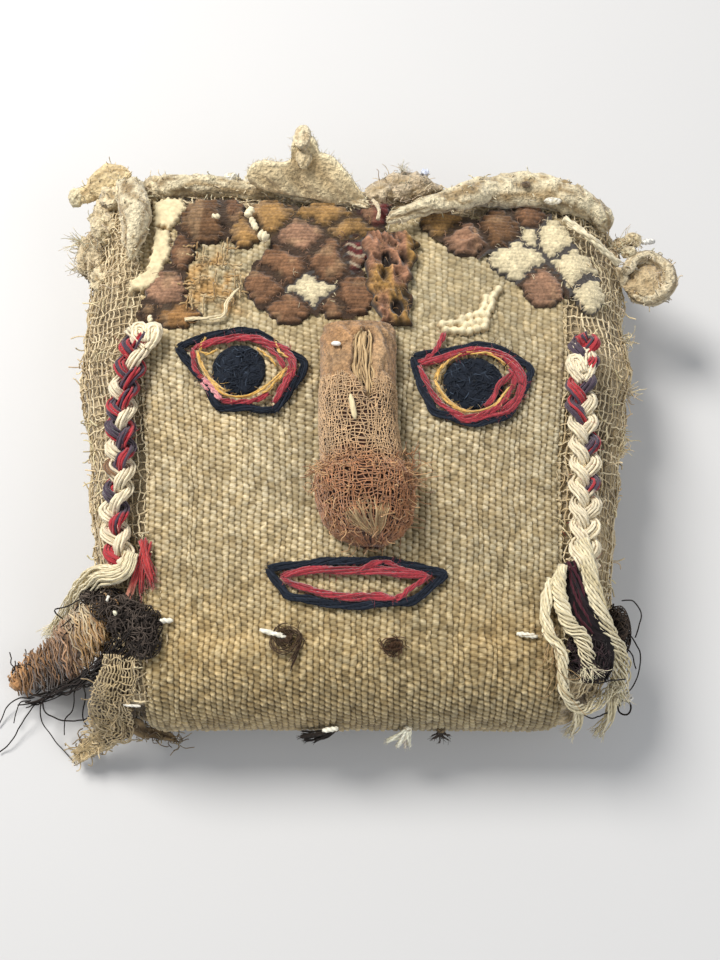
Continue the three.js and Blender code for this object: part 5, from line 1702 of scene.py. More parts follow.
def polygon_gap(x, y, corners):
    """Signed distance to a polygon's edge, negative inside."""
    nearest = np.full(x.shape, np.inf)
    inside = np.zeros(x.shape, bool)
    for start, end in zip(corners, np.roll(corners, -1, axis=0)):
        nearest = np.minimum(nearest, line_gap(x, y, start, end))
        level = (start[1] > y) != (end[1] > y)
        slant = start[0] + (y - start[1]) * (end[0] - start[0]) / ((end[1] - start[1]) or 1e-9)
        inside ^= level & (x < slant)
    return np.where(inside, -nearest, nearest)


def add_patch(shape, gap_of, low, high, thickness, colours, seed, round_edge):
    """A small flat scrap of cloth on the face, from a signed distance in plan; gives its area."""
    x, y = plan_grid(low, high, SCRAP_GRID)
    gap = gap_of(x, y)
    plan = stacked(x, y, seed)
    pillow = np.sqrt(np.clip(-gap / round_edge, 0, 1))
    weave = 0.08 * np.cos(2 * np.pi * y / SCRAP_WEAVE) + 0.08 * np.cos(2 * np.pi * x / SCRAP_WEAVE)
    lift = 0.3 + thickness * pillow + (0.3 * noise(plan, 4, seed) + weave) * pillow
    lift = lift - 1.4 * stepped(0, 0.6, gap)
    used, faces, cells = kept_faces(gap < 0.6)
    tone = 1 + 0.12 * noise(plan, 3, seed + 1) + 0.1 * noise(plan, 0.9, seed + 2)
    tint = mix(colours[1], colours[0], np.clip(pillow * 1.3, 0, 1)) * tone[..., None]
    shape.add(on_cloth(x, y, lift).reshape(-1, 3)[used], [faces], tint.reshape(-1, 3)[used])
    return cells * SCRAP_GRID**2


def add_cream_scrap(name, node, corners, seed, ends):
    """A loose cream fragment with a lobed, frayed edge."""
    corners = np.array(corners, float)
    outline = np.vstack([corners, corners[:1]])
    lobes = resample(outline, SCRAP_LOBES)

    def gap_of(x, y):
        gap = np.minimum(polygon_gap(x, y, corners), disc_gap(x, y, lobes, SCRAP_LOBE_RADIUS))
        return gap + 0.3 * noise(stacked(x, y, seed), 2, seed)

    low, high = corners.min(axis=0) - 2.5, corners.max(axis=0) + 2.5
    shape = Shape()
    cover = add_patch(shape, gap_of, low, high, 1.0, (CREAM_CLOTH, CREAM_SHADE), seed, 0.5)
    edge = resample(outline, SCRAP_FUZZ)
    roots = on_cloth(edge[:, 0], edge[:, 1], 0.9)
    add_fuzz(ends, roots, (0, 0, 0.5), 1.6, 0.08, CREAM_CLOTH, np.random.default_rng(seed))
    made = shape.piece(name, fabric(name, sheen=0.3), "tapestry_cream", node)


def strip_lobes():
    """Centres of the round lobes round the block of the strip and along its two double arms."""
    lobes = []
    for line in (STRIP_BLOCK + STRIP_BLOCK[:1], *STRIP_ARMS):
        line = np.array(line)
        length = np.linalg.norm(np.diff(line, axis=0), axis=1).sum()
        lobes.append(resample(line, int(length / STRIP_LOBE_PITCH) + 1))
    middle = np.mean(STRIP_BLOCK, axis=0)
    lobes.append([middle - (1.1, 0.3), middle + (1.1, 0.3)])
    return np.vstack(lobes)


def add_lobed_strip(ends):
    lobes = strip_lobes()

    def gap_of(x, y):
        gaps = [disc_gap(x, y, lobes, STRIP_LOBE_RADIUS)]
        for arm in STRIP_ARMS:
            gaps += [line_gap(x, y, start, end) - STRIP_WAIST for start, end in zip(arm[:-1], arm[1:])]
        return np.min(gaps, axis=0) + 0.12 * noise(stacked(x, y, 0), 1.2, 124)

    shape = Shape()
    cover = add_patch(shape, gap_of, *STRIP_BOX, 1.4, (STRIP_CREAM, CREAM_SHADE), 123, 1.2)
    rng = np.random.default_rng(123)
    centres = on_cloth(lobes[:, 0], lobes[:, 1], 1.3).repeat(2, axis=0)
    roots = centres + rng.normal(0, 0.9, centres.shape)
    add_fuzz(ends, roots, (0, 0, 0.3), 1.4, 0.08, CREAM_CLOTH, rng)
    made = shape.piece(
        "cream_lobed_strip", fabric("cream_lobes", sheen=0.3), "tapestry_cream", "stepped_strip"
    )


def hanging_relief(x, y, across, down, plan):
    """Height of the gathers over the face cloth, and how far each place lies in a worn hole."""
    ridge = 1 - np.abs(noise(plan, 4.2, 132)) * 2
    fine = 1 - np.abs(noise(plan, 1.7, 133)) * 2
    gather = 0.5 + 0.5 * np.cos(across * 7.5 + 2.2 * noise(plan, 7, 134))
    border = np.minimum(1 - np.abs(across), np.minimum(down, 1 - down) * 6)
    body = np.sqrt(np.clip(border / 0.2, 0, 1))
    lift = 0.3 + body * (1.5 + 1.0 * gather + 1.5 * ridge + 0.8 * fine)
    lift = lift + 0.16 * np.cos(2 * np.pi * across * 8) * np.cos(2 * np.pi * y / 1.3) * body
    lift = lift + 0.45 * noise(plan, 1.2, 139) * body
    hole = stepped(0.42, 0.62, noise(stacked(x, y, 9), 3.4, 135)) * stepped(0.1, 0.3, border)
    off_x, off_y = (x - HANGING_HOLE[0]) / HANGING_HOLE_HALF[0], (y - HANGING_HOLE[1]) / HANGING_HOLE_HALF[1]
    hole = np.maximum(hole, stepped(1.5, 0.8, np.hypot(off_x, off_y)))
    return np.maximum(lift - 2.2 * hole, 0.5), hole


def hanging_tint(x, y, across, plan, lift, hole):
    """Colour of the gathers: gold to pink across them, with painted shade in the folds and the holes."""
    share = stepped(-0.25, 0.3, noise(stacked(x, y * 0.5, 0), 5, 136) - 0.25 * across)
    # Painted shade: darker the lower the cloth lies in a fold
    lit_share = stepped(0.6, 4.6, lift)
    tint = mix(HANGING_GOLD, HANGING_PINK, share) * (0.06 + 0.94 * lit_share**1.3)[..., None]
    tint = tint * (1 + 0.34 * noise(plan, 1.0, 137) + 0.2 * np.cos(2 * np.pi * y / 1.1))[..., None]
    # Painted shade in the sunken worn holes
    return mix(tint, HANGING_HOLE_SHADE, hole)


def add_gathered_scrap(ends, rows=96, columns=66, fibres=120):
    """A crumpled strip of tapestry that hangs down beside the nose, with deep folds and worn holes."""
    down, across = np.meshgrid(np.linspace(0, 1, rows), np.linspace(-1, 1, columns), indexing="ij")
    y = HANGING_TOP - HANGING_LENGTH * down
    centres = [[row[0], row[1]] for row in HANGING_ROWS]
    halves = [[row[0], row[2]] for row in HANGING_ROWS]
    ragged = 1.3 * noise(stacked(np.sign(across) * 5, y, 0), (1, 2.4, 1), 131)
    x = along(centres, y) + across * (along(halves, y) + ragged * np.abs(across))
    plan = stacked(x + 0.3 * y, y * 0.75, 0)
    lift, hole = hanging_relief(x, y, across, down, plan)
    tint = hanging_tint(x, y, across, plan, lift, hole)
    point = on_cloth(x, y, lift)
    shape = Shape()
    shape.add(point, [grid_faces(rows, columns)[:, ::-1]], tint.reshape(-1, 3))
    rng = np.random.default_rng(138)
    roots = point.reshape(-1, 3)[rng.integers(0, rows * columns, fibres)]
    add_fuzz(ends, roots, (0, 0, 1), 2.4, 0.10, HANGING_FIBRE, rng, curl=0.6, steps=6)
    material = fabric("gathered_scrap", sheen=0.3, mottle=0.35)
    made = shape.piece("gathered_gold_scrap", material, "ochre_scrap", "hanging_scrap")


def add_scraps():
    ends = Shape()
    add_cream_scrap("cream_fragment_upper", "cream_scrap_upper", UPPER_SCRAP, 121, ends)
    add_cream_scrap("cream_fragment_lower", "cream_scrap_lower", LOWER_SCRAP, 122, ends)
    add_lobed_strip(ends)
    add_gathered_scrap(ends)
    ends.piece("fragment_thread_ends", fabric("fragment_ends", sheen=0.3), "tapestry_cream")


# Rolled gauze and tufts along the top
ROLL_CREAM = (0.78, 0.68, 0.46)
ROLL_SHADE = (0.34, 0.24, 0.12)
ROLL_SPACING = 0.95
ROLL_SIDES = 22
STUB_WHITE = (0.92, 0.88, 0.76)
TUFT_CREAM = (0.80, 0.70, 0.48)
TOP_ROLL_LEFT = [
    [-67, 88.2, 41.2], [-55.6, 88.9, 40.8], [-41.2, 87.9, 41.4], [-30, 85.8, 42.2], [-20, 83.2, 43.2],
    [-10, 81.2, 44.4], [-1, 79.6, 45.6], [5.4, 77, 46.6],
]
TOP_ROLL_RIGHT = [
    [10.4, 69, 50.8], [16.2, 71.6, 51.8], [24, 74.6, 52.2], [33, 77, 51.8], [39, 80.2, 49.6],
    [45, 82.6, 46.8],
    [53.3, 84.2, 45.6], [60, 83.8, 45.8], [66.8, 82, 46.2], [72.6, 80, 46.2], [80, 77.4, 43.6],
    [85, 72.2, 39.8],
]
LEFT_EDGE_ROLL = [[-80, 89, 38], [-75, 85.6, 43.4], [-72, 77, 48], [-71, 67, 49.4], [-72, 56.6, 48.4]]
# Each roll: node, route, half widths and half thicknesses along it, loops of thread, seed
TOP_ROLLS = {
    "rolled_top_edge_left": (
        "top_roll_left", TOP_ROLL_LEFT,
        [[0, 3.2], [0.2, 3.7], [0.45, 3.2], [0.62, 2], [1, 1.3]],
        [[0, 3], [0.2, 3.6], [0.45, 3], [0.62, 1.8], [1, 1.2]], 260, 141,
    ),
    "rolled_top_edge_right": (
        "top_roll_right", TOP_ROLL_RIGHT,
        [[0, 2], [0.15, 2.8], [0.35, 4.2], [0.55, 6.2], [0.8, 5], [1, 3]],
        [[0, 2], [0.2, 2.7], [0.5, 4.6], [0.75, 4.6], [1, 2.8]], 260, 142,
    ),
    "rolled_left_edge": (
        "left_edge_roll", LEFT_EDGE_ROLL,
        [[0, 3], [0.3, 4.9], [0.6, 4.9], [0.82, 3.4], [1, 1.3]],
        [[0, 3], [0.3, 4.5], [0.6, 4.4], [0.82, 3], [1, 1.2]], 170, 143,
    ),
}
# Lumps and stains on the rolls, with the values of add_mound
ROLL_LUMPS = {
    "rolled_top_edge_right": (
        ("mound", (65, 77.4, 49.8), (2.8, 1.2, 1.1), STUB_WHITE, 144, ROLL_CREAM),
        ("mound", (56.4, 83, 50.6), (1.5, 1.2, 0.6), (0.16, 0.11, 0.06), 147, (0.08, 0.05, 0.03)),
        ("mound", (68, 84, 49.4), (3.4, 1.6, 0.7), (0.42, 0.30, 0.15), 148, (0.2, 0.13, 0.06), 0.3),
    ),
    "rolled_top_edge_left": (
        ("mound", (-41.4, 90.4, 43), (2.6, 1.9, 1.8), STUB_WHITE, 145, ROLL_CREAM),
        ("mound", (-35, 89.2, 43.4), (2, 2.2, 1.8), (0.9, 0.8, 0.66), 146, ROLL_CREAM),
    ),
}
PEAK_TOP = [
    [-34, 3.2], [-35.2, 6], [-33.4, 9.4], [-29.4, 10.8], [-24, 10.2], [-20.6, 11.4], [-20.2, 16],
    [-17.6, 20.2],
    [-15.4, 19.6], [-12.3, 17.2], [-11, 13.4], [-6.8, 11.9], [-1, 5.6], [2.4, 0.6], [4.7, -2.4],
]
PEAK_BOTTOM = [[-34, 3.2], [-30, 1.6], [-25.6, 0.4], [-15, -1.4], [-5.3, -3.2], [4.7, -2.4]]
PEAK_LEAN = 0.7
PEAK_BASE = (83.4, 45)
PEAK_THICKNESS = 4.4
PEAK_STEPS = 84
PEAK_SIDES = 44
PEAK_SHADE = (0.44, 0.31, 0.15)
PEAK_LIGHT = (0.84, 0.72, 0.46)
# Two lumps below the tip of the peak: offset from it, half sizes, colour, seed, shade
PEAK_LUMPS = (
    ((0.6, -2.6, -0.6), (2.8, 4.4, 2.2), (0.86, 0.74, 0.50), 157, (0.6, 0.46, 0.27)),
    ((0.9, -7.4, -3.8), (2.6, 4.4, 1.6), (0.70, 0.57, 0.35), 158, (0.5, 0.38, 0.21)),
)
PEAK_THREAD = [[6, 78.4, 48.6], [7.6, 75.6, 50.6], [8.2, 72, 52.4], [7.8, 68.6, 53]]
PEAK_THREAD_TINT = (0.72, 0.6, 0.4)
LEFT_CORNER_TUFT = [
    [-76, 94.6, 39], [-80, 93.6, 38.6], [-84, 92, 38],
    [-89, 88.6, 37.6], [-92, 87.4, 37.2], [-95.6, 86.4, 37],
]
CORNER_TUFT_HALF = [[0, 3.2], [0.3, 6.6], [0.55, 5.6], [0.75, 2.6], [1, 2.4]]
CORNER_TUFT_THICK = [[0, 2.2], [0.5, 2.8], [1, 2]]
CORNER_TUFT_COLOURS = ((0.80, 0.64, 0.36), (0.5, 0.36, 0.18))
RIGHT_LOOP = [
    [90.1, 57.6, 36.5], [93.3, 62.5, 36.5], [98.4, 64.8, 36], [103.1, 62.6, 35.5], [105.5, 58.5, 35],
    [104.6, 53.5, 34.3], [100.4, 50.4, 33.3], [95.6, 50.8, 32.6], [91.8, 53.1, 32],
]
LOOP_HALF = [[0, 1.4], [0.3, 2.2], [0.6, 2.9], [1, 1.5]]
LOOP_THICK = [[0, 1.6], [0.4, 2.6], [0.7, 2.6], [1, 1.6]]
LOOP_COLOURS = ((0.76, 0.65, 0.44), (0.36, 0.27, 0.15))
# Darker tan sheet across the loop's hollow, its colour painted shade: centre, half sizes, colour, seed, shade
# colour and lumps
LOOP_HOLLOW_SHADE = ((97.8, 57, 33.6), (7.4, 7.2, 2.4), (0.62, 0.48, 0.28), 177, (0.34, 0.23, 0.11), 0.3)
LOOP_NECK = [[88, 61.4, 34.6], [90.2, 58.2, 34.4], [90.6, 54.4, 33]]
CORD_END = [[68.4, 71.4, 49], [73, 67.6, 48.6], [79, 63.6, 46.8], [87.4, 60, 39.8]]
# Clumps and tufts of gauze, each row with the values of add_mound, add_curly_tuft or add_stub
FRAYED_CLUMP = (
    ("mound", (-88.4, 66, 34), (4.4, 8.6, 4.4), (0.68, 0.56, 0.36), 164, ROLL_SHADE, 0.4),
    ("tuft", (-88, 66, 34.5), (4, 8, 4), 140, 4.6, 0.2, TUFT_CREAM, 165, (-0.6, 0, 0.25), 0.4),
    ("tuft", (-91, 69.5, 35), (1.6, 2.4, 1.6), 30, 6, 0.15, TUFT_CREAM, 174, (-1.8, 0.5, 0.2), 0.12),
    ("tuft", (-91, 61.5, 34), (1.6, 2.4, 1.6), 26, 5, 0.15, TUFT_CREAM, 175, (-1.8, -0.3, 0.2), 0.12),
)
CURLED_TOW = (
    ("mound", (17, 85.6, 42.6), (11.4, 6, 4.2), (0.62, 0.50, 0.34), 166, ROLL_SHADE, 0.34),
    ("mound", (9.6, 83, 44.4), (5.4, 4, 3.6), (0.66, 0.54, 0.36), 176, ROLL_SHADE, 0.3),
    ("tuft", (16, 85.6, 43.4), (11, 5.6, 4), 200, 4.2, 0.2, (0.72, 0.60, 0.43), 167, (0, 0.2, 0.3), 0.55),
    ("tuft", (16.5, 91, 45), (1.2, 1.4, 1.2), 40, 3.6, 0.14, (0.86, 0.80, 0.66), 168, (-0.2, 1, 0.5), 0.2),
    ("stub", (22.6, 92.4, 43.6), (25.2, 91.8, 43.8), 1.15, (0.72, 0.78, 0.95)),
)
CORNER_CURLS = (
    ("mound", (93.6, 70, 37.4), (2.9, 2.6, 2.6), (0.82, 0.69, 0.43), 171),
    ("mound", (92, 65.6, 37.2), (2.6, 2.2, 2.2), (0.84, 0.73, 0.48), 179),
    ("mound", (89.8, 69, 35.8), (3.2, 2.6, 2.6), (0.62, 0.48, 0.28), 180),
    ("mound", (86.4, 66, 33), (3.4, 2.8, 2.8), (0.58, 0.45, 0.27), 181),
    ("tuft", (91.4, 68, 37), (5, 3.6, 2.6), 100, 4.2, 0.15, TUFT_CREAM, 172, (0.3, 0.3, 0.3)),
    ("stub", (96, 69, 38), (101, 69.5, 37.6), 0.95, (0.86, 0.84, 0.78)),
)


def add_roll(shape, points, half, thick, seed, lumps=0.8, colours=(ROLL_CREAM, ROLL_SHADE), side=(0, 0, 1)):
    """Cloth rolled lengthways: an uneven section of folds, with creases that run along it."""
    path = spline(points, ROLL_SPACING)
    steps, sides = len(path), ROLL_SIDES
    share = np.linspace(0, 1, steps)
    tangent = unit(np.gradient(path, axis=0))
    across = unit(np.cross(tangent, np.broadcast_to(side, path.shape)))
    above = np.cross(across, tangent)
    angle = np.arange(sides) * 2 * np.pi / sides
    round_end = np.sqrt(np.clip(np.minimum(share, 1 - share) * steps / 3 + 0.02, 0, 1))
    wide = (along(half, share) * round_end)[:, None, None]
    tall = (along(thick, share) * round_end)[:, None, None]
    direction = np.cos(angle)[:, None] * across[:, None] * wide
    direction = direction + np.sin(angle)[:, None] * above[:, None] * tall
    ring = path[:, None] + direction
    outward = unit(direction)
    run = share[:, None] * steps * ROLL_SPACING + 0 * angle
    around = 3.2 * outward + (tangent * run[:, :1] / 9)[:, None]
    crease = np.abs(noise(around, 1.5, seed)) * 2
    twist = noise(stacked(run / 14, 0, seed), 1, seed + 7) * 2
    fold = np.abs(np.sin(1.5 * angle + twist + 0.5 * noise(around, 2.4, seed + 8)))
    bumps = lumps * noise(ring, 4.6, seed + 1) + 0.85 * lumps * noise(ring, 2.3, seed + 2)
    ribs = 0.06 * noise(ring, 0.9, seed + 3)
    swell = 0.55 * np.minimum(crease, 0.6) + 0.7 * lumps * (fold - 0.6) + bumps - 0.3
    ring = ring + outward * ((swell + ribs) * round_end[:, None])[..., None]
    ring = off_floor(ring, 0.15)
    tone = 1 + 0.12 * noise(ring, 7, seed + 4) + 0.1 * noise(ring, 1.2, seed + 5)
    # Painted shade in the creases, the folds and the dents of the roll
    lit_share = stepped(0.02, 0.42, crease) * stepped(0.05, 0.6, fold) * stepped(-1.3, 0.2, bumps)
    tint = mix(colours[1], colours[0], lit_share) * tone[..., None]
    index = np.arange(steps * sides).reshape(steps, sides)
    caps = np.stack([index[0, ::-1], index[-1]])
    shape.add(ring, [grid_faces(steps, sides, True)[:, ::-1], caps[:, ::-1]], tint.reshape(-1, 3))
    return ring


def add_curly_tuft(shape, centre, half, count, length, radius, tint, seed, heading, curl=0.4, steps=9):
    """A ball of crimped threads round a centre."""
    rng = np.random.default_rng(seed)
    outward = unit(rng.normal(0, 1, (count, 3)))
    roots = np.asarray(centre) + outward * rng.uniform(0.2, 1, (count, 1)) ** 0.5 * half
    headings = np.asarray(heading, float) + rng.normal(0, 0.7, roots.shape)
    lengths = length * rng.uniform(0.5, 1.4, count)
    paths = wander(roots, headings, lengths, steps, curl, rng, off_floor)
    tubes(shape, paths, radius * np.linspace(1, 0.6, steps), vary(tint, count, 0.28, rng), sides=3)


def off_floor(points, gap=0.25):
    """Lifts points off the floor."""
    points = np.array(points, float)
    points[..., 2] = np.maximum(points[..., 2], gap)
    return points


def add_mound(shape, centre, half, tint, seed, shade=ROLL_SHADE, lumps=0.18):
    """A rounded clump with an uneven surface."""
    rings, spokes = 16, 26
    ring_tilt, spoke_turn = np.linspace(0.02, math.pi - 0.02, rings), np.arange(spokes) * 2 * np.pi / spokes
    tilt, turn = np.meshgrid(ring_tilt, spoke_turn, indexing="ij")
    direction = stacked(np.sin(tilt) * np.cos(turn), np.sin(tilt) * np.sin(turn), np.cos(tilt))
    rough = noise(direction * 3, 1, seed) + 0.5 * noise(direction * 7, 1, seed + 1)
    point = np.asarray(centre) + direction * np.asarray(half) * (1 + lumps * rough)[..., None]
    point = off_floor(point, 0.15)
    colour = mix(shade, tint, stepped(-0.9, 0.5, rough)) * (1 + 0.1 * noise(point, 1, seed + 2))[..., None]
    index = np.arange(rings * spokes).reshape(rings, spokes)
    caps = np.stack([index[0], index[-1, ::-1]])
    shape.add(point, [grid_faces(rings, spokes, True)[:, ::-1], caps], colour.reshape(-1, 3))


def add_stub(shape, start, end, radius, tint):
    """A short round-ended length of cord."""
    share = np.linspace(-0.97, 0.97, 9)
    path = np.asarray(start) + (np.asarray(end) - np.asarray(start)) * ((share + 1) / 2)[:, None]
    tubes(shape, path, radius * np.sqrt(1 - share**6) ** 0.8, tint, sides=8, plies=2, pitch=1.5)


def add_parts(shape, rows):
    """Adds mounds, tufts and stubs of cord from rows of a kind and its values."""
    makers = {"mound": add_mound, "tuft": add_curly_tuft, "stub": add_stub}
    for kind, *values in rows:
        makers[kind](shape, *values)


def roll_fuzz(shape, ring, count, length, seed, tint=ROLL_CREAM, radius=0.1):
    """Crimped loops of gauze thread over a roll."""
    rng = np.random.default_rng(seed)
    rows, columns = rng.integers(1, ring.shape[0] - 1, count), rng.integers(0, ring.shape[1], count)
    centre = ring.mean(axis=1)
    roots = ring[rows, columns]
    outward = unit(roots - centre[rows])
    headings = outward * 0.1 + unit(rng.normal(0, 1, roots.shape))
    lengths = length * rng.uniform(0.4, 1.3, count)
    paths = wander(roots - outward * 0.5, headings, lengths, 7, 0.95, rng, off_floor)
    tubes(shape, paths, radius * 2, vary(tint, count, 0.25, rng), sides=3)


def add_top_rolls():
    for name, (node, route, half, thick, loops, seed) in TOP_ROLLS.items():
        shape = Shape()
        ring = add_roll(shape, route, half, thick, seed)
        roll_fuzz(shape, ring, loops, 3.0, seed + 20)
        add_parts(shape, ROLL_LUMPS.get(name, ()))
        shape.piece(name, crumpled_gauze(name), "rolled_gauze", node)


def peak_surface():
    """Points and colours of the peaked fold: rings from its lower to its upper edge and back."""
    upper = resample(spline(PEAK_TOP, 0.5), PEAK_STEPS)
    lower = resample(spline(PEAK_BOTTOM, 0.5), PEAK_STEPS)
    angle = np.arange(PEAK_SIDES) * 2 * np.pi / PEAK_SIDES
    rise = 0.5 - 0.5 * np.cos(angle)
    plane = lower[:, None] + (upper - lower)[:, None] * rise[:, None]
    across, upward = plane[..., 0], plane[..., 1]
    height = np.linalg.norm(upper[:, None] - lower[:, None], axis=-1)
    bulge = PEAK_THICKNESS / 2 * np.minimum(1, height / 9)
    front = np.sign(np.sin(angle)) * np.abs(np.sin(angle)) ** 0.6
    flat = stacked(across, upward, 0)
    crease = 1 - np.abs(noise(stacked(across + 0.9 * upward, 0.35 * upward, 0), 5, 151)) * 2
    ribs = 0.09 * np.cos(2 * np.pi * (across + 0.3 * upward) / 0.85)
    relief = 0.9 * crease + 0.5 * noise(flat, 3, 152) + 0.2 * noise(flat, 1.1, 153) + ribs
    relief = relief * np.minimum(1, height / 6)
    lip = stepped(0.8, 1.0, rise) * np.ones((PEAK_STEPS, 1))
    out = PEAK_THICKNESS / 2 + bulge * front + relief * front
    out = out + 0.9 * lip * front
    cosine, sine = math.cos(PEAK_LEAN), math.sin(PEAK_LEAN)
    y = PEAK_BASE[0] + upward * cosine - out * sine
    z = PEAK_BASE[1] + upward * sine + out * cosine
    tone = 1 + 0.14 * noise(flat, 7, 154) + 0.1 * noise(flat, 1, 155)
    # Painted shade on the folded sides and between the raised creases; lighter at the lip, the lower edge and
    # the upper peak
    light = 0.25 + 0.3 * crease + 0.6 * stepped(11, 16, upward) + 0.75 * lip + 0.35 * stepped(0.35, 0, rise)
    tint = mix(PEAK_SHADE, PEAK_LIGHT, np.clip(light, 0, 1)) * tone[..., None]
    return stacked(across, y, z), tint


def add_peak():
    """Folded cloth that stands up behind the forehead to an off-centre peak."""
    point, tint = peak_surface()
    shape = Shape()
    shape.add(point, [grid_faces(PEAK_STEPS, PEAK_SIDES, True)], tint.reshape(-1, 3))
    shape.faces.append(np.arange(PEAK_SIDES)[None, :])
    shape.faces.append(np.arange(PEAK_SIDES)[None, ::-1] + (PEAK_STEPS - 1) * PEAK_SIDES)
    rim = point[:, PEAK_SIDES // 2]
    rng = np.random.default_rng(156)
    add_fuzz(shape, rim.repeat(2, axis=0), (0, 0.8, 0.4), 1.9, 0.10, ROLL_CREAM, rng, curl=0.5, steps=6)
    tip = rim[np.argmax(rim[:, 1])]
    for offset, half, colour, seed, shade in PEAK_LUMPS:
        add_mound(shape, tip + offset, half, colour, seed, shade)
    thread = hank(spline(PEAK_THREAD, 0.7), 3, 0.45, 0.4, 0.6, 0.1, 159)
    tubes(shape, thread, 0.42, PEAK_THREAD_TINT, sides=6, plies=2)
    shape.piece("peaked_cloth_fold", crumpled_gauze("peak"), "rolled_gauze", "peaked_fold")


def add_corner_lozenge():
    """Rolled cloth that stands out at the upper left corner."""
    shape = Shape()
    ring = add_roll(
        shape, LEFT_CORNER_TUFT, CORNER_TUFT_HALF, CORNER_TUFT_THICK, 161, 0.5, CORNER_TUFT_COLOURS
    )
    roll_fuzz(shape, ring, 110, 2.6, 162, (0.82, 0.68, 0.42))
    add_mound(shape, (-94.6, 86.6, 37), (2.6, 3.4, 2.4), (0.86, 0.76, 0.50), 163)
    shape.piece("left_corner_lozenge", crumpled_gauze("corner_tuft"), "rolled_gauze", "left_corner_tuft")


def add_corner_loop():
    """Loop of rolled cloth at the upper right corner."""
    shape = Shape()
    ring = add_roll(shape, RIGHT_LOOP, LOOP_HALF, LOOP_THICK, 169, 0.45, LOOP_COLOURS)
    roll_fuzz(shape, ring, 190, 2.8, 170, (0.74, 0.64, 0.46), 0.11)
    # Sheet in the loop's hollow, painted shade
    add_mound(shape, *LOOP_HOLLOW_SHADE)
    add_roll(shape, LOOP_NECK, [[0, 2], [1, 2]], [[0, 1.8], [1, 1.8]], 178, 0.4, LOOP_COLOURS)
    shape.piece("right_corner_cloth_loop", crumpled_gauze("corner_loop"), "rolled_gauze", "right_corner_loop")


def add_tuft_piece(name, material, node, rows):
    shape = Shape()
    add_parts(shape, rows)
    shape.piece(name, crumpled_gauze(material), "rolled_gauze", node)


def add_cord_end():
    """Stiff cream cord beside the right fragment."""
    shape = Shape()
    yarns = 4
    paths = hank(spline(CORD_END, 0.7), yarns, 0.8, 0.8, 1.2, 0.1, 173)
    tint = vary(TUFT_CREAM, yarns, 0.08, np.random.default_rng(173))
    tubes(shape, paths, 0.62, tint, sides=7, plies=2, pitch=3.4)
    shape.piece("cream_cord_end", fabric("cord_end", sheen=0.3), "rolled_gauze", "cream_stick")


def add_corner_tufts():
    add_corner_lozenge()
    add_tuft_piece("left_frayed_clump", "frayed_clump", "left_frayed_tuft", FRAYED_CLUMP)
    add_tuft_piece("curled_tow", "tow", "top_tow", CURLED_TOW)
    add_corner_loop()
    add_tuft_piece("right_corner_curls", "corner_curls", "right_corner_tuft", CORNER_CURLS)
    add_cord_end()


def add_top():
    add_top_rolls()
    add_peak()
    add_corner_tufts()


# Loose ends of the plaits
TAIL_CREAM = (0.86, 0.77, 0.54)
BLACK_THREAD = (0.018, 0.013, 0.011)
TAIL_TINTS = (TAIL_CREAM, (0.66, 0.57, 0.36))
TAIL_HALF = [[0, 2], [0.15, 2.8], [0.35, 4], [0.6, 3.8], [0.8, 3], [1, 3]]
TAIL_THICK = [[0, 1.6], [0.3, 2.8], [0.6, 2.4], [1, 1.2]]
RED_START = (-61.6, -37.4)
RED_ENDS_X = (-59.4, -62, -66)
RED_ENDS_Y = (-48.4, -49.4, -53)
RED_TINT = (0.44, 0.045, 0.045)
RED_FADED = (0.58, 0.30, 0.20)
RED_FIBRE = (0.52, 0.14, 0.12)
LEFT_TAIL = [
    [-65.4, -40.6, 49.6], [-66.8, -45.4, 49.4], [-70.4, -47, 48], [-75.2, -46.6, 44.6], [-79.6, -47.6, 39.4],
    [-85, -48.8, 30], [-90, -50, 18.6], [-94, -52.6, 11], [-97, -55.4, 7],
]
FRINGE_TOP = [
    [-73, -50.6, 44], [-77.4, -52.6, 40], [-83.4, -53.6, 32], [-88.8, -54.6, 24], [-95, -60, 16],
    [-101, -62.6, 11],
    [-105.9, -66, 8], [-110, -71, 6],
]
FRINGE_BOTTOM = [
    [-70, -58, 46], [-73, -61.6, 42.4], [-76.5, -67.2, 35], [-80.6, -70.4, 27.6], [-88.8, -73, 18],
    [-95, -74.4, 12.6],
    [-104, -75, 7], [-109.6, -75, 5],
]
FRINGE_YARNS = 370
FRINGE_PLACES = 200
FRINGE_CORE = ((0.075, 0.043, 0.022), (0.02, 0.012, 0.008))
FRINGE_TIP = ((-108.6, -73, 5.6), (2.8, 2.8, 2.2), (0.60, 0.33, 0.15), 205, (0.3, 0.15, 0.06))
# Colours of the fringe's upper and lower half, from the plait to the tip
FRINGE_TONES = [
    [(0.20, 0.11, 0.05), (0.36, 0.20, 0.08)],
    [(0.62, 0.50, 0.31), (0.46, 0.28, 0.11)],
    [(0.60, 0.47, 0.30), (0.50, 0.30, 0.12)],
    [(0.48, 0.29, 0.17), (0.16, 0.085, 0.045)],
    [(0.24, 0.13, 0.06), (0.035, 0.022, 0.015)],
    [(0.34, 0.18, 0.08), (0.09, 0.055, 0.035)],
    [(0.60, 0.34, 0.15), (0.42, 0.22, 0.09)],
]
DARK_TINTS = (BLACK_THREAD, (0.13, 0.10, 0.08))
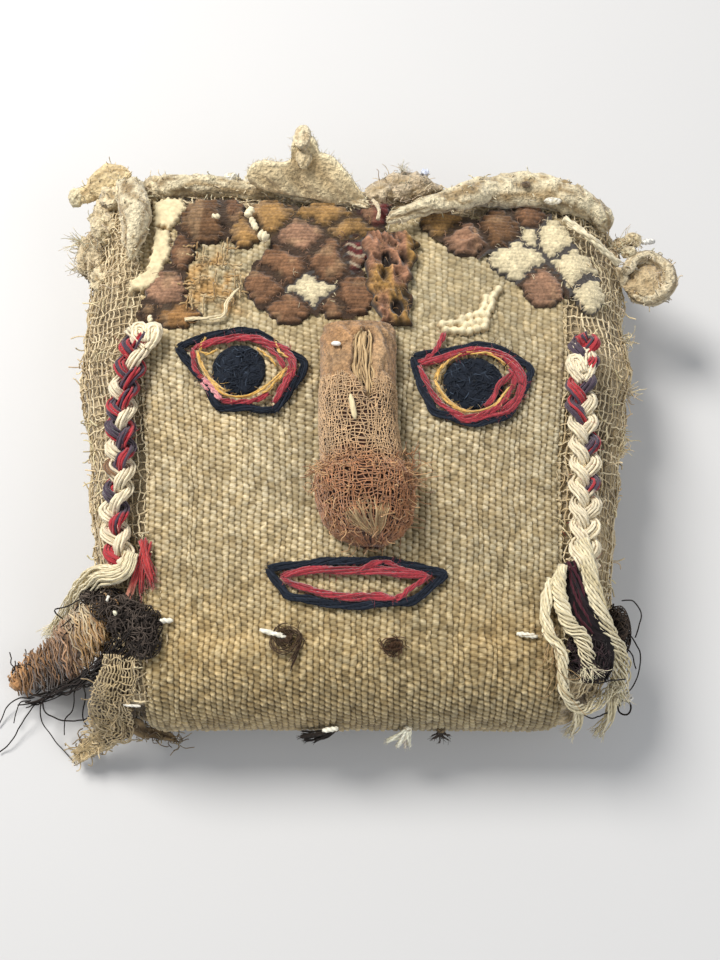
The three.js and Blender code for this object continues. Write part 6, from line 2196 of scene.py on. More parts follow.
# Clumps of dark curls: centre, half sizes and number of threads
DARK_CLUMPS = (
    ((-61, -61.6, 46.6), (4.8, 5.4, 2.8), 120),
    ((-60.6, -66.6, 46.4), (4.6, 4.4, 2.6), 95),
    ((-66.6, -59, 45.6), (5.6, 6.2, 3), 150),
    ((-72.4, -55, 43.4), (5.2, 4.6, 3), 105),
    ((-77.4, -51.8, 40), (4.2, 2.6, 2.2), 60),
)
DARK_BAND = [
    [-63, -64, 48.4], [-67.6, -68.6, 45], [-74.6, -72.4, 36.6], [-84.2, -74.8, 23], [-95.1, -77, 12],
    [-103, -78.6, 7],
    [-108.6, -79.4, 4],
]
DARK_BAND_HALF = [[0, 5], [0.25, 3.4], [0.5, 2.2], [1, 2.4]]
DARK_BAND_THREADS = 28
DARK_BAND_TINT = (0.022, 0.016, 0.013)
TIP_LOOPS = [[-103, -68, 10], [-107, -69.6, 8.4], [-111, -70.6, 7]]
# Knotted cord ends on the dark clump: start, end, radius and colour
CLUMP_STUBS = (
    ("stub", (-71.6, -55.2, 49.6), (-71.2, -53.4, 49.6), 0.4, (0.86, 0.82, 0.7)),
    ("stub", (-69.4, -58.8, 49.8), (-68.4, -58.4, 49.9), 0.75, (0.86, 0.82, 0.6)),
)
LONG_THREADS = (
    [[-103, -78, 6.6], [-109.3, -78.3, 4], [-112.2, -80.7, 3], [-114, -83.2, 2], [-115.4, -86.4, 1]],
    [[-98, -77.6, 9], [-103.8, -81.7, 6], [-107.2, -86.5, 4], [-110.8, -92, 2], [-114.4, -95, 1]],
    [
        [-97, -77, 11], [-99.6, -80.5, 10], [-99.3, -85.9, 7], [-96.5, -90.6, 4], [-92.8, -95.2, 2],
        [-89.3, -98.4, 1],
    ],
    [
        [-99, -79, 9.6], [-98.4, -82.4, 9], [-95.4, -84.6, 9], [-89.5, -85.7, 10], [-83.6, -85.3, 14],
        [-80.6, -81.4, 20],
    ],
    [[-86, -74.6, 20], [-87.8, -77.3, 15], [-89, -82.2, 11], [-91.8, -85, 8], [-93.1, -89.7, 4]],
    [[-84, -74.4, 23], [-84.6, -79, 14], [-86.4, -84, 9], [-84.4, -88, 6]],
    [[-104, -79, 6], [-107.9, -79.7, 5], [-109.8, -85.8, 3]],
    [[-76, -50.4, 42], [-81, -51.9, 38.6], [-86.9, -53.2, 33], [-92.5, -54, 28.6], [-90.7, -56.2, 26.6]],
    [[-77, -51.6, 41], [-83.9, -53.6, 34], [-86.8, -56, 29], [-91.1, -58.4, 25]],
    [[-72, -52, 45], [-78.3, -54.6, 38.6], [-85.2, -57.7, 30], [-90.1, -61.1, 24]],
)
RIGHT_INNER = [
    [61.6, -44.6, 49.8], [60.4, -47.6, 49.8], [60, -51.6, 49.6], [61, -57.6, 49], [63, -62, 48.4],
    [66, -64.8, 47.6], [67.4, -68.6, 46.4], [68.4, -73.4, 44],
]
RIGHT_MIDDLE = [
    [58.4, -48.6, 49.4], [56.4, -54, 49], [55.7, -59.4, 48.8], [57, -64.8, 48.6], [59.8, -69.2, 47.8],
    [60.4, -74.7, 46],
    [61, -79, 43.6], [63.8, -83.2, 39], [68.5, -84.6, 34.6], [74, -81.6, 31.6], [78.4, -77.4, 29.4],
]
RIGHT_OUTER = [
    [67.6, -36.6, 49.6], [68.8, -41.6, 49.4], [69.8, -48.6, 48], [71.8, -56.4, 46], [75, -63, 42.4],
    [79, -68.2, 37],
    [80.8, -73.4, 31.4], [80.6, -79, 26.4],
]
RIGHT_CREAM = (TAIL_CREAM, (0.64, 0.55, 0.34))
# Cream hanks of the right plait: node, route, yarns, half widths, half thickness, turns, seed
RIGHT_HANKS = {
    "right_hank_inner": (
        "right_yarn_inner", RIGHT_INNER, 15, [[0, 0.9], [0.15, 2.1], [0.7, 2.3], [1, 2.6]], 1.7, 2.8, 211,
    ),
    "right_hank_middle": (
        "right_yarn_middle", RIGHT_MIDDLE, 9, [[0, 1.5], [0.6, 1.6], [1, 2]], 1.3, 3.4, 212,
    ),
    "right_hank_outer": (
        "right_yarn_outer", RIGHT_OUTER, 19, [[0, 2.1], [0.5, 2.8], [1, 3.2]], 1.9, 2.0, 213,
    ),
}
# Starts and ends of the two hanging tips of the middle hank
MIDDLE_TIPS = (((67.2, -83.8, 32.6), (66, -90, 21.4)), ((78.6, -80.2, 27.4), (75.8, -89.4, 18.8)))
RIGHT_CORE = [
    [64, -43, 47.6], [65.4, -50, 47], [66.4, -57, 46.4],
    [69, -64, 44], [71.6, -71, 39.6], [72, -76, 36],
]
RIGHT_CORE_HALF = [[0, 1.8], [0.4, 3.7], [0.7, 6.4], [1, 4.6]]
RIGHT_CORE_COLOURS = ((0.016, 0.010, 0.012), (0.006, 0.004, 0.004))
RIGHT_CLUMP = (
    (68.6, -69.6, 42.4), (6.2, 7.4, 3), 150, 8, 0.18, ((0.014, 0.010, 0.010), (0.06, 0.03, 0.035)), 222
)
CORE_BLACK = (0.016, 0.011, 0.013)
PLUM = (0.045, 0.010, 0.016)
RIGHT_BROWN_ROUTE = [[57.6, -60, 48.8], [57.6, -68, 47.6], [59.6, -76, 45]]
RIGHT_BROWN = ((0.30, 0.19, 0.09), (0.5, 0.35, 0.18))
KNOT_CLUMP = (
    (80.8, -60.6, 31), (3.4, 7.6, 3.8), 150, 9, 0.2, ((0.02, 0.015, 0.012), (0.09, 0.062, 0.045)), 224,
    0.9,
)
KNOT_THREADS = (
    [[82, -52, 34], [86.4, -51.6, 31], [89, -56, 28], [87.4, -61.6, 25]],
    [[84, -60, 29], [88.6, -66, 24], [88, -74, 20], [84, -79, 19]],
    [[61.6, -78.6, 44.6], [65.6, -84, 37], [71, -86.8, 30.6], [77.4, -84.4, 25], [82.6, -82, 21]],
    [[62, -73, 47], [66, -76.6, 44.6], [71, -77.6, 42], [76, -76.4, 37], [81.4, -75.6, 33]],
    [[80, -64, 36], [84.4, -68, 31], [86.6, -71.6, 27]],
)
KNOT_RING = (84.2, -82.4, 18)
KNOT_RING_HALF = (2, 2.2, 0.3)
KNOT_STUB = ((85.6, -80.6, 18.6), (86.8, -79.2, 19), 0.4, (0.85, 0.82, 0.75))
# Heart-shaped knots at the tops of the plaits: two lobes and a seed for each
PLAIT_KNOTS = {
    "left": (
        [[-65.4, 24.6, 50], [-68.2, 28, 50.8], [-68, 31.4, 50.8], [-65.8, 31, 51.2], [-64.8, 26.4, 51.4]],
        [[-64.6, 24.6, 50.4], [-62, 28, 51], [-61.6, 31.4, 50.6], [-63.8, 31.2, 51.2], [-64.6, 26.4, 51.6]],
        231,
    ),
    "right": (
        [[70.4, 13.6, 50.6], [67.8, 17.6, 51], [67.6, 20.6, 51], [69.6, 20.4, 51.4], [70.6, 16, 51.6]],
        [[70.8, 13.6, 50.6], [73.6, 17.6, 50.2], [74.4, 22, 49.6], [72.4, 23.6, 50.2], [71, 18, 51.4]],
        232,
    ),
}
KNOT_YARNS = 12
KNOT_TOP = [[70, 20, 51], [69.4, 23.4, 50.6], [69, 26, 50]]


def add_hank(shape, points, yarns, half, thick, radius, tints, seed, turns, loose=0.12):
    """A bundle of plied yarns along a route, with its own width and thickness along it."""
    path = spline(points, 1.1)
    share = np.linspace(0, 1, len(path))
    paths = hank(path, yarns, along(half, share), along(thick, share), turns, loose, seed)
    paths = clear_of_body(paths, radius)
    rng = np.random.default_rng(seed)
    shade = rng.uniform(0, 1, (yarns, 1)) + 0 * paths[..., 0]
    tint = mix(tints[0], tints[1], shade)
    tubes(shape, paths, radius * np.minimum(1, 1.4 - share), tint, sides=4, plies=2, pitch=2.1)
    return paths


def parts_of(paths, start, end):
    """The stretch of each path between its own start and end share."""
    steps = paths.shape[1]
    place = (start + (end - start) * np.linspace(0, 1, steps)) * (steps - 1)
    low = np.clip(np.floor(place).astype(int), 0, steps - 2)
    share = (place - low)[..., None]
    row = np.arange(len(paths))[:, None]
    return paths[row, low] * (1 - share) + paths[row, low + 1] * share


def confined(centre, half, slack):
    """Keeps points within a rounded clump and clear of the body."""
    centre, half = np.asarray(centre, float), np.asarray(half, float)

    def keep(points):
        local = (points - centre) / half
        size = np.maximum(1e-6, np.linalg.norm(local, axis=-1, keepdims=True))
        return clear_of_body(centre + local * np.minimum(1, slack / size) * half, 0.15)

    return keep


def add_clump(shape, centre, half, count, length, radius, tints, seed, curl=0.7):
    """A matted clump of fine curls over a solid core."""
    rng = np.random.default_rng(seed)
    add_mound(shape, centre, np.array(half) * 0.72, mix(tints[0], tints[1], 0.1), seed, tints[0], 0.2)
    direction = unit(rng.normal(0, 1, (count, 3)) * (1, 1, 0.8) + (0, 0, 0.5))
    roots = np.asarray(centre) + direction * half * rng.uniform(0.75, 1.05, (count, 1))
    headings = rng.normal(0, 1, (count, 3))
    lengths = length * rng.uniform(0.5, 1.5, count)
    paths = wander(roots, headings, lengths, 9, curl, rng, confined(centre, half, 1.12))
    shade = rng.uniform(0, 1, (count, 1)) ** 1.6 + 0 * paths[..., 0]
    tubes(shape, paths, radius, mix(tints[0], tints[1], shade), sides=3)


def fray(shape, ends, headings, count, length, radius, tint, seed, curl=0.15, steps=7):
    """Untwisted fibres at the cut ends of yarns."""
    rng = np.random.default_rng(seed)
    picked = rng.integers(0, len(ends), count)
    roots = ends[picked] + rng.normal(0, 0.35, (count, 3))
    headings = headings[picked] + rng.normal(0, 0.25, (count, 3))
    lengths = length * rng.uniform(0.5, 1.3, count)
    paths = wander(roots, headings, lengths, steps, curl, rng, partial(clear_of_body, gap=0.2))
    tubes(shape, paths, radius * np.linspace(1, 0.5, steps), vary(tint, count, 0.2, rng), sides=3)


def add_left_tail():
    """Cream yarns that fan out below the left plait, frayed at their cut ends."""
    shape = Shape()
    paths = add_hank(shape, LEFT_TAIL, 34, TAIL_HALF, TAIL_THICK, 0.4, TAIL_TINTS, 181, 0.3, 0.22)
    fray(shape, paths[:, -1], paths[:, -1] - paths[:, -4], 110, 6, 0.14, TAIL_CREAM, 182)
    shape.piece(
        "left_cream_hank", fabric("left_hank", sheen=0.3, mottle=0.18), "cream_yarn", "left_yarn_tail"
    )


def add_left_red_fringe(count=40, steps=12):
    """Crimson yarn ends in three groups beside the left plait, the last of them faded."""
    shape = Shape()
    rng = np.random.default_rng(185)
    group = rng.integers(0, 3, count)
    run_x = np.array(RED_ENDS_X)[group] + rng.normal(0, 0.6, count) - RED_START[0]
    run_y = np.array(RED_ENDS_Y)[group] + rng.normal(0, 1.1, count) - RED_START[1]
    share = np.linspace(0, 1, steps)
    x = RED_START[0] + rng.normal(0, 0.8, count)[:, None] * (1 - share) + run_x[:, None] * share**1.3
    y = RED_START[1] + rng.normal(0, 0.8, count)[:, None] + run_y[:, None] * share
    x = x + 0.3 * noise(stacked(x + 9.0 * group[:, None], y, 0), 3, 186)
    lift = 1.0 + 1.4 * np.sin(np.pi * share) + rng.uniform(0, 0.9, (count, 1))
    paths = on_cloth(x, y, lift)
    fade = stepped(0.6, 1, share)[None, :] * (group == 2)[:, None] + 0 * x
    tint = mix(RED_TINT, RED_FADED, fade) * rng.uniform(0.75, 1.15, (count, 1, 1))
    tubes(shape, paths, 0.36 * np.linspace(1, 0.6, steps), tint, sides=5, plies=2, pitch=1.6)
    fray(shape, paths[:, -1], paths[:, -1] - paths[:, -3], 90, 2.2, 0.09, RED_FIBRE, 187)
    shape.piece("left_red_fringe", fabric("red_fringe", sheen=0.35), "crimson_yarn", "left_red_tuft")


def tangle(
    shape, path, half, thick, count, length, radius, tints, seed, curl=0.32, steps=14, along_share=0.6
):
    """Crimped fine threads matted together along a route."""
    rng = np.random.default_rng(seed)
    path = spline(path, 0.8)
    tangent = unit(np.gradient(path, axis=0))
    across = unit(np.cross(tangent, np.array([0, 0, 1.0])))
    above = np.cross(across, tangent)
    picked = rng.integers(0, len(path), count)
    share = picked / (len(path) - 1)
    turn, out = rng.uniform(0, 2 * np.pi, count), np.sqrt(rng.uniform(0, 1, count))
    wide = (out * np.cos(turn) * along(half, share))[:, None]
    tall = (out * np.sin(turn) * along(thick, share))[:, None]
    roots = path[picked] + across[picked] * wide + above[picked] * tall
    headings = tangent[picked] * along_share + rng.normal(0, 0.6, (count, 3))
    paths = wander(roots, headings, length * rng.uniform(0.5, 1.4, count), steps, curl, rng,
                   partial(clear_of_body, gap=0.15))
    shade = rng.uniform(0, 1, (count, 1)) ** 1.5 + 0 * paths[..., 0]
    tubes(shape, paths, radius, mix(tints[0], tints[1], shade), sides=3)
    return paths


def crimped(route, amount, size, seed):
    """A smooth thread along a route with small wavers."""
    thread = spline(route, 0.9)
    waver = np.stack([noise(thread, size, seed + 20 * axis) for axis in range(3)], axis=-1)
    return thread + amount * waver


def add_dark_band(shape):
    """Dark threads that run side by side from the clump to the floor."""
    path = spline(DARK_BAND, 1.1)
    share = np.linspace(0, 1, len(path))
    half, thick = along(DARK_BAND_HALF, share), along([[0, 1.6], [1, 0.9]], share)
    count = DARK_BAND_THREADS
    threads = hank(path, count, half, thick, 0.15, 0.6, 195)
    rng = np.random.default_rng(195)
    start, end = rng.uniform(0, 0.12, (count, 1)), rng.uniform(0.55, 1, (count, 1))
    threads = clear_of_body(parts_of(threads, start, end), 0.2)
    tubes(shape, threads, 0.25, vary(DARK_BAND_TINT, count, 0.4, rng), sides=3)


def add_left_tassel():
    """Matted dark curls below the left plait, with a band and long single threads to the floor."""
    shape = Shape()
    for number, (centre, half, count) in enumerate(DARK_CLUMPS):
        add_clump(shape, centre, half, count, 8, 0.2, DARK_TINTS, 191 + number)
    add_dark_band(shape)
    for number, route in enumerate(LONG_THREADS):
        thread = clear_of_body(crimped(route, 0.35, 3, 205 + number), 0.22)
        tubes(shape, thread, 0.23, BLACK_THREAD, sides=4)
    half, thick = [[0, 1.6], [1, 1.6]], [[0, 0.8], [1, 0.8]]
    tangle(shape, TIP_LOOPS, half, thick, 22, 6, 0.22, DARK_TINTS, 204, 0.6, 12, 0.4)
    add_parts(shape, CLUMP_STUBS)
    shape.piece(
        "left_dark_thread_mass", fabric("dark_threads", sheen=0.05), "black_thread", "left_tassel_threads"
    )


def fringe_paths(rng, place, steps):
    """Slack yarns that hang from the upper to the lower edge of the fringe."""
    count = len(place)
    top, bottom = resample(FRINGE_TOP, FRINGE_PLACES), resample(FRINGE_BOTTOM, FRINGE_PLACES)
    index = np.clip((place * (FRINGE_PLACES - 1)).astype(int), 0, FRINGE_PLACES - 1)
    share = np.linspace(0, 1, steps)[:, None]
    jitter = rng.normal(0, 0.8, (2, count, 1, 3)) * (1, 1, 0.3)
    start = top[index][:, None] + jitter[0]
    overshoot = rng.uniform(-0.16, 0.14, (count, 1, 1))
    finish = bottom[index][:, None] + jitter[1]
    path = start + (finish - start) * share * (1 + overshoot)
    own = path + 40 * np.arange(count)[:, None, None]
    slack = noise(path, 4.5, 203)[..., None] * (1.3, 0.6, 0.4)
    slack = slack + noise(own, 2.2, 204)[..., None] * (1.1, 0.3, 0.3)
    slack = slack + noise(own, 1.3, 206)[..., None] * (0.7, 0.6, 0.6)
    arch = np.sin(np.pi * share) * rng.uniform(0.8, 2.6, (count, 1, 1))
    return path + slack + arch * np.array((-0.2, 0.25, 1.0))


def fringe_tints(rng, place, steps):
    """Colour of each yarn of the fringe, from its place along it and its upper to its lower half."""
    tones, count = np.array(FRINGE_TONES), len(place)
    last = len(tones) - 1
    order = np.clip(place * last + rng.normal(0, 0.45, count), 0, last - 0.001)
    low, mixed = order.astype(int), (order % 1)[:, None, None]
    pair = tones[low] * (1 - mixed) + tones[low + 1] * mixed
    share = np.linspace(0, 1, steps)[:, None]
    turn = stepped(0.2, 0.8, share + rng.normal(0, 0.25, (count, 1, 1)))
    tint = pair[:, None, 0] * (1 - turn) + pair[:, None, 1] * turn
    return tint * rng.uniform(0.65, 1.2, (count, 1, 1))


def add_fringe_core(shape):
    """A dark roll behind the middle of the fringe."""
    top, bottom = resample(FRINGE_TOP, FRINGE_PLACES)[::6], resample(FRINGE_BOTTOM, FRINGE_PLACES)[::6]
    middle = (top + bottom) / 2 - (0, 0, 3)
    reach = np.linalg.norm(top - bottom, axis=1) / 2
    half = [[number / (len(reach) - 1), max(1.0, size - 2.6)] for number, size in enumerate(reach)]
    add_roll(shape, middle, half, [[0, 1.2], [1, 1.4]], 201, 0.3, FRINGE_CORE, side=(0, 0.35, 1))


def add_left_strip(steps=11):
    """A fan of yarn ends, cream near the plait and dark toward the tip, that falls to the floor."""
    shape = Shape()
    add_fringe_core(shape)
    rng = np.random.default_rng(202)
    place = np.sort(rng.uniform(0, 1, FRINGE_YARNS) ** 0.9)
    path = clear_of_body(fringe_paths(rng, place, steps), 0.4)
    thin = 0.33 * np.sin(np.linspace(0.35, math.pi - 0.5, steps)) ** 0.4
    tubes(shape, path, thin, fringe_tints(rng, place, steps), sides=3)
    add_mound(shape, *FRINGE_TIP)
    shape.piece(
        "left_brown_fringe", fabric("brown_fringe", sheen=0.25, mottle=0.3), "brown_fringe",
        "left_tassel_strip",
    )


def add_right_hanks():
    """Three hanks of cream yarn below the right plait, the middle one with two hanging tips."""
    for name, (node, route, yarns, half, thick, turns, seed) in RIGHT_HANKS.items():
        shape = Shape()
        paths = add_hank(
            shape, route, yarns, half, [[0, thick], [1, thick]], 0.5, RIGHT_CREAM, seed, turns, 0.1
        )
        fray(shape, paths[:, -1], paths[:, -1] - paths[:, -4], 110, 3.6, 0.12, TAIL_CREAM, seed + 10)
        for start, end in MIDDLE_TIPS if node == "right_yarn_middle" else ():
            route = [start, (np.array(start) + end) / 2 + (0.8, -0.9, 0), end]
            half, thick = [[0, 1.3], [1, 2.2]], [[0, 1], [1, 1.4]]
            tip = add_hank(shape, route, 10, half, thick, 0.42, RIGHT_CREAM, seed + 4, 0.3)
            fray(shape, tip[:, -1], tip[:, -1] - tip[:, -4], 60, 2.4, 0.11, TAIL_CREAM, seed + 12, 0.08)
        shape.piece(name, fabric(name, sheen=0.3, mottle=0.18), "cream_yarn", node)


def add_right_core():
    """Black and plum threads between the hanks, with a matted clump and a few brown fibres."""
    shape = Shape()
    half = [[0, 1.6], [0.4, 3.6], [0.7, 6.6], [1, 4.6]]
    add_roll(shape, RIGHT_CORE, half, [[0, 1.4], [1, 1.8]], 221, 0.5, RIGHT_CORE_COLOURS)
    path = spline(RIGHT_CORE, 1.0)
    half = along(RIGHT_CORE_HALF, np.linspace(0, 1, len(path)))
    black = clear_of_body(hank(path, 26, half, 1.9, 0.6, 0.4, 229), 0.3)
    tubes(shape, black, 0.42, vary(CORE_BLACK, 26, 0.6, np.random.default_rng(229)), sides=3)
    plum = hank(spline(RIGHT_CORE[:4], 0.8), 5, 1.8, 1.2, 0.8, 0.2, 226) + (0, 0, 1.2)
    tubes(shape, plum, 0.42, vary(PLUM, 5, 0.6, np.random.default_rng(226)), sides=5, plies=2)
    add_clump(shape, *RIGHT_CLUMP)
    half, thick = [[0, 1.2], [1, 2]], [[0, 0.6], [1, 0.6]]
    tangle(shape, RIGHT_BROWN_ROUTE, half, thick, 26, 11, 0.11, RIGHT_BROWN, 223, 0.14, 14, 1.2)
    shape.piece("right_dark_core", fabric("right_core", sheen=0.08), "purple_yarn", "right_tassel_threads")


def add_right_knot():
    """A clump of black thread beside the right plait, with loose threads and a ring."""
    shape = Shape()
    add_clump(shape, *KNOT_CLUMP)
    for number, route in enumerate(KNOT_THREADS):
        thread = clear_of_body(crimped(route, 0.3, 2.6, 227 + number), 0.22)
        tubes(shape, thread, 0.22, BLACK_THREAD, sides=5)
    turn = np.linspace(0, 2 * np.pi, 20)
    round_place = stacked(np.cos(turn), np.sin(turn), np.sin(3 * turn))
    tubes(shape, KNOT_RING + round_place * KNOT_RING_HALF, 0.3, BLACK_THREAD, sides=5)
    add_stub(shape, *KNOT_STUB)
    shape.piece(
        "right_black_thread_knot", fabric("black_knot", sheen=0.05), "black_thread", "right_thread_knot"
    )


def add_plait_knots():
    for side, (*lobes, seed) in PLAIT_KNOTS.items():
        shape = Shape()
        for number, route in enumerate(lobes):
            paths = hank(spline(route, 0.8), KNOT_YARNS, 1.45, 1.2, 0.3, 0.12, seed + number)
            tint = vary(CREAM_YARN, KNOT_YARNS, 0.1, np.random.default_rng(seed))
            tubes(shape, paths, 0.5, tint * 1.06, sides=4, plies=2, pitch=2.4)
        if side == "right":
            top = hank(spline(KNOT_TOP, 0.6), 3, 0.5, 0.4, 0.5, 0.1, 233)
            tubes(shape, top, 0.5, CREAM_YARN, sides=6, plies=2)
        material = fabric(f"{side}_knot", sheen=0.3, mottle=0.15)
        shape.piece(f"{side}_plait_heart_knot", material, "cream_yarn", f"{side}_braid_knot")


def add_loose_ends():
    add_plait_knots()
    add_left_tail()
    add_left_red_fringe()
    add_left_tassel()
    add_left_strip()
    add_right_hanks()
    add_right_core()
    add_right_knot()


# Gauze flap at the lower left corner
FLAP_ROUTE = [
    [-67.2, -69, 44], [-67.9, -73.5, 41], [-70, -78, 36.6], [-72.5, -82.6, 28], [-74.5, -87, 19],
    [-79, -91, 11],
    [-83, -93, 8], [-87.6, -95.6, 4.8],
]
FLAP_HALF = [[0, 5], [0.2, 6.2], [0.45, 7], [0.62, 7.4], [0.8, 3.4], [1, 2.2]]
FLAP_WIDTH = 15
FLAP_LENGTH = 60
FLAP_TILT = -0.4
FLAP_CORE = ((0.17, 0.115, 0.055), (0.05, 0.03, 0.015))
FLAP_CURL_HALF = [[0, 6], [0.4, 6.4], [0.7, 4], [1, 1.4]]
FLAP_CURL_DARK = (0.30, 0.21, 0.10)
FLAP_HEM = [[-68.6, -86.6, 23], [-66.7, -88.6, 18], [-63.6, -89.8, 14], [-58, -90.8, 11], [-54.4, -92.6, 9]]
FLAP_HEM_COLOURS = ((0.26, 0.18, 0.09), (0.08, 0.05, 0.025))
FLAP_HEM_DARK = (0.12, 0.08, 0.045)
FLAP_TIP = [[-84, -93.4, 7], [-86, -94.6, 6], [-87.6, -95.6, 4.8]]
FLAP_TIP_HEADINGS = [[-0.9, -0.6, -0.1], [-1, -0.5, 0], [-0.8, -0.9, 0]]
FLAP_TIP_TINT = (0.70, 0.58, 0.36)
FLAP_STUB = ((-68.2, -83.2, 34.4), (-62.6, -83.8, 36), 0.42, (0.86, 0.82, 0.72))
GAUZE_TAN = (0.50, 0.38, 0.20)
GAUZE_LIGHT = (0.66, 0.53, 0.32)


def between(values, index):
    """Rows of a table at places between its whole-number rows."""
    rows = np.arange(len(values))
    return np.stack([np.interp(index, rows, values[:, axis]) for axis in range(3)], axis=-1)


def flap_place(u, v, lift):
    """Place on the flap, u across and v down its length."""
    path = spline(FLAP_ROUTE, 0.5)
    share = np.clip(v / FLAP_LENGTH, 0, 1)
    index = share * (len(path) - 1)
    centre = between(path, index)
    tangent = between(unit(np.gradient(path, axis=0)), index)
    across = unit(np.cross(tangent, np.array((0, FLAP_TILT, 1.0))))
    above = np.cross(across, tangent)
    base = centre + across * (u / FLAP_WIDTH * 2 - 1)[..., None] * along(FLAP_HALF, share)[..., None]
    return base + above * (1.6 + lift + 0.5 * noise(base, 4, 249))[..., None]


def add_flap():
    """A loose flap of crumpled gauze, its frayed hem and tip, and a stub of cord."""
    shape = Shape()
    side = (0, FLAP_TILT, 1)
    add_roll(shape, FLAP_ROUTE, FLAP_HALF, [[0, 1.0], [1, 1.2]], 241, 0.5, FLAP_CORE, side=side)
    tints = (GAUZE_TAN, GAUZE_LIGHT)
    crinkled_net(shape, flap_place, (FLAP_WIDTH, FLAP_LENGTH), (1.15, 2.2), 0.25, tints, 242, 1.25, 0.7, 1.0)
    tints = (FLAP_CURL_DARK, GAUZE_LIGHT)
    thick = [[0, 1.8], [1, 1.4]]
    tangle(shape, FLAP_ROUTE[1:], FLAP_CURL_HALF, thick, 230, 6, 0.22, tints, 243, 0.75, 9, 0.3)
    half, thick = [[0, 2.6], [0.6, 1.8], [1, 0.8]], [[0, 1.2], [1, 0.8]]
    add_roll(shape, FLAP_HEM, half, thick, 244, 0.5, FLAP_HEM_COLOURS)
    half, thick = [[0, 2.6], [1, 1.6]], [[0, 1.4], [1, 1]]
    tangle(shape, FLAP_HEM, half, thick, 90, 4.5, 0.17, (FLAP_HEM_DARK, GAUZE_TAN), 245, 0.5, 9, 0.2)
    fray(shape, np.array(FLAP_TIP), np.array(FLAP_TIP_HEADINGS), 90, 3, 0.14, FLAP_TIP_TINT, 246)
    add_stub(shape, *FLAP_STUB)
    made = shape.piece("lower_left_gauze_flap", fabric("gauze_flap", sheen=0.25), "gauze", "lower_left_flap")


# Stitch ends and knots
WHITE_CORD = (0.86, 0.82, 0.68)
STITCH_RADIUS = 0.75
# White stitches: node, start and end in plan
STITCHES = {
    "white_stitch_chin_left": ("chin_stitch_left", (-27.4, -62.5), (-19.4, -65.2)),
    "white_stitch_chin_right": ("chin_stitch_right", (47.6, -63.9), (53.9, -64.9)),
    "white_stitch_cheek": ("cheek_stitch_left", (-57, -60.2), (-52.6, -60)),
}
# Knots on the chin: node, centre and half sizes in plan, turns of thread and colour
CHIN_KNOTS = {
    "dark_hair_knot": ("chin_hair_knot", (-19.2, -65.2), (4.6, 3.9), 13, (0.075, 0.045, 0.026)),
    "dark_chin_spot": ("chin_dark_knot", (11.6, -67.6), (3.4, 2.2), 14, (0.07, 0.035, 0.018)),
}
KNOT_SHADE = (0.02, 0.013, 0.009)
KNOT_STRAYS = 40
COIL_RADIUS = 0.18
# Thread ends at the lower edge: node, slot, root, ends, radius, colour and seed
BOTTOM_ENDS = {
    "bottom_dark_knot": (
        "bottom_knot", "black_thread", (-5.6, -89.6, 27.6),
        ((-16, -91.4, 24), (-14.8, -92.4, 22), (-11.6, -92.6, 21.4), (-13.4, -91.2, 24.6)),
        0.32, (0.024, 0.017, 0.013), 256,
    ),
    "bottom_white_fray": (
        "bottom_white_tuft", "cream_yarn", (16.4, -89.4, 26.4),
        ((10.4, -92.4, 21), (13.4, -94.2, 19.4), (16.8, -94.2, 19.4)), 0.42, (0.86, 0.82, 0.66), 257,
    ),
    "bottom_dark_fray": (
        "bottom_dark_tuft", "black_thread", (26.6, -89.6, 23.4),
        ((24.6, -91.4, 19.4), (26.8, -91.8, 18.6), (29, -91.2, 19.6)), 0.24, (0.05, 0.036, 0.028), 258,
    ),
}
BOTTOM_STUB = ((-9.4, -90.2, 28.4), (-4.4, -89.6, 29))


def add_stitches():
    for name, (node, start, end) in STITCHES.items():
        shape = Shape()
        add_stub(shape, on_cloth(*start, 0.9), on_cloth(*end, 0.7), STITCH_RADIUS, WHITE_CORD)
        shape.piece(name, fabric(name, sheen=0.3), "cream_yarn", node)


def coils(centre, half, count, seed):
    """Loose turns of thread lying round a place on the face cloth."""
    rng = np.random.default_rng(seed)
    turn = rng.uniform(0, 2 * np.pi, (count, 1)) + np.linspace(0, 1, 22) * rng.uniform(2.5, 6, (count, 1))
    size = rng.uniform(0.25, 1, (count, 1)) * (1 + 0.2 * np.sin(2 * turn + rng.uniform(0, 6, (count, 1))))
    x = centre[0] + rng.normal(0, 0.12 * half[0], (count, 1)) + half[0] * size * np.cos(turn)
    y = centre[1] + rng.normal(0, 0.12 * half[1], (count, 1)) + half[1] * size * np.sin(turn)
    return on_cloth(x, y, rng.uniform(0.2, 1.3, (count, 1)) + 0.3 * np.sin(3 * turn))


def add_hanging_hair(shape, centre, colour, rng, threads=9):
    """Threads that hang from the coil down the chin."""
    run = np.linspace(0, 1, 14)[None]
    x = centre[0] + 3.8 + rng.normal(0, 0.4, (threads, 1)) - 2.4 * run**1.5 + 0.4 * np.sin(4 * run)
    y = centre[1] + 1 + rng.normal(0, 0.5, (threads, 1)) - rng.uniform(7, 10.5, (threads, 1)) * run
    tubes(shape, on_cloth(x, y, 0.5 + 0 * run), 0.16, vary(colour, threads, 0.5, rng), sides=3)


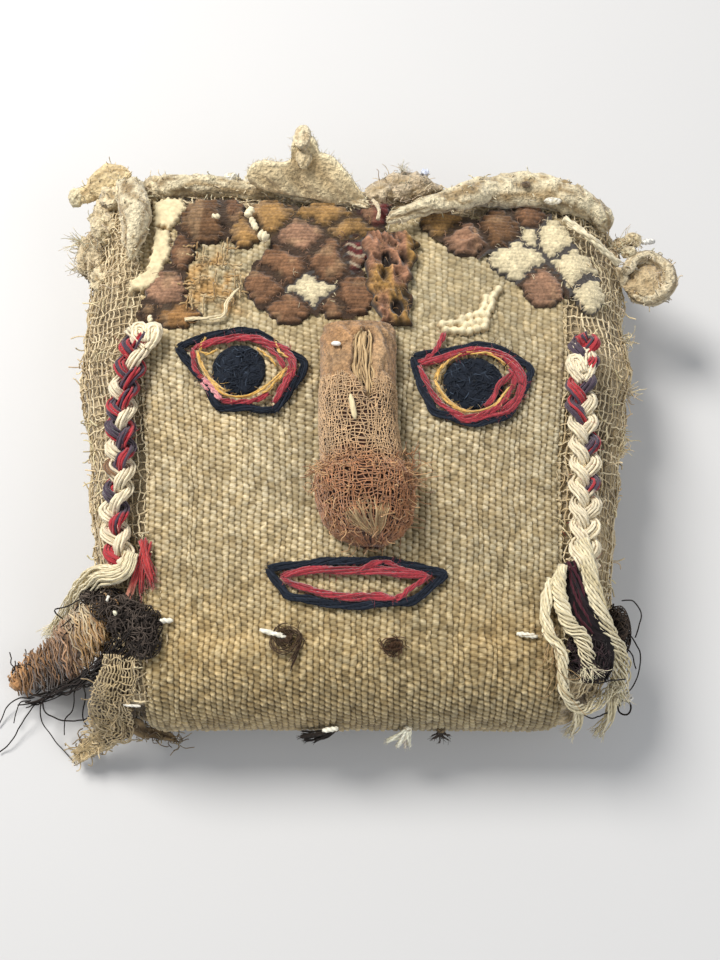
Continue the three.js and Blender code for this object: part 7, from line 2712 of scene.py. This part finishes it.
def add_chin_knots():
    """A coil of dark threads with a hanging end, and a small matted spot beside it."""
    for name, (node, centre, half, turns, colour) in CHIN_KNOTS.items():
        shape = Shape()
        rng = np.random.default_rng(251 + turns)
        base = on_cloth(*centre, 0.2)
        add_mound(shape, base, (half[0] * 0.35, half[1] * 0.35, 0.8), colour, 252, KNOT_SHADE)
        size = (KNOT_STRAYS, 3)
        roots = base + rng.normal(0, 1, size) * (half[0] * 0.45, half[1] * 0.4, 0.2)
        headings = rng.normal(0, 1, size) * (1, 0.6, 0.3)
        lengths = rng.uniform(1.5, 4, KNOT_STRAYS)
        strays = wander(roots, headings, lengths, 8, 0.6, rng, partial(clear_of_body, gap=0.2))
        tubes(shape, strays, 0.13, vary(colour, KNOT_STRAYS, 0.5, rng), sides=3)
        coil = coils(centre, half, turns, 253 + turns)
        tubes(shape, coil, COIL_RADIUS, vary(colour, turns, 0.5, rng), sides=3)
        if name == "dark_hair_knot":
            add_hanging_hair(shape, centre, colour, rng)
        shape.piece(name, fabric(name, sheen=0.05), "black_thread", node)


def add_bottom_ends(strands=5):
    """Cut ends of stitching threads that hang at the lower edge of the cloth."""
    for name, (node, slot, root, ends, radius, colour, seed) in BOTTOM_ENDS.items():
        shape = Shape()
        rng = np.random.default_rng(seed)
        add_mound(shape, root, (1.4, 1, 1), colour, 254)
        for end in ends:
            bend = (np.array(root) * 0.5 + np.array(end) * 0.5) + (0, -0.5, 0.5)
            paths = hank(spline([root, bend, end], 0.7), strands, 0.8, 0.7, 0.3, 0.3, seed)
            spread = np.linspace(0, 1, paths.shape[1])[None, :, None]
            paths = paths + spread * rng.normal(0, 0.4, (strands, 1, 3))
            tubes(shape, paths, radius, vary(colour, strands, 0.2, rng), sides=5, plies=2, pitch=1.8)
            fray(shape, paths[:, -1], paths[:, -1] - paths[:, -3], 14, 1.2, 0.09, colour, seed + 3)
        shape.piece(name, fabric(name, sheen=0.1), slot, node)


def add_bottom_stub():
    shape = Shape()
    add_stub(shape, *BOTTOM_STUB, STITCH_RADIUS, WHITE_CORD)
    shape.piece("bottom_white_stub", fabric("bottom_stub", sheen=0.3), "cream_yarn", "bottom_stitch")


add_camera()
add_studio()
add_floor()
add_body()
add_wrap()
add_edge_tufts()
add_corner_lumps()
add_face_cloth()
add_eyes_and_mouth()
add_plaits()
add_nose()
add_forehead()
add_scraps()
add_top()
add_loose_ends()
add_flap()
add_stitches()
add_chin_knots()
add_bottom_ends()
add_bottom_stub()
